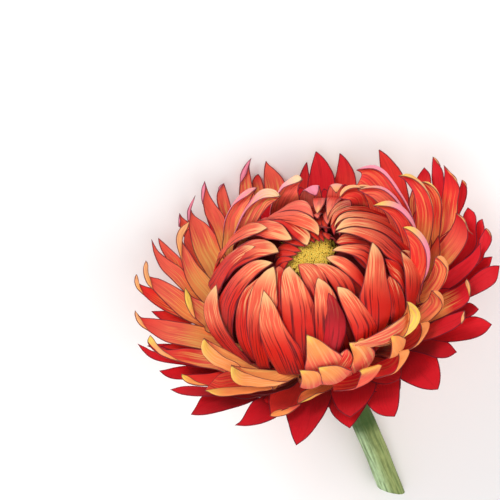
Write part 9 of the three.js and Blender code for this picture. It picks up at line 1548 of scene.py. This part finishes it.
for key, nm, nd in (("E", "dome_outer_bracts", "incurved_bracts_outer"), ("Fo", "dome_middle_bracts", "incurved_bracts_middle"), ("Fi", "dome_inner_bracts", "incurved_bracts_inner")):
    sh = Sheets()
    for i, b_row in enumerate(ROWS[key]):
        if key != "E":
            dome(sh, b_row, .16 * ((i * 2) % 3 - 1))
    for o_row in DOME:
        if o_row[1] == key:
            outlined(sh, o_row)
    if key == "Fi":
        # short dark innermost bracts that lean over the back of the disc
        c = np.array([.66, .47, 0])
        for tips, a0, a1, r0, tones in ((CRATER_FRONT, 198, 12, 6.2, "QMP"), (CRATER_BACK, 122, 44, 7.0, "QLL")):
            for j, tip in enumerate(tips):
                a = rad(a0 + (a1 - a0) * j / (len(tips) - 1))
                e = np.array([math.cos(a), math.sin(a), 0])
                tip = np.array(tip) + np.array([rng.uniform(-.2, .2), rng.uniform(-.2, .2), rng.uniform(-.1, .15)])
                pts = [c + e * r0 + [0, 0, 9.4], c + e * (r0 - .3) + [0, 0, 11.6], (c + e * (r0 - 1.0) + [0, 0, 12.9]) * .8 + tip * .2, tip]
                mid, u, L = resample(np.array(pts), 16)
                bract(sh, mid, -(e * .6 + np.array([0, 0, .8])), rng.uniform(.72, .98) * pchip(WIDE["D"], u), u, .5 * np.ones_like(u), np.zeros((16, 2)), [.6, .6], .14,
                      tones, tones, (.1, .2), dict(ruffle=.03, pleat=0, back_streak="J", dark=(.5, .5)), nv=9)
        # slender bracts behind the disc, hanging from the back of the opening
        for tx, ty, tz, bx, half, tones in CURTAIN:
            pts = np.array([(bx + .1, 10.2, tz - 4.6), (bx, 8.9, tz - 1.9), (bx * .6 + tx * .4, ty * .45 + 8.9 * .55, tz - .35), (tx, ty, tz)])
            mid, u, L = resample(pts, 18)
            bract(sh, mid, -np.array([0, .5, .85]), half * pchip(WIDE["D"], u), u, .55 * np.ones_like(u), np.zeros((18, 2)), [.6, .6], .14,
                  tones, tones, (.1, .2), dict(ruffle=.03, pleat=0, back_streak="J", dark=(.2, .2)), nv=9)
    finish_piece(sh, nm, "incurved_bracts", [nd])

# ---- underside scales ---------------------------------------------------------------
sh = Sheets()
for ring, (s0, s1, count, wid) in enumerate([(1.0, 4.0, 22, 4.6), (.4, 2.9, 18, 4.4), (0.0, 1.9, 14, 4.0)]):
    for j in range(count):
        a = rad(360 / count * (j + .5 * ring) + rng.uniform(-3, 3))
        u = stations(14, 1.1)
        s = s0 + (s1 - s0 + rng.uniform(-.15, .1)) * u
        ph = a + rng.uniform(-.05, .05) * u
        mid = shell_point("P", s, ph)
        nrm = shell_normal("P", s, ph); nrm = nrm * np.sign(nrm[:, 2:3])
        mid = mid - nrm * (.10 + (ring * .32 + .10 * (j % 2)) * smooth(np.clip(u / .3, 0, 1)))[:, None]
        bract(sh, mid, nrm, wid / 2 * pchip(WIDE["P"], u), u, -.10 * np.ones_like(u) + .5, np.full((14, 2), .1), [.6, .6], .20,
              "FED", "FED" if ring == 0 else "IFE", (.4, .5), dict(ruffle=.06, back_streak="W", dark=(.2, .25)), nv=9)
finish_piece(sh, "base_scales", "underside_scales", ["underside_scales"])


# ---- bodies of revolution and tubes --------------------------------------------------
class Solid:
    """Collects closed loops-of-rings solids, as triangles, that become one mesh."""

    def __init__(self):
        self.co, self.tri, self.n = [], [], 0
        self.base, self.streak, self.par, self.mix = [], [], [], []

    def rings(self, rings, base, streak, amount, rnd, par=None, cap_base=None):
        n, k = len(rings[0]), len(rings)
        A = np.arange(n * k).reshape(k, n)
        a, b, c, d = A[:-1], np.roll(A, -1, 1)[:-1], np.roll(A, -1, 1)[1:], A[1:]
        t = [np.stack([a, b, c], -1).reshape(-1, 3), np.stack([a, c, d], -1).reshape(-1, 3)]
        i0, i1 = n * k, n * k + 1
        j = np.arange(n)
        t.append(np.stack([np.full(n, i0), A[0, (j + 1) % n], A[0, j]], -1))
        t.append(np.stack([np.full(n, i1), A[-1, j], A[-1, (j + 1) % n]], -1))
        R = np.concatenate(rings)
        co = np.concatenate([R, [rings[0].mean(0), rings[-1].mean(0)]])
        m = len(co)
        bb = np.broadcast_to(base, (k, n, 3)) if np.ndim(base) < 3 and np.shape(base) != (k, 3) else base
        if np.shape(base) == (k, 3):
            bb = np.repeat(np.asarray(base)[:, None], n, 1)
        bb = np.asarray(bb).reshape(-1, 3)
        c0 = bb[0] if cap_base is None else cap_base[0]
        c1 = bb[-1] if cap_base is None else cap_base[1]
        self.base.append(np.concatenate([bb, [c0, c1]]))
        self.streak.append(np.broadcast_to(streak, (m, 3)))
        if par is None:
            lng = np.repeat(np.arange(k) * .5, n); lat = np.tile(np.arange(n) * .3, k)
            par = np.stack([lng, lat, np.ones(n * k)], -1)
        self.par.append(np.concatenate([par, [par[0], par[-1]]]))
        self.mix.append(np.tile([amount, 0, rnd], (m, 1)))
        self.co.append(co); self.tri.append(outward(co - co.mean(0), np.concatenate(t)) + self.n); self.n += m

    def make(self, name, material, smooth_shade=True):
        s = Sheets()
        s.add(np.concatenate(self.co), np.concatenate(self.tri), None, np.concatenate(self.base),
              np.concatenate(self.streak), np.concatenate(self.par), np.concatenate(self.mix))
        return s.make(name, material)


def loop(center, normal_z, ex, ey, r, n, lobes=0, depth=0.0, phase=0.0, noise=None):
    a = np.linspace(0, 2 * math.pi, n, endpoint=False)
    rr = r * (1 + depth * np.cos(lobes * a + phase))
    if noise is not None:
        rr = rr * (1 + noise)
    return center + np.outer(rr * np.cos(a), ex) + np.outer(rr * np.sin(a), ey)


# receptacle
so = Solid()
prof = [(.4, -13.05), (3.2, -13.05), (5.2, -13.1), (6.3, -13.1), (7.1, -12.92), (8.5, -12.16), (10.0, -11.38), (11.5, -10.6), (12.8, -9.95), (13.3, -9.4), (13.0, -8.5), (12.2, -6.5), (11.6, -4.5), (11.4, -2.6), (11.2, -1.4), (10.3, -.75), (9.4, -.45), (5, -.2), (1, -.1)]
NR = 64
aa = np.linspace(0, 2 * math.pi, NR, endpoint=False)
rings = []
for i, (r, z) in enumerate(prof):
    nz = .012 * np.sin(aa * 13 + i) + .010 * np.sin(aa * 29 + 2 * i)
    rr = r * (1 + nz * (r > 4))
    rings.append(np.stack([rr * np.cos(aa), rr * np.sin(aa), np.full(NR, z)], -1))
so.rings(rings, lin((176, 150, 92)), lin((120, 96, 50)), .8, .3)
ob = so.make("receptacle_body", MAT["receptacle"]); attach(ob, "root"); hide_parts("receptacle"); pieces.append(ob)

# disc: florets packed over a low mound, with a ragged olive fringe at its rim
so = Solid()
prof = [(1.0, .5), (8, .5), (11, 1.2), (13, 2.6), (13.9, 4.4), (13.4, 6.2), (11.8, 8.0), (9.6, 9.6), (7.4, 10.6), (5.6, 11.0), (4.4, 11.15), (2.6, 11.45), (.5, 11.6)]
rings = []
for i, (r, z) in enumerate(prof):
    up = max(z - 3, 0)
    rings.append(np.stack([r * np.cos(aa) + .07 * up, r * np.sin(aa) + .05 * up, np.full(NR, z)], -1))
# painted shade: the mound is dark red below its top, in the shaded gap between the disc and the bracts
mound_tones_shaded_below = np.stack([lin((110, 10, 14)) if z < 11.2 else lin((226, 180, 74)) for r, z in prof])
so.rings(rings, mound_tones_shaded_below, lin((80, 16, 10)), .7, .6)
golden = math.pi * (3 - math.sqrt(5))
for i in range(250):
    r = 4.7 * math.sqrt((i + .5) / 250)
    a = i * golden
    up = 9.0
    cx, cy = .07 * up + r * math.cos(a), .05 * up + r * math.sin(a)
    mound = 11.6 - .03 * r * r
    hgt = rng.uniform(.50, .85) + (.15 if r > 3.6 else 0)
    lean_r = .10 * r + rng.uniform(-.1, .1)
    axis = unit(np.array([lean_r * .35 * math.cos(a) + rng.uniform(-.12, .12), lean_r * .35 * math.sin(a) + rng.uniform(-.12, .12), 1.0]))
    ex = unit(np.cross(axis, [0, 1, .1])); ey = np.cross(axis, ex)
    b = np.array([cx, cy, mound - .35])
    ph = rng.uniform(0, 6.28)
    w = rng.uniform(.85, 1.1)
    top = b + axis * (hgt + .35)
    edge_t = smooth((r - 3.3) / 1.3)
    y1, y2 = lin((255, 230, 104)), lin((255, 206, 76))
    c_top = y1 * (1 - edge_t * .5) + lin((196, 168, 52)) * edge_t * .5
    c_top = c_top * rng.uniform(.92, 1.05)
    rl = [loop(b, axis, ex, ey, .15 * w, 10), loop(b + axis * hgt * .8, axis, ex, ey, .17 * w, 10),
          loop(top - axis * .05, axis, ex, ey, .33 * w, 10, 5, .18, ph), loop(top, axis, ex, ey, .29 * w, 10, 5, .2, ph),
          loop(top - axis * .12, axis, ex, ey, .12 * w, 10)]
    cols = np.stack([y2 * .8, y2, c_top, c_top * 1.05, lin((226, 168, 52))])
    so.rings(rl, cols, y2 * .7, .35, rng.uniform(0, 1))
for i in range(170):
    a = rng.uniform(0, 2 * math.pi); r = rng.uniform(4.35, 5.35)
    up = 9.0
    b = np.array([.07 * up + r * math.cos(a), .05 * up + r * math.sin(a), 11.0])
    axis = unit(np.array([rng.uniform(-.5, .45) * math.cos(a) + rng.uniform(-.2, .2), rng.uniform(-.5, .45) * math.sin(a) + rng.uniform(-.2, .2), 1.0]))
    ex = unit(np.cross(axis, [0, 1, .1])); ey = np.cross(axis, ex)
    h = rng.uniform(1.1, 1.9); w = rng.uniform(.10, .19)
    rl = [loop(b, axis, ex, ey, w, 5), loop(b + axis * h * .6, axis, ex, ey, w * .8, 5), loop(b + axis * h, axis, ex, ey, w * .15, 5)]
    c = [lin((150, 128, 34)), lin((120, 104, 26)), lin((176, 138, 44))][i % 3]
    so.rings(rl, np.stack([c * .6, c, c * 1.1]), c * .5, .5, rng.uniform(0, 1))
ob = so.make("disc_floret_tubes", MAT["disc_florets"]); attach(ob, "root"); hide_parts("disc_florets"); pieces.append(ob)

# stem: ribbed, gently curved, with a flared top and a cut end; the head's shadow is painted on its top and one side is
# painted as lit
so = Solid()
PATH = np.array([(0, 0, -12.7), (.05, -.3, -15.0), (.2, -.9, -18), (.6, -3.3, -25), (1.25, -6.3, -32), (1.8, -9.0, -38), (2.2, -12.0, -43.9)], float)
mid = catmull(PATH, np.linspace(0, len(PATH) - 1, 46))
T = unit(np.gradient(mid, axis=0))
d = np.r_[0, np.cumsum(np.linalg.norm(np.diff(mid, axis=0), axis=1))]
NS = 72
a = np.linspace(0, 2 * math.pi, NS, endpoint=False)
rings, cols = [], []
ex0 = np.array([1.0, 0, 0])
pars = []
lit_side_green, midc, olive, head_shadow_green = lin((200, 232, 180)), lin((118, 146, 84)), lin((158, 174, 108)), lin((50, 80, 28))
for i in range(len(mid)):
    ex = unit(ex0 - T[i] * (ex0 @ T[i])); ey = np.cross(T[i], ex)
    flare = 1 + .42 * math.exp(-d[i] / 1.8)
    rr = 2.12 * flare * (1 + .016 * np.cos(17 * a + .25 * np.sin(d[i] * .3)) + .02 * np.sin(3 * a + d[i] * .35) + .012 * np.sin(7 * a - d[i] * .9))
    slant = T[i] * (.70 * smooth((d[i] - d[-1] + 4.0) / 4.0))
    rings.append(mid[i] + np.outer(rr * np.cos(a), ex + slant) + np.outer(rr * np.sin(a), ey))
    # painted light and shade: one side of the stem is pale green as if lit, the other olive as if shaded
    side = smooth((.30 - np.cos(a)) / 1.1)
    line = np.clip(np.cos(13 * a + .8 * np.sin(d[i] * .22) + 2 * np.sin(a * 3)), 0, 1) ** 5 * (.55 + .45 * np.sin(d[i] * .9 + 5 * a))
    tone = np.outer(side, lit_side_green) + np.outer(1 - side, olive)
    tone = tone * (1 - .75 * line[:, None]) + np.outer(.75 * line, midc)
    # painted shadow: the top of the stem fades to dark green where the head shades it
    head_shadow_t = float(1 - smooth((d[i] - 18.6) / 3.6)) * .92
    cols.append(tone * (1 - head_shadow_t) + head_shadow_green * head_shadow_t)
    pars.append(np.stack([np.full(NS, d[i]), a * 2.1, np.ones(NS)], -1))
end = mid[-1]; ex = unit(ex0 - T[-1] * (ex0 @ T[-1])); ey = np.cross(T[-1], ex)
for q, back_off, c in ((.95, .0, lin((96, 124, 60))), (.88, .05, lin((206, 216, 160))), (.45, .10, lin((222, 222, 178))), (.15, .16, lin((176, 168, 112)))):
    rings.append(end + T[-1] * (.03 - back_off) + np.outer(2.02 * q * (1 + .03 * np.cos(11 * a)) * np.cos(a), ex + T[-1] * .70) + np.outer(2.02 * q * (1 + .03 * np.cos(11 * a)) * np.sin(a), ey))
    cols.append(np.tile(c, (NS, 1)))
    pars.append(np.stack([np.full(NS, d[-1] + 2.0 * (1 - q)), a * 2.1, np.ones(NS)], -1))
so.rings(rings[::-1], np.stack(cols[::-1]), head_shadow_green, .55, .4, par=np.concatenate(pars[::-1]))
ob = so.make("cut_stem", MAT["stem"])
for v in ob.data.vertices:
    v.co.z = max(v.co.z, 2e-5)
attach(ob, "root"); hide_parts("stem"); pieces.append(ob)

# ---- stage, camera and light ----------------------------------------------------------
fm = bpy.data.meshes.new("table_surface")
fm.from_pydata([(-3, -3, 0), (3, -3, 0), (3, 3, 0), (-3, 3, 0)], [], [(0, 1, 2, 3)])
floor = bpy.data.objects.new("table_surface", fm)
bpy.context.scene.collection.objects.link(floor)
mf, nt, bs = new_material("pale_table")
tc = node(nt, "ShaderNodeTexCoord"); tx = node(nt, "ShaderNodeTexNoise")
nt.links.new(tc.outputs["Object"], tx.inputs["Vector"]); tx.inputs["Scale"].default_value = 3
tf = tx.outputs["Fac"] if "Fac" in tx.outputs else tx.outputs[0]
nt.links.new(mix_color(nt, tf, (.93, .93, .93), (.95, .95, .95)), bs.inputs["Base Color"])
bs.inputs["Roughness"].default_value = .9
bs.inputs["Specular IOR Level"].default_value = .1
fm.materials.append(mf)

EL, RHO = rad(50), rad(18)
cf = np.array([0, -math.cos(EL), math.sin(EL)])
e_x = np.array([math.cos(RHO), -math.sin(RHO) * math.sin(EL), -math.sin(RHO) * math.cos(EL)])
e_y = np.array([math.sin(RHO), math.cos(RHO) * math.sin(EL), math.cos(RHO) * math.cos(EL)])
aim = to_world(e_x * -12.05 + e_y * 8.63)
X, Y, Z = TURN @ e_x, TURN @ e_y, TURN @ cf
cam_data = bpy.data.cameras.new("camera")
cam_data.sensor_width = 36
DIST = 2.0
cam_data.lens = 36 * DIST / (500 / 5.56 * MM)
cam_data.clip_start, cam_data.clip_end = .05, 20
cam = bpy.data.objects.new("camera", cam_data)
bpy.context.scene.collection.objects.link(cam)
loc = aim + Z * DIST
cam.matrix_world = Matrix(((X[0], Y[0], Z[0], loc[0]), (X[1], Y[1], Z[1], loc[1]), (X[2], Y[2], Z[2], loc[2]), (0, 0, 0, 1)))
bpy.context.scene.camera = cam


def area(name, at, target, size, power, color=(1, 1, 1)):
    l = bpy.data.lights.new(name, "AREA"); l.shape = "DISK"; l.size = size; l.energy = power; l.color = color
    o = bpy.data.objects.new(name, l); bpy.context.scene.collection.objects.link(o)
    o.location = at
    o.rotation_mode = "QUATERNION"
    o.rotation_quaternion = (Vector(target) - Vector(at)).to_track_quat("-Z", "Y")
    return o


centre = to_world(np.array([0, 0, 2.0]))
key_dir = unit(-X * .75 + Y * .65 + Z * 1.0)
area("key", tuple(centre + key_dir * 3.0), tuple(centre), 1.4, 42.0, (1, .985, .965))
fill_dir = unit(X * .9 - Y * .5 + Z * .9)
area("fill", tuple(centre + fill_dir * 3.0), tuple(centre), 2.4, 24.0, (.98, .985, 1))
area("front", tuple(centre + unit(Z - Y * .35) * 3.0), tuple(centre), 2.0, 30.0)
world = bpy.data.worlds.new("studio"); bpy.context.scene.world = world
world.use_nodes = True
world.node_tree.nodes["Background"].inputs[0].default_value = (1, 1, 1, 1)
world.node_tree.nodes["Background"].inputs[1].default_value = .48
bpy.context.scene.view_settings.view_transform = "Standard"
bpy.context.scene.view_settings.look = "None"

tris = sum(sum(len(p.vertices) - 2 for p in o.data.polygons) for o in pieces)
print("pieces", len(pieces), "triangles", tris, "largest", max((sum(len(p.vertices) - 2 for p in o.data.polygons), o.name) for o in pieces))
low = {o.name: min(v.co.z for v in o.data.vertices) for o in pieces}
print("lowest points mm", sorted((round(z * 1000, 2), n) for n, z in low.items())[:8])
